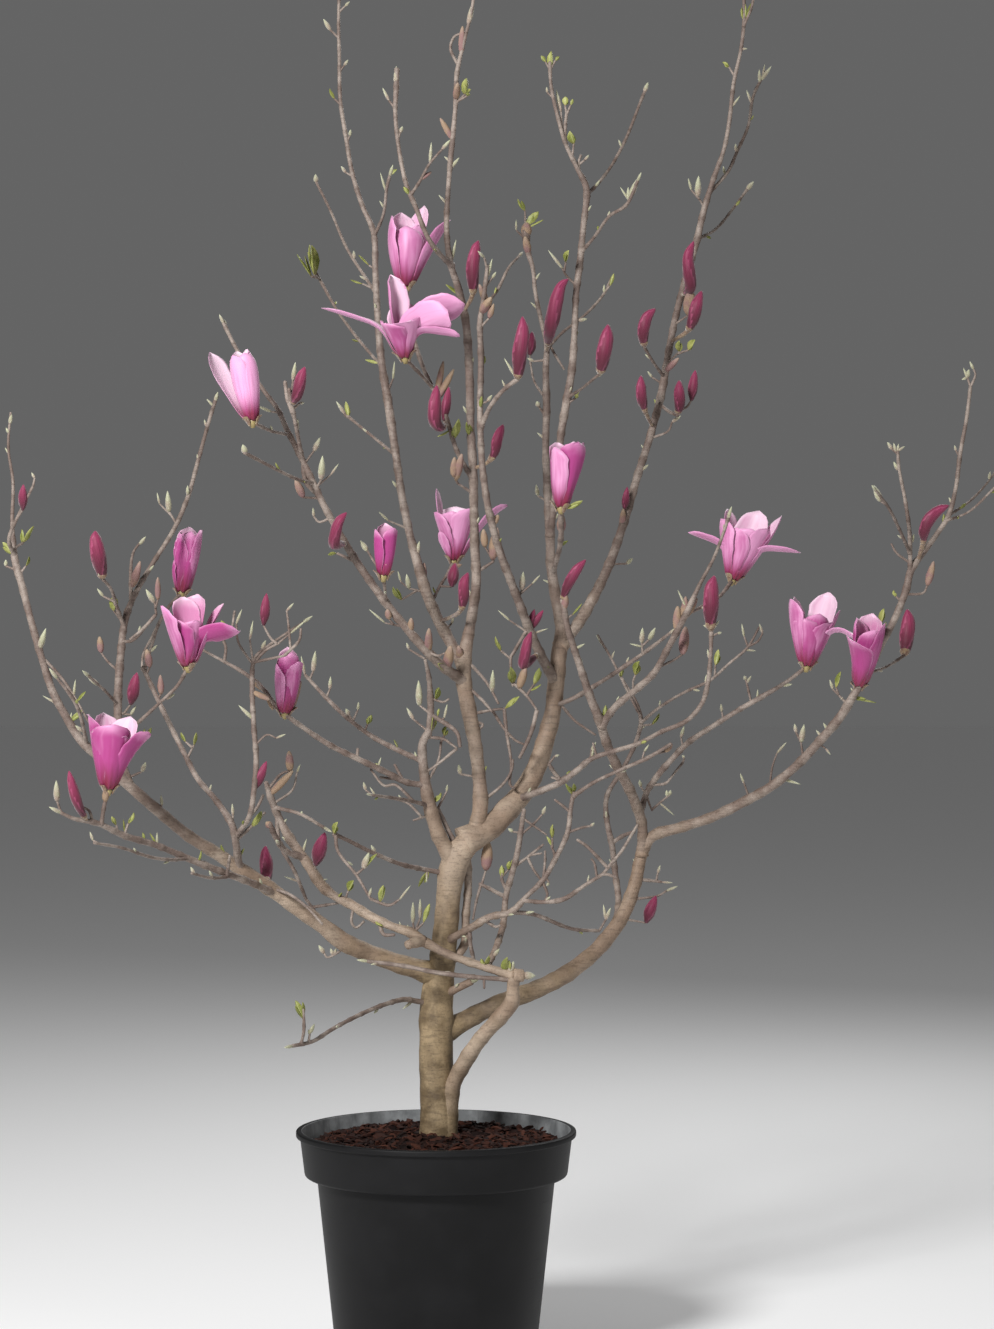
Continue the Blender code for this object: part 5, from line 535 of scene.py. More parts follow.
    (.6,0,-2.4,54.8,-2.9,56,-2.9,58.6),(.5,0,-2.2,54.8,-2,56.6,-2,59),(.3,0,-4.2,55.6,-4.6,56.2),
    (.3,0,-3.4,55,-3.6,55.8),(.3,0,-12.8,54.9,-12.5,55.4),(.6,0,-11.4,51.8,-13.4,51.7,-14,52.2,-14.7,53.2),
    (.5,0,-12.8,51.8,-13.2,52.8),(.4,0,-12.6,51.9,-12.5,52.8),(.3,0,-3.6,50.6,-4.1,51.3),
    (.4,0,-3,45.6,-4.2,45.2),(.5,0,-16,41.2,-15.8,42.2,-15.2,43.4),(.3,0,-15.8,42,-16,42.7),
    (.9,0,9.3,50.2,9.7,51.2),
    ),
    "leaf": (
    (1.2,-1,-15.1,136.2,-15.2,137,-15.8,140.8),(.6,-1,-15.1,136.2,-15.6,136.8,-17.4,139.6),
    (.5,0,-7.9,137.7,-8.4,138.2,-9.7,139.5),(.45,0,-8.2,135.2,-9.2,135.9,-10.7,136.4),
    (.4,0,-8.2,125,-8.9,126.4),(.5,0,2.2,134.2,1.2,135.8),(1,-1,2.6,116.6,2.8,119),
    (.8,-1,3.6,116.8,3.8,118.6),(.5,-1,1.6,117.6,.2,116.8),(.6,0,-10.9,119.3,-11.3,121.2),
    (.6,0,11.2,143.2,11.1,145,10.2,146.5),(1,0,12,143.2,12.8,144.9),(.4,0,12,142.8,13.4,143.9),
    (.9,-1,16,137.4,16.2,138.6,16.6,140.1),(.5,-1,5.3,120.3,5.7,121.8),
    (.5,0,21.2,134.8,21.7,135.6,22.2,137.2),(.6,-.5,16.9,120.6,17.4,121.6,17.9,122.4),
    (.9,-1,30.3,125.6,30.4,127.4,30.4,128.8),(1,-1,30.6,126.6,31.5,127.6,32.4,128.9),
    (.6,0,-12.2,158.2,-12.7,159,-13.3,160.3),(.5,0,-6.2,147.6,-5.9,149.4,-4.9,150.2),
    (1,-1,2.8,158.4,3.6,159.6,3.8,161.6),(.7,-1,3,158.6,3.9,159.4,4.3,160.2),
    (.5,0,14.1,162.6,13.7,163.6,13.1,164.4),(.9,0,14.1,162.6,14.4,165),
    (.5,0,14.2,162.6,14.9,163.8,15.4,164.3),(.8,0,16.3,157.2,16.1,158.2,16.2,159.3),
    (.4,0,16.3,157,16.8,158.2,17.1,159),(1,-1,17.2,151.8,17.2,153.4,16.7,155),
    (.6,0,37.1,161.8,36.6,163,35.8,163.6),(.9,0,38.4,168.8,38.4,171.2),(.7,0,38.8,168.8,39.8,171.4),
    (.8,0,-52.2,102.8,-51.6,103.6,-50.3,105.6),(.6,0,-52,103,-51.7,103.4,-51.8,105.2),
    (.5,0,-51.8,99.6,-51.3,100.6,-50.9,101.8),(.7,0,-53,102,-54.2,103.6),
    (1.1,-1,-39.8,93.4,-40.3,95,-40.3,96.8),(.5,0,-27,92.4,-26.4,93,-26.9,93.8),
    (.5,0,-44.6,83.8,-43.8,84.9),(.6,0,-45.4,81.4,-44.3,82.6),(.5,-.5,-37.6,78,-36.3,78.9,-35.6,80.4),
    (.4,-.5,-36.4,79,-36.5,80.3),(.5,0,-31,76.6,-30.3,78.2,-30,79.8),(.5,0,-30.7,78,-31.3,78.6,-31.9,79.8),
    (.5,0,-39.7,67.4,-40,68.2,-40.6,69.3),(.6,0,-38.9,67.2,-38.5,68.4,-37.8,69.8),
    (.4,0,-38.9,67.2,-39.1,68.9),(.4,0,-36.6,66,-36.7,67.3),(.4,0,-34.6,66.4,-35.8,67.2),
    (.5,-.5,-26.3,64.2,-26.9,65.8),(.4,-.5,-24.6,64,-24,65.3),(.4,-.5,-29.6,64,-29.4,65),
    (1.2,-1,-23.4,68.4,-22,69.9),(.9,-.5,-13.4,67.4,-12.3,68.6),(.5,-.5,-12.6,102.4,-13.5,102),
    (.9,-.5,-2.8,95.8,-4.3,96.4,-5.4,98),(.4,0,-.2,97.2,-.4,98),(.9,-1,.8,86.8,.2,88.4),
    (.7,-.5,15.9,107.5,16.3,107.8,18.3,108.8),(.5,0,15.4,103.2,15.5,104.4),(.4,0,15.6,103,16.5,103.8),
    (.5,0,16.5,94,17,94.5,18.2,95.9),(.6,0,8.1,90,7.4,91.8),(1,-1,8.3,85.8,9.3,88),
    (.8,-.5,11.5,84.6,12.2,85.8,12.9,87.9),(.5,-.5,11.8,85,13.1,85.8),(.7,-.5,9.4,82.8,10.4,84.3),
    (1.3,-.5,24.6,86.2,24.9,87,25.4,88.7),(.6,-.5,22.8,86.6,23.2,87.8),(.7,0,-9,79.9,-8.6,80.8,-8.1,82),
    (.8,0,-6.8,75.3,-8,75.8),(1.2,-.5,-.8,78.6,-.6,80,-.4,82),(.4,0,-.2,80.8,.2,81.8,.4,82.8),
    (.8,0,.8,78.6,1,79.4,1.3,80.6),(.9,0,-.6,70.6,-.2,71.1,.6,72.3),(.9,-.5,-.2,83.6,.4,85.4),
    (.8,.5,2.4,85.4,3.2,86.4),(.7,0,-9.2,62.6,-7.4,64.6),(1,-.5,-11.3,59,-11,60,-10.3,61.3),
    (.5,-.5,-12.4,59.2,-11.8,59.8),(.8,-.5,-6.9,58.9,-6.6,60.7),(.8,0,-1.4,60.1,-2.2,60.5),
    (.7,0,26.4,80.4,27,80.8,27.9,82.2),(.7,0,21,81.2,21.2,83.2),(.5,0,6.1,74.6,6.3,75.6),
    (.6,0,14.4,65.2,14.5,66.6,14.6,68.3),(.5,0,14.2,65.8,13.8,66.8),(.8,0,8.4,61.8,9,62.6,9.5,63.9),
    (.6,0,8.2,61.6,8.2,63.2),(.7,-.5,16.4,72.2,16.2,73.4),(.6,-.5,17,72.4,17.2,73.4),
    (.5,0,16.4,74.2,16.8,75),(.7,0,34.7,87,34.9,88.2,35.3,90.2),(.8,0,50,84.2,50,85.4,50.6,87.4),
    (.5,0,53.4,83.2,53.7,84),(.4,0,53.4,83.2,55,83.5),(.8,0,56.6,92.2,55.6,93.4,56,95.3),
    (.4,0,55.8,92.8,56.2,93.6),(.6,0,58,96.2,57.5,96.8,57.2,97.6),(.6,0,60.9,102.4,60.9,104),
    (.9,-.5,-7.8,55.8,-6.7,55.6),(.7,-.5,-2.1,54.8,-1.6,56,-.8,58.4),
    (.8,0,-16.8,40.8,-16.6,42.6,-16.6,44,-17.6,46.3),(.5,0,-16.6,44.4,-16.7,46.1),(.6,-.5,6,50.4,6.6,51.9),
    (.5,-.3,6,50.4,5.6,51.5),(1.2,-.5,8.9,50.2,8.9,51.7),(1.4,-1.4,-15.1,136.2,-15.2,137,-15.6,140.7),
    ),
    "husk": (
    (.9,0,-23.2,86.3,-21.4,85),(.8,0,-22.7,84.9,-20.8,83.9),(.8,0,-21.4,84.4,-20.4,82.6),
    (.8,0,-17.6,83,-16.9,86.2),(1.4,0,6.1,61.6,6.2,62.6,6.5,66.2),(1.3,0,11.1,141.8,11.3,143.6),
    (.8,0,1,122.4,.9,126.2),(.8,0,1.7,122.2,2.2,125.2),(1.2,-1,6.6,132.2,6.9,134.2),
    (.8,-1,6.2,133.6,5.4,135.8),(.7,-1,5.8,130.4,6.6,131.6,7.2,133.4),(1,-.5,11.2,139.6,11.1,141.8),
    (1.7,-1,31.6,130.4,31.6,132,31.8,135.2),(.8,-1,30.4,124.6,30.3,126.6),(.6,0,-1.2,148.6,-.6,149.9),
    (.7,0,1.6,154,.5,156.6),(.9,-1,2.6,159,2.7,161),(.8,0,3.3,164.6,3.3,168.1),
    (.8,0,-40,87.4,-41,88.6,-41.9,89.8,-42.1,91.8),(1,-.5,-38.2,97,-38,98,-37,101.2),
    (.7,-.5,-34.7,95.4,-34.8,96.4,-34.8,99.2),(.9,-.5,-35.9,87.2,-35.8,88,-36.2,90.2),
    (.8,0,-34.8,84,-34.4,84.6,-34.5,87),(1,-.5,-44.4,70.2,-45,71,-45.6,73),
    (.8,-.5,-41.8,70.2,-41.4,71.2,-41.2,73),(.9,0,-20.6,68,-21.3,68.6),(1,0,-18.2,74.8,-18.4,77.5),
    (.9,-.5,-20.2,72.2,-17.9,75),(.9,-.5,-15.3,108.7,-16.6,109.2,-17.6,111.4),(.9,.5,-1.7,97.6,-1.5,101),
    (.8,-.5,-5.4,93,-5.9,94,-6.1,95.2),(.8,-.5,-3.4,92.2,-3.1,94.1),(.6,0,3.2,99.6,3.2,100.8),
    (1,-1,2.6,110.8,2.2,111.8,2.3,114.2),(1,-1,3.2,111.8,3.2,114.6),(1,-1,-1,89.8,-.9,92.8),
    (1.2,-1,1.2,87.6,1.8,90.6),(1,-1,2.6,88.4,2.8,90.6),(1.1,-.5,15.5,104.8,15.7,107.4),
    (.8,-.3,23.5,105.4,23.4,107.8),(.9,-.3,16,95.2,16.2,97.2),(.8,0,7.2,105.8,7.8,107),
    (.9,-.5,6.8,101.8,6.1,103,5.9,105.2),(1.3,-.5,7.3,101.6,7.6,105.4),(1,-.5,10.8,85.8,11.2,88),
    (.8,0,28,87.6,29.6,88.8,30.8,89.6,31.2,91.2),(1.1,0,31,92,30.2,95.6),(1,0,31.4,94,31.2,96.8),
    (1,0,32,93.6,32.6,96.6),(1.2,.5,31.4,90.8,31.2,93),(.7,0,27.4,76.8,28.6,77.4,29.5,78.4),
    (.9,0,59.8,96.6,60.8,97.2,61.4,98.2,62.2,101.2),
    ),
    "rose": (
    (1.1,-1,-52,106.6,-51.7,107.6,-51.6,110.8),(1.5,0,25.5,55,26.2,56,27.5,59.4),(.9,0,12.4,93.2,12.3,95.2),
    (.9,0,12.7,93,13.4,95.1),(1.2,0,.6,117.6,.9,118.8,1.6,123),(1.4,.6,11.6,126.4,11.7,127,12,129.9),
    (1.3,0,29.6,119.8,31.2,120.4,31.9,121.3,32.4,125.1),(1.2,0,-19.6,90.4,-20.7,91.6,-21.6,93.2,-21.2,97.2),
    (1.5,-.5,-39,82.6,-38.2,83.3,-37.4,87.3),(1.8,-.5,-15.2,62.2,-15.1,63.2,-13.9,67.3),
    (1.5,.6,1.6,97.4,1.9,98,2.4,101),(1,-.3,23.5,105.4,23.5,107.6,23.9,110.5),
    (1.1,0,-22.7,71.6,-22.6,72.8,-21.2,76.2),
    ),
}


# -------- routes in space
def spot(across, up, back):
    """Place a drawn point (cm) at its real depth, along the sight line through it (m)."""
    grow = (back - EYE[1]) / -EYE[1]
    x = EYE[0] + (across - EYE[0]) * grow
    z = EYE[2] + (up - EYE[2]) * grow
    return Vector((x, back, z)) * CM


def on_carrier(carrier, point):
    """Place on a carrier's centre line that lies nearest to a point of the front elevation."""
    nearest = None
    for low, high in zip(carrier, carrier[1:]):
        run = Vector(high[:2]) - Vector(low[:2])
        share = (Vector(point[:2]) - Vector(low[:2])).dot(run) / run.length_squared
        place = Vector(low[:3]).lerp(Vector(high[:3]), min(max(share, 0.0), 1.0))
        miss = (place.xy - Vector(point[:2])).length
        if nearest is None or miss < nearest[0]:
            nearest = (miss, place)
    return nearest[1]


def grown(route, carrier):
    """A drawn route at full depth, its root on the carrier's centre line."""
    deep = [(a, u, b * DEPTH, r) for a, u, b, r in route]
    if carrier is None:
        return deep
    root = on_carrier(carrier, deep[0])
    shift = root.z - deep[0][2]
    return [(*root, deep[0][3])] + [(a, u, b + shift, r) for a, u, b, r in deep[1:]]


def drawn_points(flat):
    """Points (across, up, back, radius) in cm of a drawn list."""
    return list(zip(*[iter(flat)] * 4))


def grown_wood():
    """Every branch of the wood at full depth, by name. Carriers come before what they carry."""
    routes = {}
    for branches in WOOD.values():
        for name, (carrier, *flat) in branches.items():
            routes[name] = grown(drawn_points(flat), routes.get(carrier))
    return routes


ROUTES = grown_wood()


def smooth_route(route, step):
    """Points (m) and radii (m) at even steps along a soft curve through a grown route."""
    points = [spot(*p[:3]) for p in route]
    radii = [p[3] * CM for p in route]
    points = [points[0] * 2 - points[1]] + points + [points[-1] * 2 - points[-2]]
    radii = [radii[0]] + radii + [radii[-1]]
    out = []
    for i in range(1, len(points) - 2):
        span = (points[i + 1] - points[i]).length
        parts = max(1, round(span / step))
        for k in range(parts):
            out.append(bend_between(points, radii, i, k / parts))
    out.append((points[-2], radii[-2]))
    return out


def bend_between(points, radii, i, t):
    """One point of a Catmull-Rom curve between the points i and i + 1, with its radius."""
    a, b, c, d = points[i - 1], points[i], points[i + 1], points[i + 2]
    place = (b * 2 + (c - a) * t + (a * 2 - b * 5 + c * 4 - d) * t * t
             + (b * 3 - a - c * 3 + d) * t * t * t) * 0.5
    ease = t * t * (3 - 2 * t)
    return place, radii[i] + (radii[i + 1] - radii[i]) * ease


# -------- modelling helpers
MERGE = 0.00002             # m, corners closer than this become one


def deselect():
    """Leave nothing selected: the loaded solids come selected."""
    if bpy.context.object and bpy.context.object.mode != "OBJECT":
        bpy.ops.object.mode_set(mode="OBJECT")
    bpy.ops.object.select_all(action="DESELECT")


def pick(obj):
    """Select one object alone and make it active."""
    deselect()
    obj.select_set(True)
    bpy.context.view_layer.objects.active = obj


def finish_with(obj, kind, **settings):
    """Add one modifier with its settings and apply it."""
    pick(obj)
    modifier = obj.modifiers.new(kind.title(), kind)
    for key, value in settings.items():
        setattr(modifier, key, value)
    bpy.ops.object.modifier_apply(modifier=modifier.name)


def draw_outline(name, outline):
    """A line of edges through (radius, height) points (m), extruded point by point."""
    deselect()
    bpy.ops.mesh.primitive_plane_add(size=0.01)
    obj = bpy.context.object
    obj.name = name
    bpy.ops.object.mode_set(mode="EDIT")
    bm = bmesh.from_edit_mesh(obj.data)
    bm.verts.ensure_lookup_table()
    bmesh.ops.delete(bm, geom=bm.verts[1:], context="VERTS")
    bm.verts.ensure_lookup_table()
    bm.verts[0].co = (outline[0][0], 0.0, outline[0][1])
    bm.verts[0].select = True
    bmesh.update_edit_mesh(obj.data)
    for low, high in zip(outline, outline[1:]):
        move = (high[0] - low[0], 0.0, high[1] - low[1])
        bpy.ops.mesh.extrude_region_move(TRANSFORM_OT_translate={"value": move})
    bpy.ops.object.mode_set(mode="OBJECT")
    return obj


def turn_outline(name, outline, steps):
    """Turn a closed outline that starts and ends on the upright axis into a solid."""
    obj = draw_outline(name, outline)
    finish_with(obj, "SCREW", steps=steps, render_steps=steps, use_merge_vertices=True,
                merge_threshold=MERGE)
    pick(obj)
    bpy.ops.object.mode_set(mode="EDIT")
    bpy.ops.mesh.select_all(action="SELECT")
    bpy.ops.mesh.remove_doubles(threshold=MERGE)
    bpy.ops.mesh.normals_make_consistent(inside=False)
    bpy.ops.object.mode_set(mode="OBJECT")
    return obj


def mesh_piece(name, bm, smooth=True):
    """A new piece from a bmesh, its faces turned outwards."""
    bmesh.ops.recalc_face_normals(bm, faces=bm.faces[:])
    mesh = bpy.data.meshes.new(name)
    bm.to_mesh(mesh)
    bm.free()
    obj = bpy.data.objects.new(name, mesh)
    bpy.context.scene.collection.objects.link(obj)
    if smooth:
        mesh.shade_smooth()
    return obj


def join_rings(bm, low, high):
    """The band of faces between two rings of as many corners."""
    corners = zip(low, low[1:] + low[:1], high[1:] + high[:1], high)
    return [bm.faces.new(around) for around in corners]


def steady_frames(points):
    """Heading and side at each point of a line, turned no more than the line itself turns."""
    heading = (points[1] - points[0]).normalized()
    side = heading.orthogonal().normalized()
    last = len(points) - 1
    for i in range(last + 1):
        ahead = (points[min(i + 1, last)] - points[max(i - 1, 0)]).normalized()
        side = (heading.rotation_difference(ahead) @ side).normalized()
        heading = ahead
        yield heading, side


def dress(obj, slot, *materials, stands_for=()):
    """Give a finished piece its materials, its slot and its body."""
    for material in materials:
        obj.data.materials.append(material)
    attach(obj, ROOT_BODY)
    if stands_for:
        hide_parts(*stands_for)


# -------- shader expressions
def maths(operation, swapped=False):
    """A method that adds one Math node, for Value's operators."""
    def add_node(value, other):
        pair = (other, value) if swapped else (value, other)
        return value.recipe.node("ShaderNodeMath", {"operation": operation}, *pair)
    return add_node


class Value:
    """A socket that carries a number, with Python's operators on it."""
    __add__, __radd__ = maths("ADD"), maths("ADD", swapped=True)
    __sub__, __rsub__ = maths("SUBTRACT"), maths("SUBTRACT", swapped=True)
    __mul__, __rmul__ = maths("MULTIPLY"), maths("MULTIPLY", swapped=True)

    def __init__(self, recipe, socket):
        self.recipe = recipe
        self.socket = socket

    def clamp(self):
        return self.recipe.node("ShaderNodeClamp", {}, self, 0.0, 1.0)


FIRST_COLOUR, MIXED_COLOUR = 6, 2   # a Mix node's first colour input and its colour output


class Recipe:
    """One material, made node by node."""

    def __init__(self, name, roughness=0.5, **constants):
        self.material = bpy.data.materials.new(name)
        self.material.use_nodes = True
        self.nodes = self.material.node_tree.nodes
        self.links = self.material.node_tree.links
        self.shader = self.nodes["Principled BSDF"]
        self.shader.inputs["Roughness"].default_value = roughness
        for key, value in constants.items():
            self.shader.inputs[key.replace("_", " ")].default_value = value

    def feed(self, socket, value):
        if isinstance(value, Value):
            self.links.new(value.socket, socket)
        elif value is not None:
            socket.default_value = (*value, 1.0) if socket.type == "RGBA" else value

    def node(self, kind, settings, *values, out=0, **named):
        node = self.nodes.new(kind)
        for key, value in settings.items():
            setattr(node, key, value)
        for socket, value in zip(node.inputs, values):
            self.feed(socket, value)
        for key, value in named.items():
            self.feed(node.inputs[key], value)
        return Value(self, node.outputs[out])

    def place(self, kind="Object"):
        return self.node("ShaderNodeTexCoord", {}, out=kind)

    def attribute(self, name):
        return self.node("ShaderNodeAttribute", {"attribute_name": name}, out="Fac")

    def noise(self, scale, detail, rough, vector=None, shift=(0.0, 0.0, 0.0)):
        """Noise at one scale, or stretched by three."""
        vector = vector or self.place()
        if isinstance(scale, tuple):
            vector = self.node("ShaderNodeMapping", {}, Vector=vector, Scale=scale, Location=shift)
            scale = 1.0
        return self.node("ShaderNodeTexNoise", {}, Vector=vector, Scale=scale, Detail=detail,
                         Roughness=rough, out="Fac")

    def cells(self, scale):
        return self.node("ShaderNodeTexVoronoi", {}, Vector=self.place(), Scale=scale, out="Distance")

    def steps(self, value, low, high):
        """0 below low, 1 above high, eased between."""
        return self.node("ShaderNodeMapRange", {"interpolation_type": "SMOOTHSTEP"}, value, low, high,
                         0.0, 1.0)

    def mix(self, factor, first, second):
        """Two colours by a factor, each a link or three numbers."""
        mixed = self.node("ShaderNodeMix", {"data_type": "RGBA"}, factor, out=MIXED_COLOUR)
        for socket, colour in zip(mixed.socket.node.inputs[FIRST_COLOUR:], (first, second)):
            self.feed(socket, colour)
        return mixed

    def over(self, colour, top, mask, low, high, share=1.0):
        """A colour with another over it, as far as a mask rises from low to high."""
        factor = self.steps(mask, low, high)
        return self.mix(factor if share == 1.0 else factor * share, colour, top)

    def finish(self, colour, roughness=None, height=None, bump=0.3, distance=0.001):
        self.feed(self.shader.inputs["Base Color"], colour)
        self.feed(self.shader.inputs["Roughness"], roughness)
        if height is not None:
            normal = self.node("ShaderNodeBump", {}, Strength=bump, Distance=distance, Height=height)
            self.feed(self.shader.inputs["Normal"], normal)
        return self.material


# -------- finishes
SCALE_BROWN, SCALE_OLIVE, SCALE_HAIR = (0.12, 0.062, 0.045), (0.22, 0.15, 0.085), (0.42, 0.36, 0.26)
HUSK_TAN, HUSK_PINK = (0.26, 0.18, 0.12), (0.215, 0.125, 0.12)
HUSK_TIP, HUSK_GRAIN = (0.36, 0.29, 0.21), (0.20, 0.125, 0.095)
DOWN_GREEN, DOWN_BROWN = (0.25, 0.235, 0.15), (0.24, 0.18, 0.14)
DOWN_TIP, DOWN_HAIR = (0.38, 0.39, 0.26), (0.62, 0.62, 0.50)
LEAF_DARK, LEAF_LIGHT = (0.16, 0.18, 0.038), (0.28, 0.29, 0.085)
LEAF_MIDRIB, LEAF_FOOT = (0.40, 0.41, 0.17), (0.32, 0.25, 0.11)
CONE_RED, CONE_CREAM = (0.42, 0.07, 0.12), (0.66, 0.42, 0.28)
CONE_FOOT, CONE_TIP = (0.27, 0.21, 0.085), (0.50, 0.52, 0.20)
STAMEN_RED, STAMEN_CREAM = (0.40, 0.05, 0.12), (0.72, 0.50, 0.40)
SOIL_COLOURS = ((0.006, 0.0024, 0.0018), (0.022, 0.007, 0.0042), (0.12, 0.05, 0.03))   # dark, red, pale
CHIP_COLOURS = ((0.004, 0.0013, 0.0009), (0.016, 0.0042, 0.0024), (0.065, 0.021, 0.012))
SCUFF = (0.028, 0.028, 0.030)
INNER_DARK, INNER_LIGHT, INNER_STREAK = (0.11, 0.115, 0.118), (0.21, 0.218, 0.222), (0.06, 0.06, 0.06)


def bark_finish():
    """Bark by age: grey-lilac on young twigs, rosy beige on limbs, mottled fawn on the trunk."""
    look = bpy.context.scene.magnolia_bark
    r = Recipe("bark", 0.6, Specular_IOR_Level=0.35)
    age = r.attribute("age")
    mottle = r.noise(38.0, 4.0, 0.62)
    patch = r.noise(14.0, 3.0, 0.55)
    fine = r.noise(420.0, 4.0, 0.7)
    lumps = r.noise(150.0, 3.0, 0.6)
    sunk_bands_and_shade = r.noise((60.0, 60.0, 340.0), 3.0, 0.6)
    old = r.over(look.fawn, look.pale, mottle, 0.36, 0.66)
    limb = r.over(look.rosy, look.limb, patch, 0.40, 0.64)
    young = r.over(look.twig, look.twig_dark, mottle, 0.36, 0.6)
    colour = r.over(young, limb, age, 0.16, 0.42)
    colour = r.over(colour, old, age, 0.60, 0.95)
    # the sunk bands are darkened toward the scar colour: partly dark marks, partly painted shade in their
    # hollows
    colour = r.over(colour, look.scar, sunk_bands_and_shade, 0.52, 0.66, 0.32)
    pits_and_shade = r.steps(r.cells(300.0), 0.0, 0.26)
    # the sunk pits are darkened by half: partly dark marks, partly painted shade in their hollows
    colour = r.mix((1.0 - pits_and_shade) * 0.5, colour, look.scar)
    colour = r.mix(r.attribute("scar") * (0.7 - age * 0.55), colour, look.scar)
    colour = r.over(colour, look.scar, fine, 0.5, 0.72, 0.4)
    height = lumps * 0.6 + fine * 0.35 + pits_and_shade * 0.25 - sunk_bands_and_shade * 0.3
    return r.finish(colour, 0.52 + mottle * 0.22, height, bump=0.7, distance=0.0014)


def petal_finish(name, foot_and_shade, blade, edge, veins):
    """Petal skin: deep colour at the foot, paler toward the rim, with fine veins along it."""
    r = Recipe(name, 0.45, Sheen_Weight=0.1, Specular_IOR_Level=0.3)
    along = r.attribute("along")
    rim = r.attribute("rim")
    pale = r.attribute("tint")
    uv = r.place("UV")
    vein = r.noise((12.0, 1.3, 1.0), 2.0, 0.5, uv)
    streak = r.noise((4.0, 0.9, 1.0), 2.0, 0.5, uv, shift=(3.0, 7.0, 0.0))
    blotch = r.noise(60.0, 2.0, 0.5)
    above_foot = r.steps(along, 0.1, 0.5)
    # the foot colour is the petal's deep base colour with painted shade added; the blade takes over further
    # up
    colour = r.over(foot_and_shade, blade, along + (streak - 0.5) * 0.5, 0.0, 0.5)
    colour = r.mix(r.steps(streak + pale * 0.5, 0.52, 0.8) * above_foot * 0.65, colour, edge)
    colour = r.over(colour, edge, rim + (blotch - 0.5) * 0.4, 0.55, 1.15, 0.85)
    colour = r.mix((pale * 1.15 + (blotch - 0.5) * 0.3).clamp() * above_foot * 0.8, colour, edge)
    colour = r.mix(r.steps(vein, 0.5, 0.68) * 0.4 * (1.0 - along * 0.8), colour, veins)
    return r.finish(colour, 0.38 + blotch * 0.16, vein, bump=0.08, distance=0.0004)


def bud_finish():
    """Closed flower skin: plum with rose flanks and fine lengthwise veins."""
    look = bpy.context.scene.magnolia_flowers
    r = Recipe("closed_petal", 0.5, Sheen_Weight=0.25, Specular_IOR_Level=0.22)
    vein = r.noise((30.0, 2.0, 1.0), 2.0, 0.5, r.place("UV"))
    blotch = r.noise(90.0, 2.0, 0.5)
    # darkest at the foot: the bud's own deep colour with painted shade added
    colour = r.over(look.bud_foot, look.bud_side, r.attribute("along"), 0.15, 0.95)
    colour = r.over(colour, look.bud_foot, vein, 0.45, 0.65, 0.45)
    colour = r.over(colour, look.bud_rim, r.attribute("rim"), 0.35, 1.0, 0.55)
    return r.finish(colour, 0.48 + blotch * 0.16, vein, bump=0.4, distance=0.0006)


def scale_finish():
    """Downy bud scale: olive brown with pale silky hairs that run lengthwise."""
    r = Recipe("downy_scale", 0.8, Sheen_Weight=0.35, Specular_IOR_Level=0.2)
    hairs = r.noise((900.0, 900.0, 160.0), 3.0, 0.6)
    patch = r.noise(160.0, 3.0, 0.6)
    colour = r.over(SCALE_BROWN, SCALE_OLIVE, patch, 0.35, 0.65)
    colour = r.over(colour, SCALE_HAIR, hairs, 0.5, 0.7, 0.6)
    return r.finish(colour, 0.7 + hairs * 0.2, hairs, bump=0.5, distance=0.0006)


def husk_finish():
    """Old scales: tan to brown-pink, dry, with lengthwise grain."""
    r = Recipe("old_scale", 0.8, Specular_IOR_Level=0.2)
    grain = r.noise((700.0, 700.0, 140.0), 3.0, 0.6)
    patch = r.noise(45.0, 2.0, 0.5)
    colour = r.over(HUSK_TAN, HUSK_PINK, patch, 0.4, 0.6)
    colour = r.over(colour, HUSK_TIP, r.attribute("along"), 0.5, 1.0, 0.5)
    colour = r.over(colour, HUSK_GRAIN, grain, 0.5, 0.72, 0.5)
    return r.finish(colour, 0.74 + grain * 0.15, grain, bump=0.5, distance=0.0006)


def leaf_bud_finish():
    """Small leaf buds: brownish down, yellow-green toward the tip, with pale hairs."""
    r = Recipe("leaf_bud", 0.7, Sheen_Weight=0.3, Specular_IOR_Level=0.25)
    hairs = r.noise(700.0, 3.0, 0.6)
    patch = r.noise(60.0, 2.0, 0.5)
    colour = r.over(DOWN_GREEN, DOWN_BROWN, patch, 0.42, 0.6)
    colour = r.over(colour, DOWN_TIP, r.attribute("along"), 0.2, 1.0)
    colour = r.over(colour, DOWN_HAIR, hairs, 0.5, 0.7, 0.45)
    return r.finish(colour, 0.66 + hairs * 0.2, hairs, bump=0.5, distance=0.0005)


def leaf_finish():
    """Young leaf: fresh yellow-green, paler along the midrib, browner at the foot."""
    r = Recipe("young_leaf", 0.45, Specular_IOR_Level=0.35)
    patch = r.noise(90.0, 2.0, 0.5)
    colour = r.over(LEAF_DARK, LEAF_LIGHT, patch, 0.35, 0.65)
    colour = r.mix((1.0 - r.steps(r.attribute("rim"), 0.0, 0.3)) * 0.6, colour, LEAF_MIDRIB)
    colour = r.mix((1.0 - r.steps(r.attribute("along"), 0.0, 0.3)) * 0.5, colour, LEAF_FOOT)
    return r.finish(colour, 0.4 + patch * 0.15, patch, bump=0.3, distance=0.0006)


def stamen_finish():
    """Receptacle and pistil: yellow-green foot, cream to wine red above."""
    r = Recipe("flower_cone", 0.55)
    fleck = r.noise(900.0, 2.0, 0.5)
    along = r.attribute("along")
    colour = r.over(CONE_RED, CONE_CREAM, fleck, 0.42, 0.6)
    colour = r.over(CONE_FOOT, colour, along, 0.34, 0.44)
    colour = r.over(colour, CONE_TIP, along, 0.6, 0.8)
    return r.finish(colour, 0.5, fleck, bump=0.4, distance=0.0006)


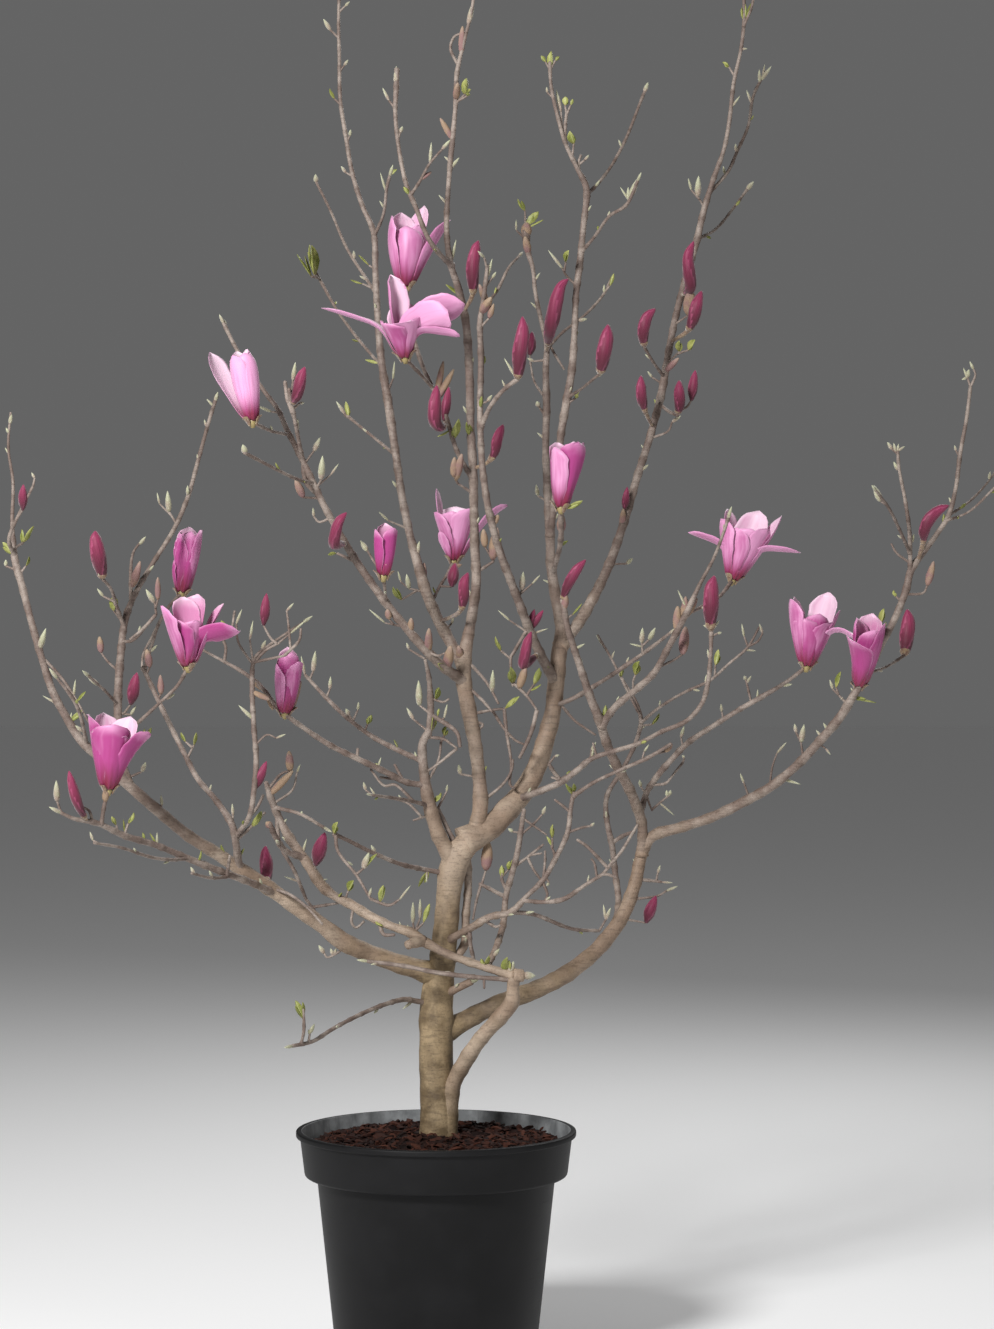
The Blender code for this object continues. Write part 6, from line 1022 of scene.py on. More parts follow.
def anther_finish():
    """Stamens: wine red with cream flanks."""
    r = Recipe("stamen", 0.5)
    fleck = r.noise(600.0, 2.0, 0.5)
    colour = r.over(STAMEN_RED, STAMEN_CREAM, fleck, 0.4, 0.6)
    return r.finish(colour, 0.45 + fleck * 0.1, fleck, bump=0.2, distance=0.0003)


def compost_finish(name, dark, red, pale, lift):
    """Shredded bark: near black to red-brown, each chip a little different, rough by lift."""
    r = Recipe(name, 0.88, Specular_IOR_Level=0.2)
    grain = r.noise((300.0, 300.0, 90.0), 4.0, 0.65)
    clump = r.noise(55.0, 4.0, 0.6)
    colour = r.over(dark, red, clump, 0.35, 0.65)
    colour = r.mix(r.attribute("tint"), colour, pale)
    colour = r.over(colour, dark, grain, 0.5, 0.75, 0.5)
    return r.finish(colour, 0.82 + grain * 0.12, grain * 0.5 + clump * 0.5, bump=lift, distance=0.002)


def plastic_finish():
    """Moulded nursery pot: charcoal, a fine satin grain, faint scuffs and dust low down."""
    look = bpy.context.scene.magnolia_pot
    r = Recipe("pot_plastic", 0.5, Specular_IOR_Level=0.15)
    grain = r.noise(1500.0, 2.0, 0.5)
    cloud = r.noise(14.0, 4.0, 0.6)
    scuffs = r.noise((24.0, 24.0, 420.0), 5.0, 0.7)
    flow = r.noise((60.0, 60.0, 5.0), 3.0, 0.5)
    colour = r.over(look.charcoal, look.worn, cloud, 0.35, 0.7)
    colour = r.over(colour, SCUFF, scuffs, 0.60, 0.74, 0.3)
    rough = 0.46 + cloud * 0.12 + r.steps(scuffs, 0.58, 0.74) * 0.15
    return r.finish(colour, rough, grain * 0.6 + flow * 0.4, bump=0.12, distance=0.0005)


def dusty_finish():
    """Inside of the pot above the compost: the same plastic, bleached and dusty."""
    r = Recipe("pale_inner_plastic", 0.6, Specular_IOR_Level=0.3)
    cloud = r.noise(40.0, 4.0, 0.6)
    streaks = r.noise((120.0, 120.0, 14.0), 3.0, 0.6)
    colour = r.over(INNER_DARK, INNER_LIGHT, cloud, 0.35, 0.7)
    colour = r.over(colour, INNER_STREAK, streaks, 0.5, 0.7, 0.4)
    return r.finish(colour, 0.55 + cloud * 0.2, cloud, bump=0.1, distance=0.0004)


# -------- sizes and colours to change
def colour_of(label, help_text, value):
    return bpy.props.FloatVectorProperty(name=label, description=help_text, default=value, size=3,
                                         subtype="COLOR", min=0.0, max=1.0)


def length_of(label, help_text, value, least, most):
    return bpy.props.FloatProperty(name=label, description=help_text, default=value, min=least,
                                   max=most, unit="LENGTH")


class MagnoliaBark(bpy.types.PropertyGroup):
    """Sizes and colours of the wood."""
    fawn: colour_of("Fawn", "Warm bark of limbs and trunk", (0.122, 0.084, 0.043))
    pale: colour_of("Pale", "Lighter patches of old bark", (0.29, 0.213, 0.122))
    rosy: colour_of("Rosy", "Pinkish bark of middle limbs", (0.235, 0.165, 0.116))
    limb: colour_of("Limb", "Smooth bark of the limbs", (0.37, 0.288, 0.215))
    twig: colour_of("Twig", "Grey-lilac skin of young twigs", (0.27, 0.222, 0.19))
    twig_dark: colour_of("Dark twig", "Browner skin of young twigs", (0.145, 0.105, 0.088))
    # Scar: leaf scars and dark marks, and also the painted shade in the bark's sunk pits and bands.
    scar: colour_of("Scar", "Leaf scars, pits and cracks", (0.042, 0.026, 0.018))
    node_gap: length_of("Node gap", "Distance between two leaf scars", 0.026, 0.01, 0.1)
    node_swell: bpy.props.FloatProperty(name="Node swell", description="Thickening at a leaf scar",
                                        default=0.22, min=0.0, max=1.0, subtype="FACTOR")


class MagnoliaFlowers(bpy.types.PropertyGroup):
    """Sizes and colours of the flowers and their buds."""
    # Outer foot: the petal back's deep base colour with painted shade at the flower's foot.
    outer_foot: colour_of("Outer foot", "Petal back near its foot", (0.16, 0.012, 0.035))
    outer_blade: colour_of("Outer blade", "Petal back over its middle", (0.33, 0.04, 0.18))
    outer_rim: colour_of("Outer rim", "Petal back toward the rim", (0.7, 0.34, 0.55))
    # Inner foot: the petal face's deep base colour with painted shade at the flower's foot.
    inner_foot: colour_of("Inner foot", "Petal face near its foot", (0.3, 0.045, 0.12))
    inner_blade: colour_of("Inner blade", "Petal face over its middle", (0.52, 0.2, 0.36))
    vein: colour_of("Vein", "Lengthwise veins", (0.26, 0.01, 0.1))
    # Bud foot: the closed flower's deep base colour with painted shade at its foot; the veins take this
    # colour too.
    bud_foot: colour_of("Bud foot", "Closed flower near its foot", (0.07, 0.008, 0.02))
    bud_side: colour_of("Bud side", "Closed flower over its length", (0.22, 0.024, 0.072))
    bud_rim: colour_of("Bud rim", "Rolled rim of a closed petal", (0.36, 0.075, 0.155))
    petal_wall: length_of("Petal wall", "Thickness of a petal", 0.0007, 0.0003, 0.003)


class MagnoliaPot(bpy.types.PropertyGroup):
    """Sizes and colours of the pot and the compost."""
    charcoal: colour_of("Charcoal", "Pot plastic", (0.0048, 0.0048, 0.0051))
    worn: colour_of("Worn", "Duller patches of the plastic", (0.0075, 0.0075, 0.008))
    wall: length_of("Wall", "Thickness of the pot's wall", 0.0025, 0.001, 0.01)
    chips: bpy.props.IntProperty(name="Chips", description="How many bark chips lie on the compost",
                                 default=1900, min=0, max=4000)


# -------- pot and compost
POT_SIDES = 144
LIP_DROP, BAND_DROP = 0.007, 0.008   # from the pot's top down to the lip's foot and the band's top
BAND_FOOT = 0.246           # height of the step under the band
BAND_FOOT_RADIUS = 0.164
BAND_TOP_RADIUS = 0.170
NECK_RADIUS = 0.149
FOOT_RADIUS = 0.123
POT_FLOOR = 0.005
# how far each corner of the pot's outline is rounded
POT_CORNERS = (0, 0.0008, 0.002, 0.002, 0.004, 0.0008, 0.0012, 0.0022, 0.0008, 0.002, 0.002, 0.002, 0)
SMOOTH_BELOW = math.radians(38)   # edges flatter than this are shaded smooth
DRAIN_HOLES = 6
DRAIN_SIDES = 40
DRAIN_RADIUS = 0.009
DRAIN_RING = 0.096
CUTTER_DEPTH = 0.03

SOIL_SIDES, SOIL_RINGS = 160, 44
SOIL_CLEAR = 0.0006         # gap between the compost and the pot
SOIL_FLAT = 0.29            # height of the turned surface, before it is domed
SOIL_RIM = 0.285            # height at the rim
SOIL_DOME = 0.013           # rise from the rim to the trunk
SOIL_LUMPS = ((22.0, 0.3, 0.0045), (90.0, 1.7, 0.0026), (260.0, 4.1, 0.0012))   # scale, offset, height
CHIP_SEED = 11
CHIP_LENGTHS = (0.004, 0.006, 0.009, 0.012, 0.016)


def round_corner(before, corner, after, radius, parts=4):
    """Points of an arc that rounds one corner of an outline."""
    corner = Vector(corner)
    back = (Vector(before) - corner).normalized()
    on = (Vector(after) - corner).normalized()
    reach = radius / math.tan(back.angle(on) / 2)
    start = corner + back * reach
    end = corner + on * reach
    out = []
    for k in range(parts + 1):
        t = k / parts
        out.append(tuple(start * (1 - t) ** 2 + corner * 2 * t * (1 - t) + end * t * t))
    return out


def rounded(outline, radii):
    """An outline with its inner corners rounded, each by its own radius."""
    out = [outline[0]]
    for i in range(1, len(outline) - 1):
        if radii[i]:
            out += round_corner(outline[i - 1], outline[i], outline[i + 1], radii[i])
        else:
            out.append(outline[i])
    out.append(outline[-1])
    return out


def make_pot():
    """Round nursery pot: rolled lip, band, tapering body, floor with its ring of drain holes."""
    wall = bpy.context.scene.magnolia_pot.wall
    lip, top = POT_TOP.x, POT_TOP.z
    outline = [
        (0.0, 0.0), (FOOT_RADIUS - 0.003, 0.0), (FOOT_RADIUS, 0.004), (NECK_RADIUS, BAND_FOOT),
        (BAND_FOOT_RADIUS, BAND_FOOT), (BAND_TOP_RADIUS, top - BAND_DROP), (lip, top - LIP_DROP),
        (lip, top), (BAND_TOP_RADIUS - wall, top), (BAND_FOOT_RADIUS - wall, BAND_FOOT + 0.005),
        (NECK_RADIUS - wall, BAND_FOOT + 0.003), (FOOT_RADIUS - wall, POT_FLOOR), (0.0, POT_FLOOR)]
    pot = turn_outline("nursery_pot", rounded(outline, POT_CORNERS), POT_SIDES)
    for k in range(DRAIN_HOLES):
        turn = math.tau * (k + 0.5) / DRAIN_HOLES
        place = (DRAIN_RING * math.cos(turn), DRAIN_RING * math.sin(turn), 0.0)
        deselect()
        bpy.ops.mesh.primitive_cylinder_add(vertices=DRAIN_SIDES, radius=DRAIN_RADIUS,
                                            depth=CUTTER_DEPTH, location=place)
        cutter = bpy.context.object
        finish_with(pot, "BOOLEAN", operation="DIFFERENCE", solver="EXACT", object=cutter)
        bpy.data.objects.remove(cutter)
    pick(pot)
    bpy.ops.object.shade_smooth_by_angle(angle=SMOOTH_BELOW)
    dress(pot, "pot_plastic", plastic_finish(), dusty_finish(), stands_for=("pot",))
    # inward faces above the band take the paler grey
    for face in pot.data.polygons:
        inward = face.center.x * face.normal.x + face.center.y * face.normal.y < 0
        if inward and face.center.z > BAND_FOOT:
            face.material_index = 1


def soil_height(x, y):
    """Height of the compost's surface: domed toward the trunk, lumpy all over."""
    height = SOIL_RIM + SOIL_DOME * max(0.0, 1.0 - math.hypot(x, y) / SOIL_TOP.x)
    for scale, offset, lump in SOIL_LUMPS:
        height += noise.noise(Vector((x, y, offset)) * scale) * lump
    return height


def make_compost():
    """Bark compost: a lumpy mound in the pot, strewn with chips and shreds."""
    wall = bpy.context.scene.magnolia_pot.wall
    foot, neck, edge = (r - wall - SOIL_CLEAR for r in (FOOT_RADIUS, NECK_RADIUS, BAND_FOOT_RADIUS))
    outline = [(0.0, POT_FLOOR + SOIL_CLEAR), (foot, POT_FLOOR + SOIL_CLEAR),
               (neck, BAND_FOOT + 0.003), (edge - 0.002, BAND_FOOT + 0.006),
               (edge, BAND_FOOT + 0.008), (edge, 0.27), (edge, 0.283)]
    outline += [(edge * (1 - k / SOIL_RINGS), SOIL_FLAT) for k in range(SOIL_RINGS + 1)]
    soil = turn_outline("bark_compost", outline, SOIL_SIDES)
    for vert in soil.data.vertices:
        if vert.co.z > SOIL_FLAT - 0.0001:
            vert.co.z = soil_height(vert.co.x, vert.co.y)
    soil.data.attributes.new("tint", "FLOAT", "POINT")
    soil.data.shade_smooth()
    dress(soil, "compost", compost_finish("compost", *SOIL_COLOURS, lift=0.9), stands_for=("soil",))
    make_chips(edge)


def shred(rng, length):
    """One flat torn chip (m): a tapered block with bent corners, as points of a box."""
    half = Vector((length / 2, length * rng.uniform(0.10, 0.32), length * rng.uniform(0.04, 0.12)))
    points = []
    for sx in (-1, -0.3, 0.4, 1):
        for sy, sz in ((-1, -1), (1, -1), (1, 1), (-1, 1)):
            taper = 1.0 - abs(sx) * rng.uniform(0.25, 0.7)
            sag = (1 - sx * sx) * length * 0.06
            points.append(Vector((sx * half.x, sy * half.y * taper, sz * half.z * taper + sag)))
    return points


def make_chips(edge):
    """Shreds of bark that lie in all directions on the compost, in one piece."""
    rng = random.Random(CHIP_SEED)
    bm = bmesh.new()
    tint = bm.verts.layers.float.new("tint")
    for _ in range(bpy.context.scene.magnolia_pot.chips):
        reach = (edge - 0.006) * math.sqrt(rng.random())
        turn = rng.uniform(0, math.tau)
        x, y = reach * math.cos(turn), reach * math.sin(turn)
        length = rng.choice(CHIP_LENGTHS) * rng.uniform(0.7, 1.15)
        lay = Matrix.Rotation(rng.uniform(0, math.tau), 4, "Z")
        lay = lay @ Matrix.Rotation(rng.gauss(0, 0.32), 4, "Y")
        lay = lay @ Matrix.Rotation(rng.gauss(0, 0.5), 4, "X")
        place = Matrix.Translation((x, y, soil_height(x, y) + rng.uniform(-0.0004, 0.0022)))
        shade = rng.random() ** 2.2
        corners = [bm.verts.new(place @ lay @ p) for p in shred(rng, length)]
        for vert in corners:
            vert[tint] = shade
        rings = [corners[i:i + 4] for i in range(0, 16, 4)]
        for low, high in zip(rings, rings[1:]):
            join_rings(bm, low, high)
        bm.faces.new(rings[0][::-1])
        bm.faces.new(rings[-1])
    chips = mesh_piece("bark_chips", bm, smooth=False)
    dress(chips, "compost", compost_finish("chips", *CHIP_COLOURS, lift=0.5))


# -------- wood
TUBE_SIDES = ((0.015, 22), (0.007, 14), (0.0026, 10), (0.0, 7))   # thicker than, sides
LONGEST = 9.0               # m, further than any branch runs
OLD_RADIUS = 0.0145         # wood from this radius up has old bark,
YOUNGER = (0.44, 0.76)      # less so the higher it stands between these heights
FLARE = 0.55                # how much a branch widens at its root
BULGE, WRINKLE = (26.0, 0.085), (110.0, 0.05)   # scale and height of the bark's unevenness
OLD_WOOD = ("trunk", "low_stem", "left_limb", "right_limb")
# The low stem's foot runs down the trunk into the compost as a ridge, drawn as the wood is.
ROOT_RIDGE = {"low_stem": (1.1,25,-.5,1.35, 1.2,28,-.55,1.3, 1.4,31.4,-.65,1.25, 1.75,34.2,-.9,1.12)}


def smooth_step(x, low, high):
    t = min(1.0, max(0.0, (x - low) / (high - low)))
    return t * t * (3 - 2 * t)


def tube(bm, layers, route, rng, flare):
    """Bark of one branch: rings with leaf-scar swellings along a soft curve, tip rounded."""
    look = bpy.context.scene.magnolia_bark
    age, _ = layers
    thick = max(p[3] for p in route) * CM
    samples = smooth_route(route, min(max(thick * 0.55, 0.0028), 0.008))
    sides = next(count for least, count in TUBE_SIDES if thick > least)
    seed = rng.uniform(0, 50)
    scars = [rng.uniform(0.4, 1.0) * look.node_gap]
    while scars[-1] < LONGEST:
        scars.append(scars[-1] + look.node_gap * rng.uniform(0.7, 1.5))
    walked = 0.0
    rings = []
    last = samples[0][0]
    for (point, radius), (heading, side) in zip(samples, steady_frames([p for p, _ in samples])):
        walked += (point - last).length
        last = point
        near = min(abs(walked - s) for s in scars)
        ridge = math.exp(-(near / (radius * 0.55 + 0.0009)) ** 2)
        swell = 1.0 + look.node_swell * ridge * min(1.0, 0.004 / radius)
        root = radius * 4
        if flare and walked < root:
            swell *= 1.0 + FLARE * (1.0 - walked / root) ** 2
        rings.append(ring_of(bm, layers, point, heading, side, radius * swell, sides, seed, ridge))
    cap = bm.verts.new(point + heading * radius * 0.6)
    cap[age] = rings[-1][0][age]
    for low, high in zip(rings, rings[1:]):
        join_rings(bm, low, high)
    bm.faces.new(rings[0][::-1])
    for k in range(sides):
        bm.faces.new((rings[-1][k], rings[-1][(k + 1) % sides], cap))


def ring_of(bm, layers, point, heading, side, radius, sides, seed, ridge):
    """One ring of bark, a little out of round, as real wood is."""
    age, scar = layers
    old = min(1.0, radius / OLD_RADIUS) * (1.0 - 0.5 * smooth_step(point.z, *YOUNGER))
    ring = []
    for k in range(sides):
        out = Matrix.Rotation(math.tau * k / sides, 3, heading) @ side
        skin = point + out * radius
        bulge = noise.noise(skin * BULGE[0] + Vector((seed, 0, 0))) * BULGE[1]
        wrinkle = noise.noise(skin * WRINKLE[0]) * WRINKLE[1]
        vert = bm.verts.new(point + out * radius * (1.0 + bulge + wrinkle))
        vert[age] = old
        vert[scar] = ridge * (0.55 + 0.45 * noise.noise(skin * 300.0))
        ring.append(vert)
    return ring


def bark_layers(bm):
    return bm.verts.layers.float.new("age"), bm.verts.layers.float.new("scar")


def make_wood():
    """Bark over every branch, one piece for each branch node of the solids."""
    material = bark_finish()
    for node, branches in WOOD.items():
        bm = bmesh.new()
        layers = bark_layers(bm)
        for name, (carrier, *_) in branches.items():
            route = drawn_points(ROOT_RIDGE.get(name, ())) + ROUTES[name][name in ROOT_RIDGE:]
            tube(bm, layers, route, random.Random(name), flare=bool(carrier))
        slot = "old_bark" if node in OLD_WOOD else "twig_bark"
        dress(mesh_piece(node + "_bark", bm), slot, material, stands_for=(node,))


# -------- petals
PETAL_ROWS = 18
PETAL_COLUMNS = 12
HEART_RADIUS = 0.0042       # where the petals stand round a flower's axis
TUCK = 7                    # degrees that a petal stands closer than its drawn lean
FOOT_SPREAD, FOOT_SHARE = 62, 0.07   # degrees that a petal's foot turns out, and how soon that ends
TIGHT_WRAP, OPEN_WRAP = 0.62, 1.6   # a blade's radius across, for each unit of its half width
LAP = 0.08                  # how far one edge rides over the next petal, the other edge under
KNEE_CURL = 65              # degrees: petals that end wider than this turn out at a knee
KNEE_LENGTH = 0.4           # share of the petal that the knee takes
PLAIN_PETAL = (0.0, 0.0, 0.1)   # own paleness, roll in degrees, and where the knee begins
SCALE_WALL = 0.0009
BUD_STEP = 0.0024           # m between two rings of a closed flower
FOLD_TOP = 0.88             # share of a lap's width where it is thickest
BLADE_OUTLINE = ((0.0, 0.34), (0.12, 0.47), (0.3, 0.74), (0.5, 0.94), (0.66, 1.0), (0.80, 0.95),
                 (0.90, 0.76), (0.96, 0.48), (1.0, 0.08))
CLOSED_OUTLINE = ((0.0, 0.5), (0.08, 0.66), (0.25, 0.88), (0.45, 1.0), (0.68, 0.93), (0.84, 0.72),
                  (0.94, 0.44), (1.0, 0.10))
# The cone in a flower's heart, in cm: how far along the axis, and how thick there.
CONE = ((-0.7, 0.24), (-0.4, 0.36), (-0.1, 0.52), (0.12, 0.50), (0.5, 0.36), (1.1, 0.33),
        (1.6, 0.30), (2.1, 0.24), (2.6, 0.14), (2.9, 0.03))
PALE_FACE = (0.74, 0.56, 0.66)   # a petal's face toward its rim
STAMEN_RINGS = ((13, 0.7, 0.75), (11, 1.1, 0.5))   # how many, cm up the cone, lean in radians


def between(table, x):
    """Value at x in a table of (x, value) pairs, eased from one to the next."""
    for (x0, y0), (x1, y1) in zip(table, table[1:]):
        if x <= x1:
            t = (x - x0) / (x1 - x0)
            return y0 + (y1 - y0) * t * t * (3 - 2 * t) * 0.5 + (y1 - y0) * t * 0.5
    return table[-1][1]


def add_petal(bm, layers, seat, axis, petal, rng, wall, tint=0.0, grow=1.0):
    """One petal on a flower's axis: a cupped blade on a curling midrib, front and back skin."""
    along_layer, rim_layer, tint_layer, uv_layer = layers
    side, length, width, lean, curl, *own = petal
    own_tint, own_roll, knee = (*own, *PLAIN_PETAL[len(own):])
    length, width = length * CM * grow, width * CM * grow
    lean -= TUCK
    right = Vector((0.0, 1.0, 0.0)).cross(axis).normalized()
    away = axis.cross(right).normalized()
    turn = math.radians(side)
    outward = right * math.cos(turn) + away * math.sin(turn)
    across = axis.cross(outward).normalized()
    twist = rng.uniform(-0.25, 0.25)
    wave = rng.uniform(0.02, 0.07)
    phase = rng.uniform(0, 6)
    shade = tint + own_tint + rng.uniform(-0.1, 0.1)
    point = seat + outward * HEART_RADIUS
    front, back = [], []
    last = 0.0
    for i in range(PETAL_ROWS + 1):
        v = (i / PETAL_ROWS) ** 1.2
        bend = v * v if curl < KNEE_CURL else smooth_step(v, knee, knee + KNEE_LENGTH)
        angle = math.radians(lean + (curl - lean) * bend + FOOT_SPREAD * math.exp(-v / FOOT_SHARE))
        along = axis * math.cos(angle) + outward * math.sin(angle)
        point = point + along * length * (v - last)
        last = v
        normal = outward * math.cos(angle) - axis * math.sin(angle)
        ragged = noise.noise(Vector((v * 7.0, phase, 0.0))) * 0.16 * v
        half = width * 0.5 * between(BLADE_OUTLINE, v) * (1.0 + ragged)
        reach = (point - seat).dot(outward)
        bow = min(max(reach, half * TIGHT_WRAP), half * OPEN_WRAP)
        arc = half / bow
        roll = Matrix.Rotation(twist * v + math.radians(own_roll) * smooth_step(v, 0.1, 0.6), 3, along)
        across_now = roll @ across
        normal_now = roll @ normal
        for row in (front, back):
            row.append([])
        for j in range(PETAL_COLUMNS + 1):
            u = j / PETAL_COLUMNS * 2 - 1
            flat = bow * math.sin(u * arc)
            deep = bow * (1 - math.cos(u * arc)) - half * LAP * u
            ripple = width * wave * u * u * math.sin(v * 7 + phase + u * 2) * v
            crease = -width * 0.03 * math.exp(-(u / 0.16) ** 2) * (1 - v)
            lie = point + across_now * flat - normal_now * (deep + ripple + crease)
            skin = wall * (0.55 if abs(u) < 0.95 and 0 < i < PETAL_ROWS else 0.2)
            thick = 1.0 + 1.6 * max(0.0, 1 - v * 4)
            for rows, sign in ((front, -1), (back, 1)):
                vert = bm.verts.new(lie + normal_now * sign * skin * thick)
                vert[along_layer] = v
                vert[rim_layer] = max(abs(u) ** 3 * 0.8, max(0.0, v - 0.5) / 0.5)
                vert[tint_layer] = shade
                rows[-1].append(vert)
    stitch(bm, uv_layer, front, back)


def stitch(bm, uv_layer, front, back):
    """Close a petal: its face, its back and the thin rim between them."""
    rows, columns = len(front), len(front[0])

    def quad(corners, places, slot):
        face = bm.faces.new(corners)
        face.material_index = slot
        for loop, place in zip(face.loops, places):
            loop[uv_layer].uv = place

    def rim(grid):
        return (grid[0] + [row[-1] for row in grid[1:]] + grid[-1][-2::-1]
                + [row[0] for row in grid[-2:0:-1]])

    for i in range(rows - 1):
        for j in range(columns - 1):
            corners = ((i, j), (i, j + 1), (i + 1, j + 1), (i + 1, j))
            places = [(k / columns, m / rows) for m, k in corners]
            quad([front[m][k] for m, k in reversed(corners)], places[::-1], 1)
            quad([back[m][k] for m, k in corners], places, 0)
    edge = list(zip(rim(back), rim(front)))
    for (outer, inner), (next_outer, next_inner) in zip(edge, edge[1:] + edge[:1]):
        quad((outer, inner, next_inner, next_outer), [(0, 0)] * 4, 0)


def petal_layers(bm):
    verts = bm.verts.layers.float
    return (verts.new("along"), verts.new("rim"), verts.new("tint"), bm.loops.layers.uv.new("UVMap"))


def add_body(bm, layers, path, radii, sides, slot, ridges=0, twist=0.0, lap=0.0):
    """A closed, rounded body along a path, with overlapping laps that wind up it."""
    along_layer, rim_layer, _, uv_layer = layers
    count = len(path)
    rings = []
    for i, (heading, side) in enumerate(steady_frames(path)):
        v = i / (count - 1)
        ring = []
        for k in range(sides):
            share = k / sides
            fold = (share * ridges + twist * v) % 1.0 if ridges else 0.0
            step = fold - 0.5
            if ridges and fold > FOLD_TOP:
                step = 0.5 - (fold - FOLD_TOP) / (1 - FOLD_TOP)
            radius = radii[i] * (1.0 + lap * step * min(1.0, 4 * v))
            out = Matrix.Rotation(math.tau * share, 3, heading) @ side
            vert = bm.verts.new(path[i] + out * radius)
            vert[along_layer] = v
            vert[rim_layer] = max(0.0, (fold - 0.6) / 0.4) if ridges else 0.0
            ring.append(vert)
        rings.append(ring)
    for i, (low, high) in enumerate(zip(rings, rings[1:])):
        for k, face in enumerate(join_rings(bm, low, high)):
            face.material_index = slot
            for loop, (right, up) in zip(face.loops, ((0, 0), (1, 0), (1, 1), (0, 1))):
                loop[uv_layer].uv = ((k + right) / sides, (i + up) / count)
    for ring in (rings[0][::-1], rings[-1]):
        bm.faces.new(ring).material_index = slot


def add_scale(bm, layers, seat, axis, petal, slot, rng):
    """One downy bud scale at the foot of a flower."""
    before = len(bm.faces)
    add_petal(bm, layers, seat, axis, petal, rng, SCALE_WALL)
    bm.faces.ensure_lookup_table()
    for face in bm.faces[before:]:
        face.material_index = slot


def bud_foot(radii):
    """Which sample of a closed flower's route ends its stalk and begins its petals."""
    fattest = radii.index(max(radii))
    return next(i for i, r in enumerate(radii) if r > max(radii) * 0.45 or i == fattest)


def add_cap(bm, layers, path, radii, rng):
    """The split remains of the downy scale that clasp the foot of a closed flower."""
    first = bud_foot(radii)
    low, high = max(first - 1, 0), min(first + 2, len(path) - 1)
    clasp = [r * 1.05 + 0.0003 for r in radii[low:high + 1]]
    clasp[-1] = radii[high] * 0.96
    add_body(bm, layers, path[low:high + 1], clasp, 18, 1, ridges=2, twist=rng.uniform(-0.6, 0.6),
             lap=0.1)


def add_stamens(bm, layers, foot, axis, rng):
    """Two rings of slim stamens round the pistil."""
    right = axis.orthogonal().normalized()
    for ring, (count, rise, lean) in enumerate(STAMEN_RINGS):
        for k in range(count):
            turn = math.tau * (k + ring * 0.5) / count + rng.uniform(-0.1, 0.1)
            outward = Matrix.Rotation(turn, 3, axis) @ right
            start = foot + axis * rise * CM + outward * 0.0028
            reach = (axis * math.cos(lean) + outward * math.sin(lean)) * rng.uniform(0.007, 0.010)
            path = [start, start + reach * 0.6, start + reach + axis * 0.0012]
            add_body(bm, layers, path, (0.0005, 0.0008, 0.0004), 5, 4)


def make_flowers():
    """Every open flower: petals, the cone of stamens, the green receptacle and its scale."""
    look = bpy.context.scene.magnolia_flowers
    outer = petal_finish("petal_back", look.outer_foot, look.outer_blade, look.outer_rim, look.vein)
    inner = petal_finish("petal_face", look.inner_foot, look.inner_blade, PALE_FACE, look.outer_rim)
    materials = (outer, inner, stamen_finish(), scale_finish(), anther_finish())
    for name, (carrier, seat, tip, paleness, petals) in FLOWERS.items():
        rng = random.Random(name)
        seated = grown(drawn_points((*seat, 0, *tip, 0)), ROUTES[carrier])
        foot, top = (spot(*place[:3]) for place in seated)
        axis = (top - foot).normalized()
        grow = (foot.y / CM - EYE[1]) / -EYE[1]
        bm = bmesh.new()
        layers = petal_layers(bm)
        add_body(bm, layers, [foot + axis * high * CM for high, _ in CONE],
                 [thick * CM for _, thick in CONE], 14, 2, ridges=7, twist=1.5, lap=0.16)
        add_stamens(bm, layers, foot, axis, rng)
        for petal in petals:
            add_petal(bm, layers, foot + axis * 0.002, axis, petal, rng, look.petal_wall, paleness, grow)
        for side in (200, 340):
            bract = (side + rng.uniform(-30, 30), rng.uniform(1.2, 1.8), 1.0, 34, 58)
            add_scale(bm, layers, foot - axis * 0.004, axis, bract, 3, rng)
        dress(mesh_piece(name + "_petals", bm), "petal", *materials, stands_for=(name,))


def make_flower_buds():
    """Every closed flower: wrapped plum petals that wind to a point, in its downy scale."""
    closed = bud_finish()
    downy = scale_finish()
    for name, (carrier, *flat) in BUDS.items():
        rng = random.Random(name)
        samples = smooth_route(grown(drawn_points(flat), ROUTES[carrier]), BUD_STEP)[1:]
        path, radii = (list(column) for column in zip(*samples))
        first = bud_foot(radii)
        rise = len(radii) - 1 - first
        radii = radii[:first] + [0.3 * r + 0.7 * max(radii) * between(CLOSED_OUTLINE, i / rise)
                                 for i, r in enumerate(radii[first:])]
        bm = bmesh.new()
        layers = petal_layers(bm)
        if first > 1:
            add_body(bm, layers, path[:first + 1], radii[:first + 1], 12, 1)
        add_body(bm, layers, path[first:], radii[first:], 24, 0, ridges=3,
                 twist=rng.choice((-0.9, 0.9)), lap=0.16)
        add_cap(bm, layers, path, radii, rng)
        dress(mesh_piece(name + "_closed", bm), "bud", closed, downy, stands_for=(name,))


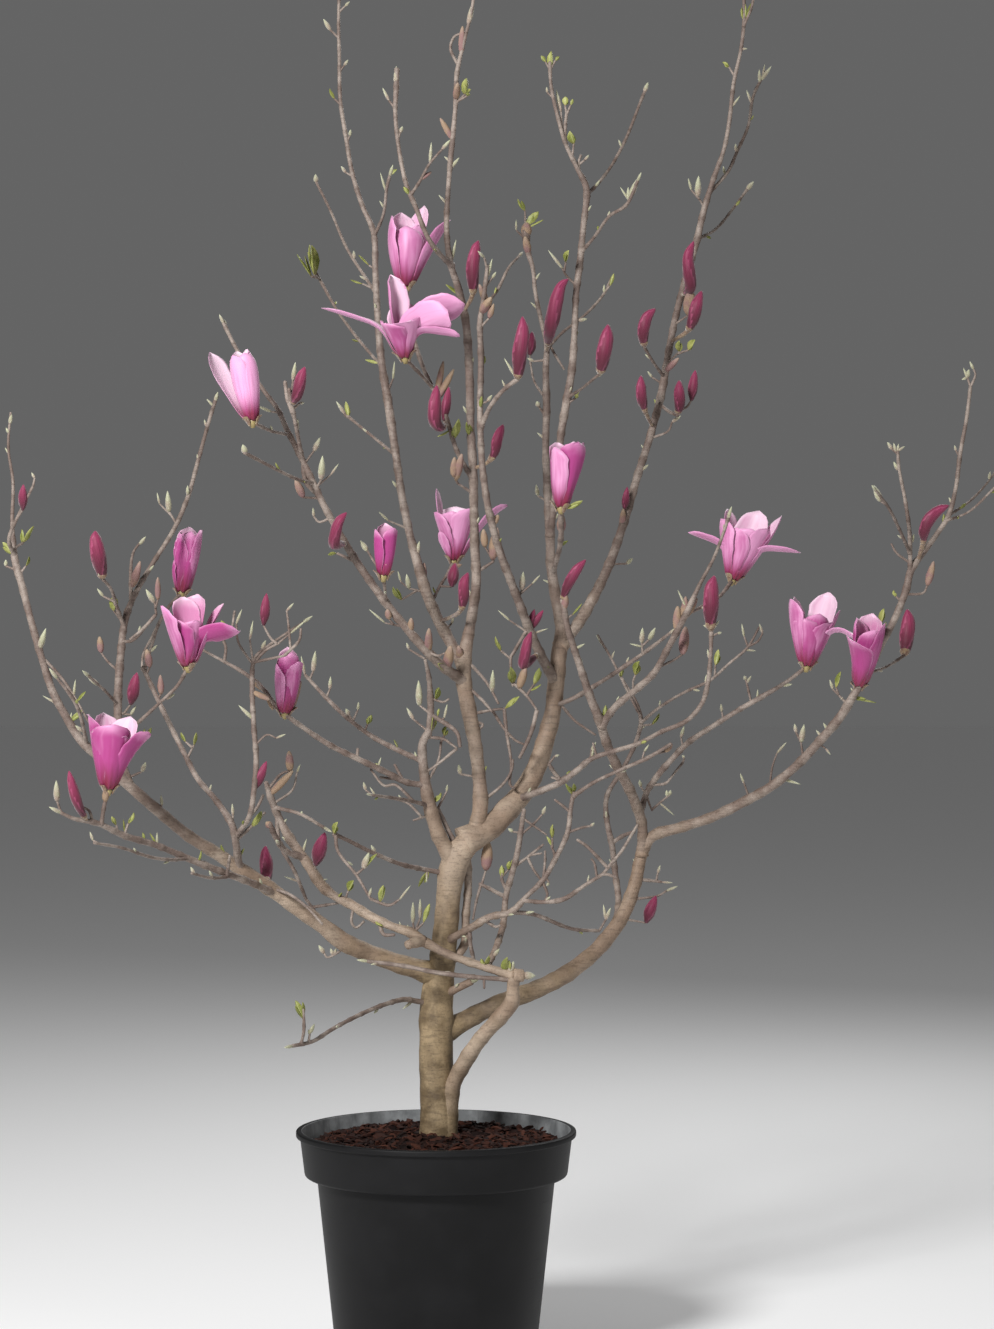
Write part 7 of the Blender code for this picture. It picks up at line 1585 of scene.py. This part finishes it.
# -------- small growth on the twigs
BUD_SHAPE = ((0.0, 0.45), (0.12, 0.8), (0.35, 1.0), (0.62, 0.82), (0.85, 0.42), (1.0, 0.08))
HUSK_SHAPE = ((0.0, 0.42), (0.15, 0.82), (0.4, 1.0), (0.68, 0.86), (0.88, 0.55), (1.0, 0.22))
ROSE_SHAPE = ((0.0, 0.34), (0.08, 0.52), (0.2, 0.82), (0.35, 1.0), (0.55, 0.97), (0.75, 0.74),
              (0.9, 0.42), (1.0, 0.1))
BODIES = {"bud": (BUD_SHAPE, 8, 0, 0.0, 0.0),   # girth, sides, laps, how much they wind, their lift
          "husk": (HUSK_SHAPE, 14, 2, 0.6, 0.34),
          "rose": (ROSE_SHAPE, 20, 3, 1.0, 0.18)}
LEAF_SHAPE = ((0.0, 0.14), (0.2, 0.62), (0.45, 1.0), (0.7, 0.86), (0.88, 0.48), (1.0, 0.06))
LEAF_WALL = 0.0006
WIDE_LEAF = 0.0055          # leaves wider than this have a younger one inside
TWIGLET = 0.15              # cm, radius of the shoots that carry buds
YOUNG_WOOD = 0.0062         # wood up to this radius bears the spaced buds
SPACED_GAP, TIP_GAP = 0.016, 0.014   # kept free round the drawn growth
SPACED_STEP = 0.004         # how finely a branch is walked along
NEXT_TURN = 2.4             # radians from one bud round the branch to the next
LEAF_SHARE = 0.25           # leaves among the spaced buds


def add_small_leaf(bm, layers, foot, tip, side, width, bend):
    """A folded leaf of few faces that arches from foot to tip."""
    along_layer, rim_layer, _, _ = layers
    axis = (tip - foot).normalized()
    length = (tip - foot).length
    outward = Matrix.Rotation(side, 3, axis) @ axis.orthogonal().normalized()
    across = axis.cross(outward).normalized()
    rings = []
    for v, w in LEAF_SHAPE:
        point = foot.lerp(tip, v) + outward * length * bend * math.sin(v * math.pi)
        ring = []
        for skin, u in ((1, -1), (1, 0), (1, 1), (-1, 1), (-1, 0), (-1, -1)):
            lie = point + (across * u * 0.5 - outward * abs(u) * 0.42) * width * w
            vert = bm.verts.new(lie + outward * skin * (LEAF_WALL / 2))
            vert[along_layer] = v
            vert[rim_layer] = abs(u)
            ring.append(vert)
        rings.append(ring)
    for low, high in zip(rings, rings[1:]):
        join_rings(bm, low, high)
    bm.faces.new(rings[0][::-1])
    bm.faces.new(rings[-1])


def growth_route(back, across, up, carriers):
    """A drawn shoot at full depth, its foot on the branch nearest to its first place."""
    drawn = Vector((across[0], up[0]))
    foot = min((on_carrier(route, drawn) for route in carriers), key=lambda p: (p.xy - drawn).length)
    steps = len(across) - 1
    return [tuple(foot)] + [(a, u, foot.z + back * DEPTH * k / steps)
                            for k, (a, u) in enumerate(zip(across, up)) if k]


class Growth:
    """The merged meshes of all small growth, one for each kind."""

    def __init__(self):
        self.meshes = {kind: bmesh.new() for kind in ("shoot", "bud", "leaf", "husk", "rose")}
        self.layers = {kind: bark_layers(bm) if kind == "shoot" else petal_layers(bm)
                       for kind, bm in self.meshes.items()}
        self.feet = []

    def stem(self, points, radius, rng):
        """A thin shoot along grown points."""
        count = len(points) - 1
        route = [(*p, radius * (1.15 - 0.3 * k / count)) for k, p in enumerate(points)]
        tube(self.meshes["shoot"], self.layers["shoot"], route, rng, flare=False)

    def body(self, kind, foot, tip, thick, rng):
        """The bud, leaf, scale or flower bud at the end of a shoot."""
        bm, layers = self.meshes[kind], self.layers[kind]
        turn = rng.uniform(-0.8, 0.8)
        if kind in BODIES:
            shape, sides, laps, wind, lift = BODIES[kind]
            path = [foot.lerp(tip, x) for x, _ in shape]
            radii = [thick * girth for _, girth in shape]
            add_body(bm, layers, path, radii, sides, 0, laps, turn * wind, lift)
        else:
            self.leaves(foot, tip, thick * 2, rng)

    def leaves(self, foot, tip, width, rng):
        """One folded leaf, or a wide one with a younger one inside it."""
        bm, layers = self.meshes["leaf"], self.layers["leaf"]
        side = rng.uniform(0.0, math.tau)
        add_small_leaf(bm, layers, foot, tip, side, width, rng.uniform(0.02, 0.09))
        if width > WIDE_LEAF:
            inner = foot.lerp(tip, rng.uniform(0.6, 0.85))
            inner += (tip - foot).orthogonal() * rng.uniform(-0.2, 0.2)
            add_small_leaf(bm, layers, foot, inner, side + 2.4, width * 0.7, 0.05)

    def free(self, place, gap):
        """Whether no shoot stands within a gap of a place."""
        return all((place - foot).length > gap for foot in self.feet)


def grow_drawn(growth):
    """The shoots, buds, leaves and old scales that the lists give, each on its nearest branch."""
    carriers = list(ROUTES.values())
    for kind, rows in GROWTH.items():
        for number, (width, back, *flat) in enumerate(rows):
            rng = random.Random(kind + str(number))
            points = growth_route(back, flat[::2], flat[1::2], carriers)
            places = [spot(*p) for p in points]
            growth.feet += [places[0], places[-1]]
            if kind == "shoot":
                growth.stem(points, width * 0.5, rng)
                carriers.append([(*p, width * 0.5) for p in points])
                continue
            if len(points) > 2:
                growth.stem(points[:-1], min(TWIGLET, width * 0.4), rng)
                carriers.append([(*p, TWIGLET) for p in points[:-1]])
            growth.body(kind, places[-2], places[-1], width * 0.5 * CM, rng)


def grow_spaced(growth):
    """Further leaf buds and young leaves, alternate along the young wood, and one bud at each tip."""
    for name, route in ROUTES.items():
        rng = random.Random("leaf " + name)
        samples = smooth_route(route, SPACED_STEP)
        walked, due, turn = 0.0, rng.uniform(0.02, 0.05), rng.uniform(0, 6)
        for (low, radius), (high, _) in zip(samples, samples[1:]):
            walked += (high - low).length
            if walked < due or radius > YOUNG_WOOD:
                continue
            heading = (high - low).normalized()
            side = Matrix.Rotation(turn, 3, heading) @ heading.orthogonal().normalized()
            due = walked + rng.uniform(0.035, 0.085) * (1 + radius * 60)
            turn += NEXT_TURN + rng.uniform(-0.4, 0.4)
            lean = rng.uniform(0.35, 0.8)
            axis = heading * math.cos(lean) + side * math.sin(lean) + Vector((0, 0, 0.15))
            axis.normalize()
            foot = low + side * radius * 0.7
            size = rng.uniform(0.007, 0.013)
            kind = "leaf" if rng.random() < LEAF_SHARE else "bud"
            if growth.free(low, SPACED_GAP):
                growth.body(kind, foot, foot + axis * size, size * rng.uniform(0.16, 0.22), rng)
        tip, radius = samples[-1]
        heading = (tip - samples[-3][0]).normalized()
        size = rng.uniform(0.011, 0.016)
        if "stalk" not in name and growth.free(tip, TIP_GAP):
            thick = max(size * 0.16, radius * 0.8)
            growth.body("bud", tip - heading * 0.001, tip + heading * size, thick, rng)


def make_small_growth():
    """Shoots, leaf buds, young leaves, old scales and the smallest flower buds."""
    growth = Growth()
    grow_drawn(growth)
    grow_spaced(growth)
    looks = {"shoot": ("twiglets", "twig_bark", bpy.data.materials["bark"]),
             "bud": ("leaf_buds", "twig_bark", leaf_bud_finish()),
             "leaf": ("young_leaves", "twig_bark", leaf_finish()),
             "husk": ("old_scales", "twig_bark", husk_finish()),
             "rose": ("small_flower_buds", "bud", bpy.data.materials["closed_petal"])}
    for kind, (name, slot, material) in looks.items():
        dress(mesh_piece(name, growth.meshes[kind]), slot, material)


# -------- stage
FLOOR_SIZE = 80.0
FLOOR_COLOUR = (0.97, 0.97, 0.97)
ROOM_COLOUR, ROOM_LIGHT = (0.80, 0.80, 0.80, 1.0), 0.16
LAMPS = (("key", (-1.6, -3.0, 2.6), 0.9, 205.0),    # name, place, width (m), watts
         ("fill", (2.6, -2.0, 1.2), 2.2, 12.0),
         ("rim", (1.2, 2.4, 2.8), 1.8, 40.0))
LAMP_AIM = Vector((0.0, 0.0, 0.95))
SENSOR, LENS = 36.0, 83.2   # mm


def make_stage():
    """Pale floor, soft lamps all round and the camera at eye height in front of the tree."""
    scene = bpy.context.scene
    deselect()
    bpy.ops.mesh.primitive_plane_add(size=FLOOR_SIZE, location=(0.0, 0.0, 0.0))
    floor = bpy.context.object
    floor.name = "floor"
    floor.data.materials.append(Recipe("pale_floor", 0.85, Specular_IOR_Level=0.2).finish(FLOOR_COLOUR))
    world = bpy.data.worlds.new("studio")
    world.use_nodes = True
    colour, strength = world.node_tree.nodes["Background"].inputs[:2]
    colour.default_value, strength.default_value = ROOM_COLOUR, ROOM_LIGHT
    scene.world = world
    scene.view_settings.view_transform = "Standard"
    for name, place, width, watts in LAMPS:
        lamp = bpy.data.lights.new(name, "AREA")
        lamp.shape = "DISK"
        lamp.size = width
        lamp.energy = watts
        holder = bpy.data.objects.new(name, lamp)
        scene.collection.objects.link(holder)
        holder.location = place
        holder.rotation_euler = (LAMP_AIM - Vector(place)).to_track_quat("-Z", "Y").to_euler()
    camera = bpy.data.cameras.new("camera")
    camera.sensor_fit = "VERTICAL"
    camera.sensor_width = camera.sensor_height = SENSOR
    camera.lens = LENS
    scene.camera = bpy.data.objects.new("camera", camera)
    scene.collection.objects.link(scene.camera)
    scene.camera.location = Vector(EYE) * CM
    scene.camera.rotation_euler = (math.radians(90), 0.0, 0.0)


# -------- operators and panel
def operator(idname, label, words, work):
    """An operator class that runs one making function."""

    def execute(self, context):
        work()
        return {"FINISHED"}

    return type("MAGNOLIA_OT_" + idname, (bpy.types.Operator,), {
        "bl_idname": "magnolia." + idname, "bl_label": label, "__doc__": words, "execute": execute})


OPERATORS = (
    operator("stage", "Stage", "Add the pale floor, the soft lamps and the camera", make_stage),
    operator("pot", "Pot", "Model the round nursery pot", make_pot),
    operator("compost", "Compost", "Model the bark compost and its chips", make_compost),
    operator("wood", "Wood", "Model the bark of trunk, limbs and twigs", make_wood),
    operator("flowers", "Flowers", "Model the open flowers", make_flowers),
    operator("flower_buds", "Flower buds", "Model the closed flowers", make_flower_buds),
    operator("small_growth", "Small growth", "Model shoots, leaf buds, leaves and scales",
             make_small_growth),
)


class MAGNOLIA_PT_tools(bpy.types.Panel):
    """Lists the settings and the making steps."""
    bl_label = "Lily Magnolia"
    bl_idname = "MAGNOLIA_PT_tools"
    bl_space_type = "VIEW_3D"
    bl_region_type = "UI"
    bl_category = "Magnolia"

    def draw(self, context):
        for group in GROUPS:
            settings = getattr(context.scene, group)
            box = self.layout.box()
            for key in settings.__annotations__:
                box.prop(settings, key)
        for made in OPERATORS:
            self.layout.operator(made.bl_idname)


GROUPS = {"magnolia_bark": MagnoliaBark, "magnolia_flowers": MagnoliaFlowers, "magnolia_pot": MagnoliaPot}


def register():
    for name, group in GROUPS.items():
        bpy.utils.register_class(group)
        setattr(bpy.types.Scene, name, bpy.props.PointerProperty(type=group))
    for made in (*OPERATORS, MAGNOLIA_PT_tools):
        bpy.utils.register_class(made)


def unregister():
    for made in reversed((*OPERATORS, MAGNOLIA_PT_tools)):
        bpy.utils.unregister_class(made)
    for name, group in GROUPS.items():
        delattr(bpy.types.Scene, name)
        bpy.utils.unregister_class(group)


def main():
    register()
    for made in OPERATORS:
        getattr(bpy.ops.magnolia, made.bl_idname.split(".")[1])()


if __name__ == "__main__":
    main()
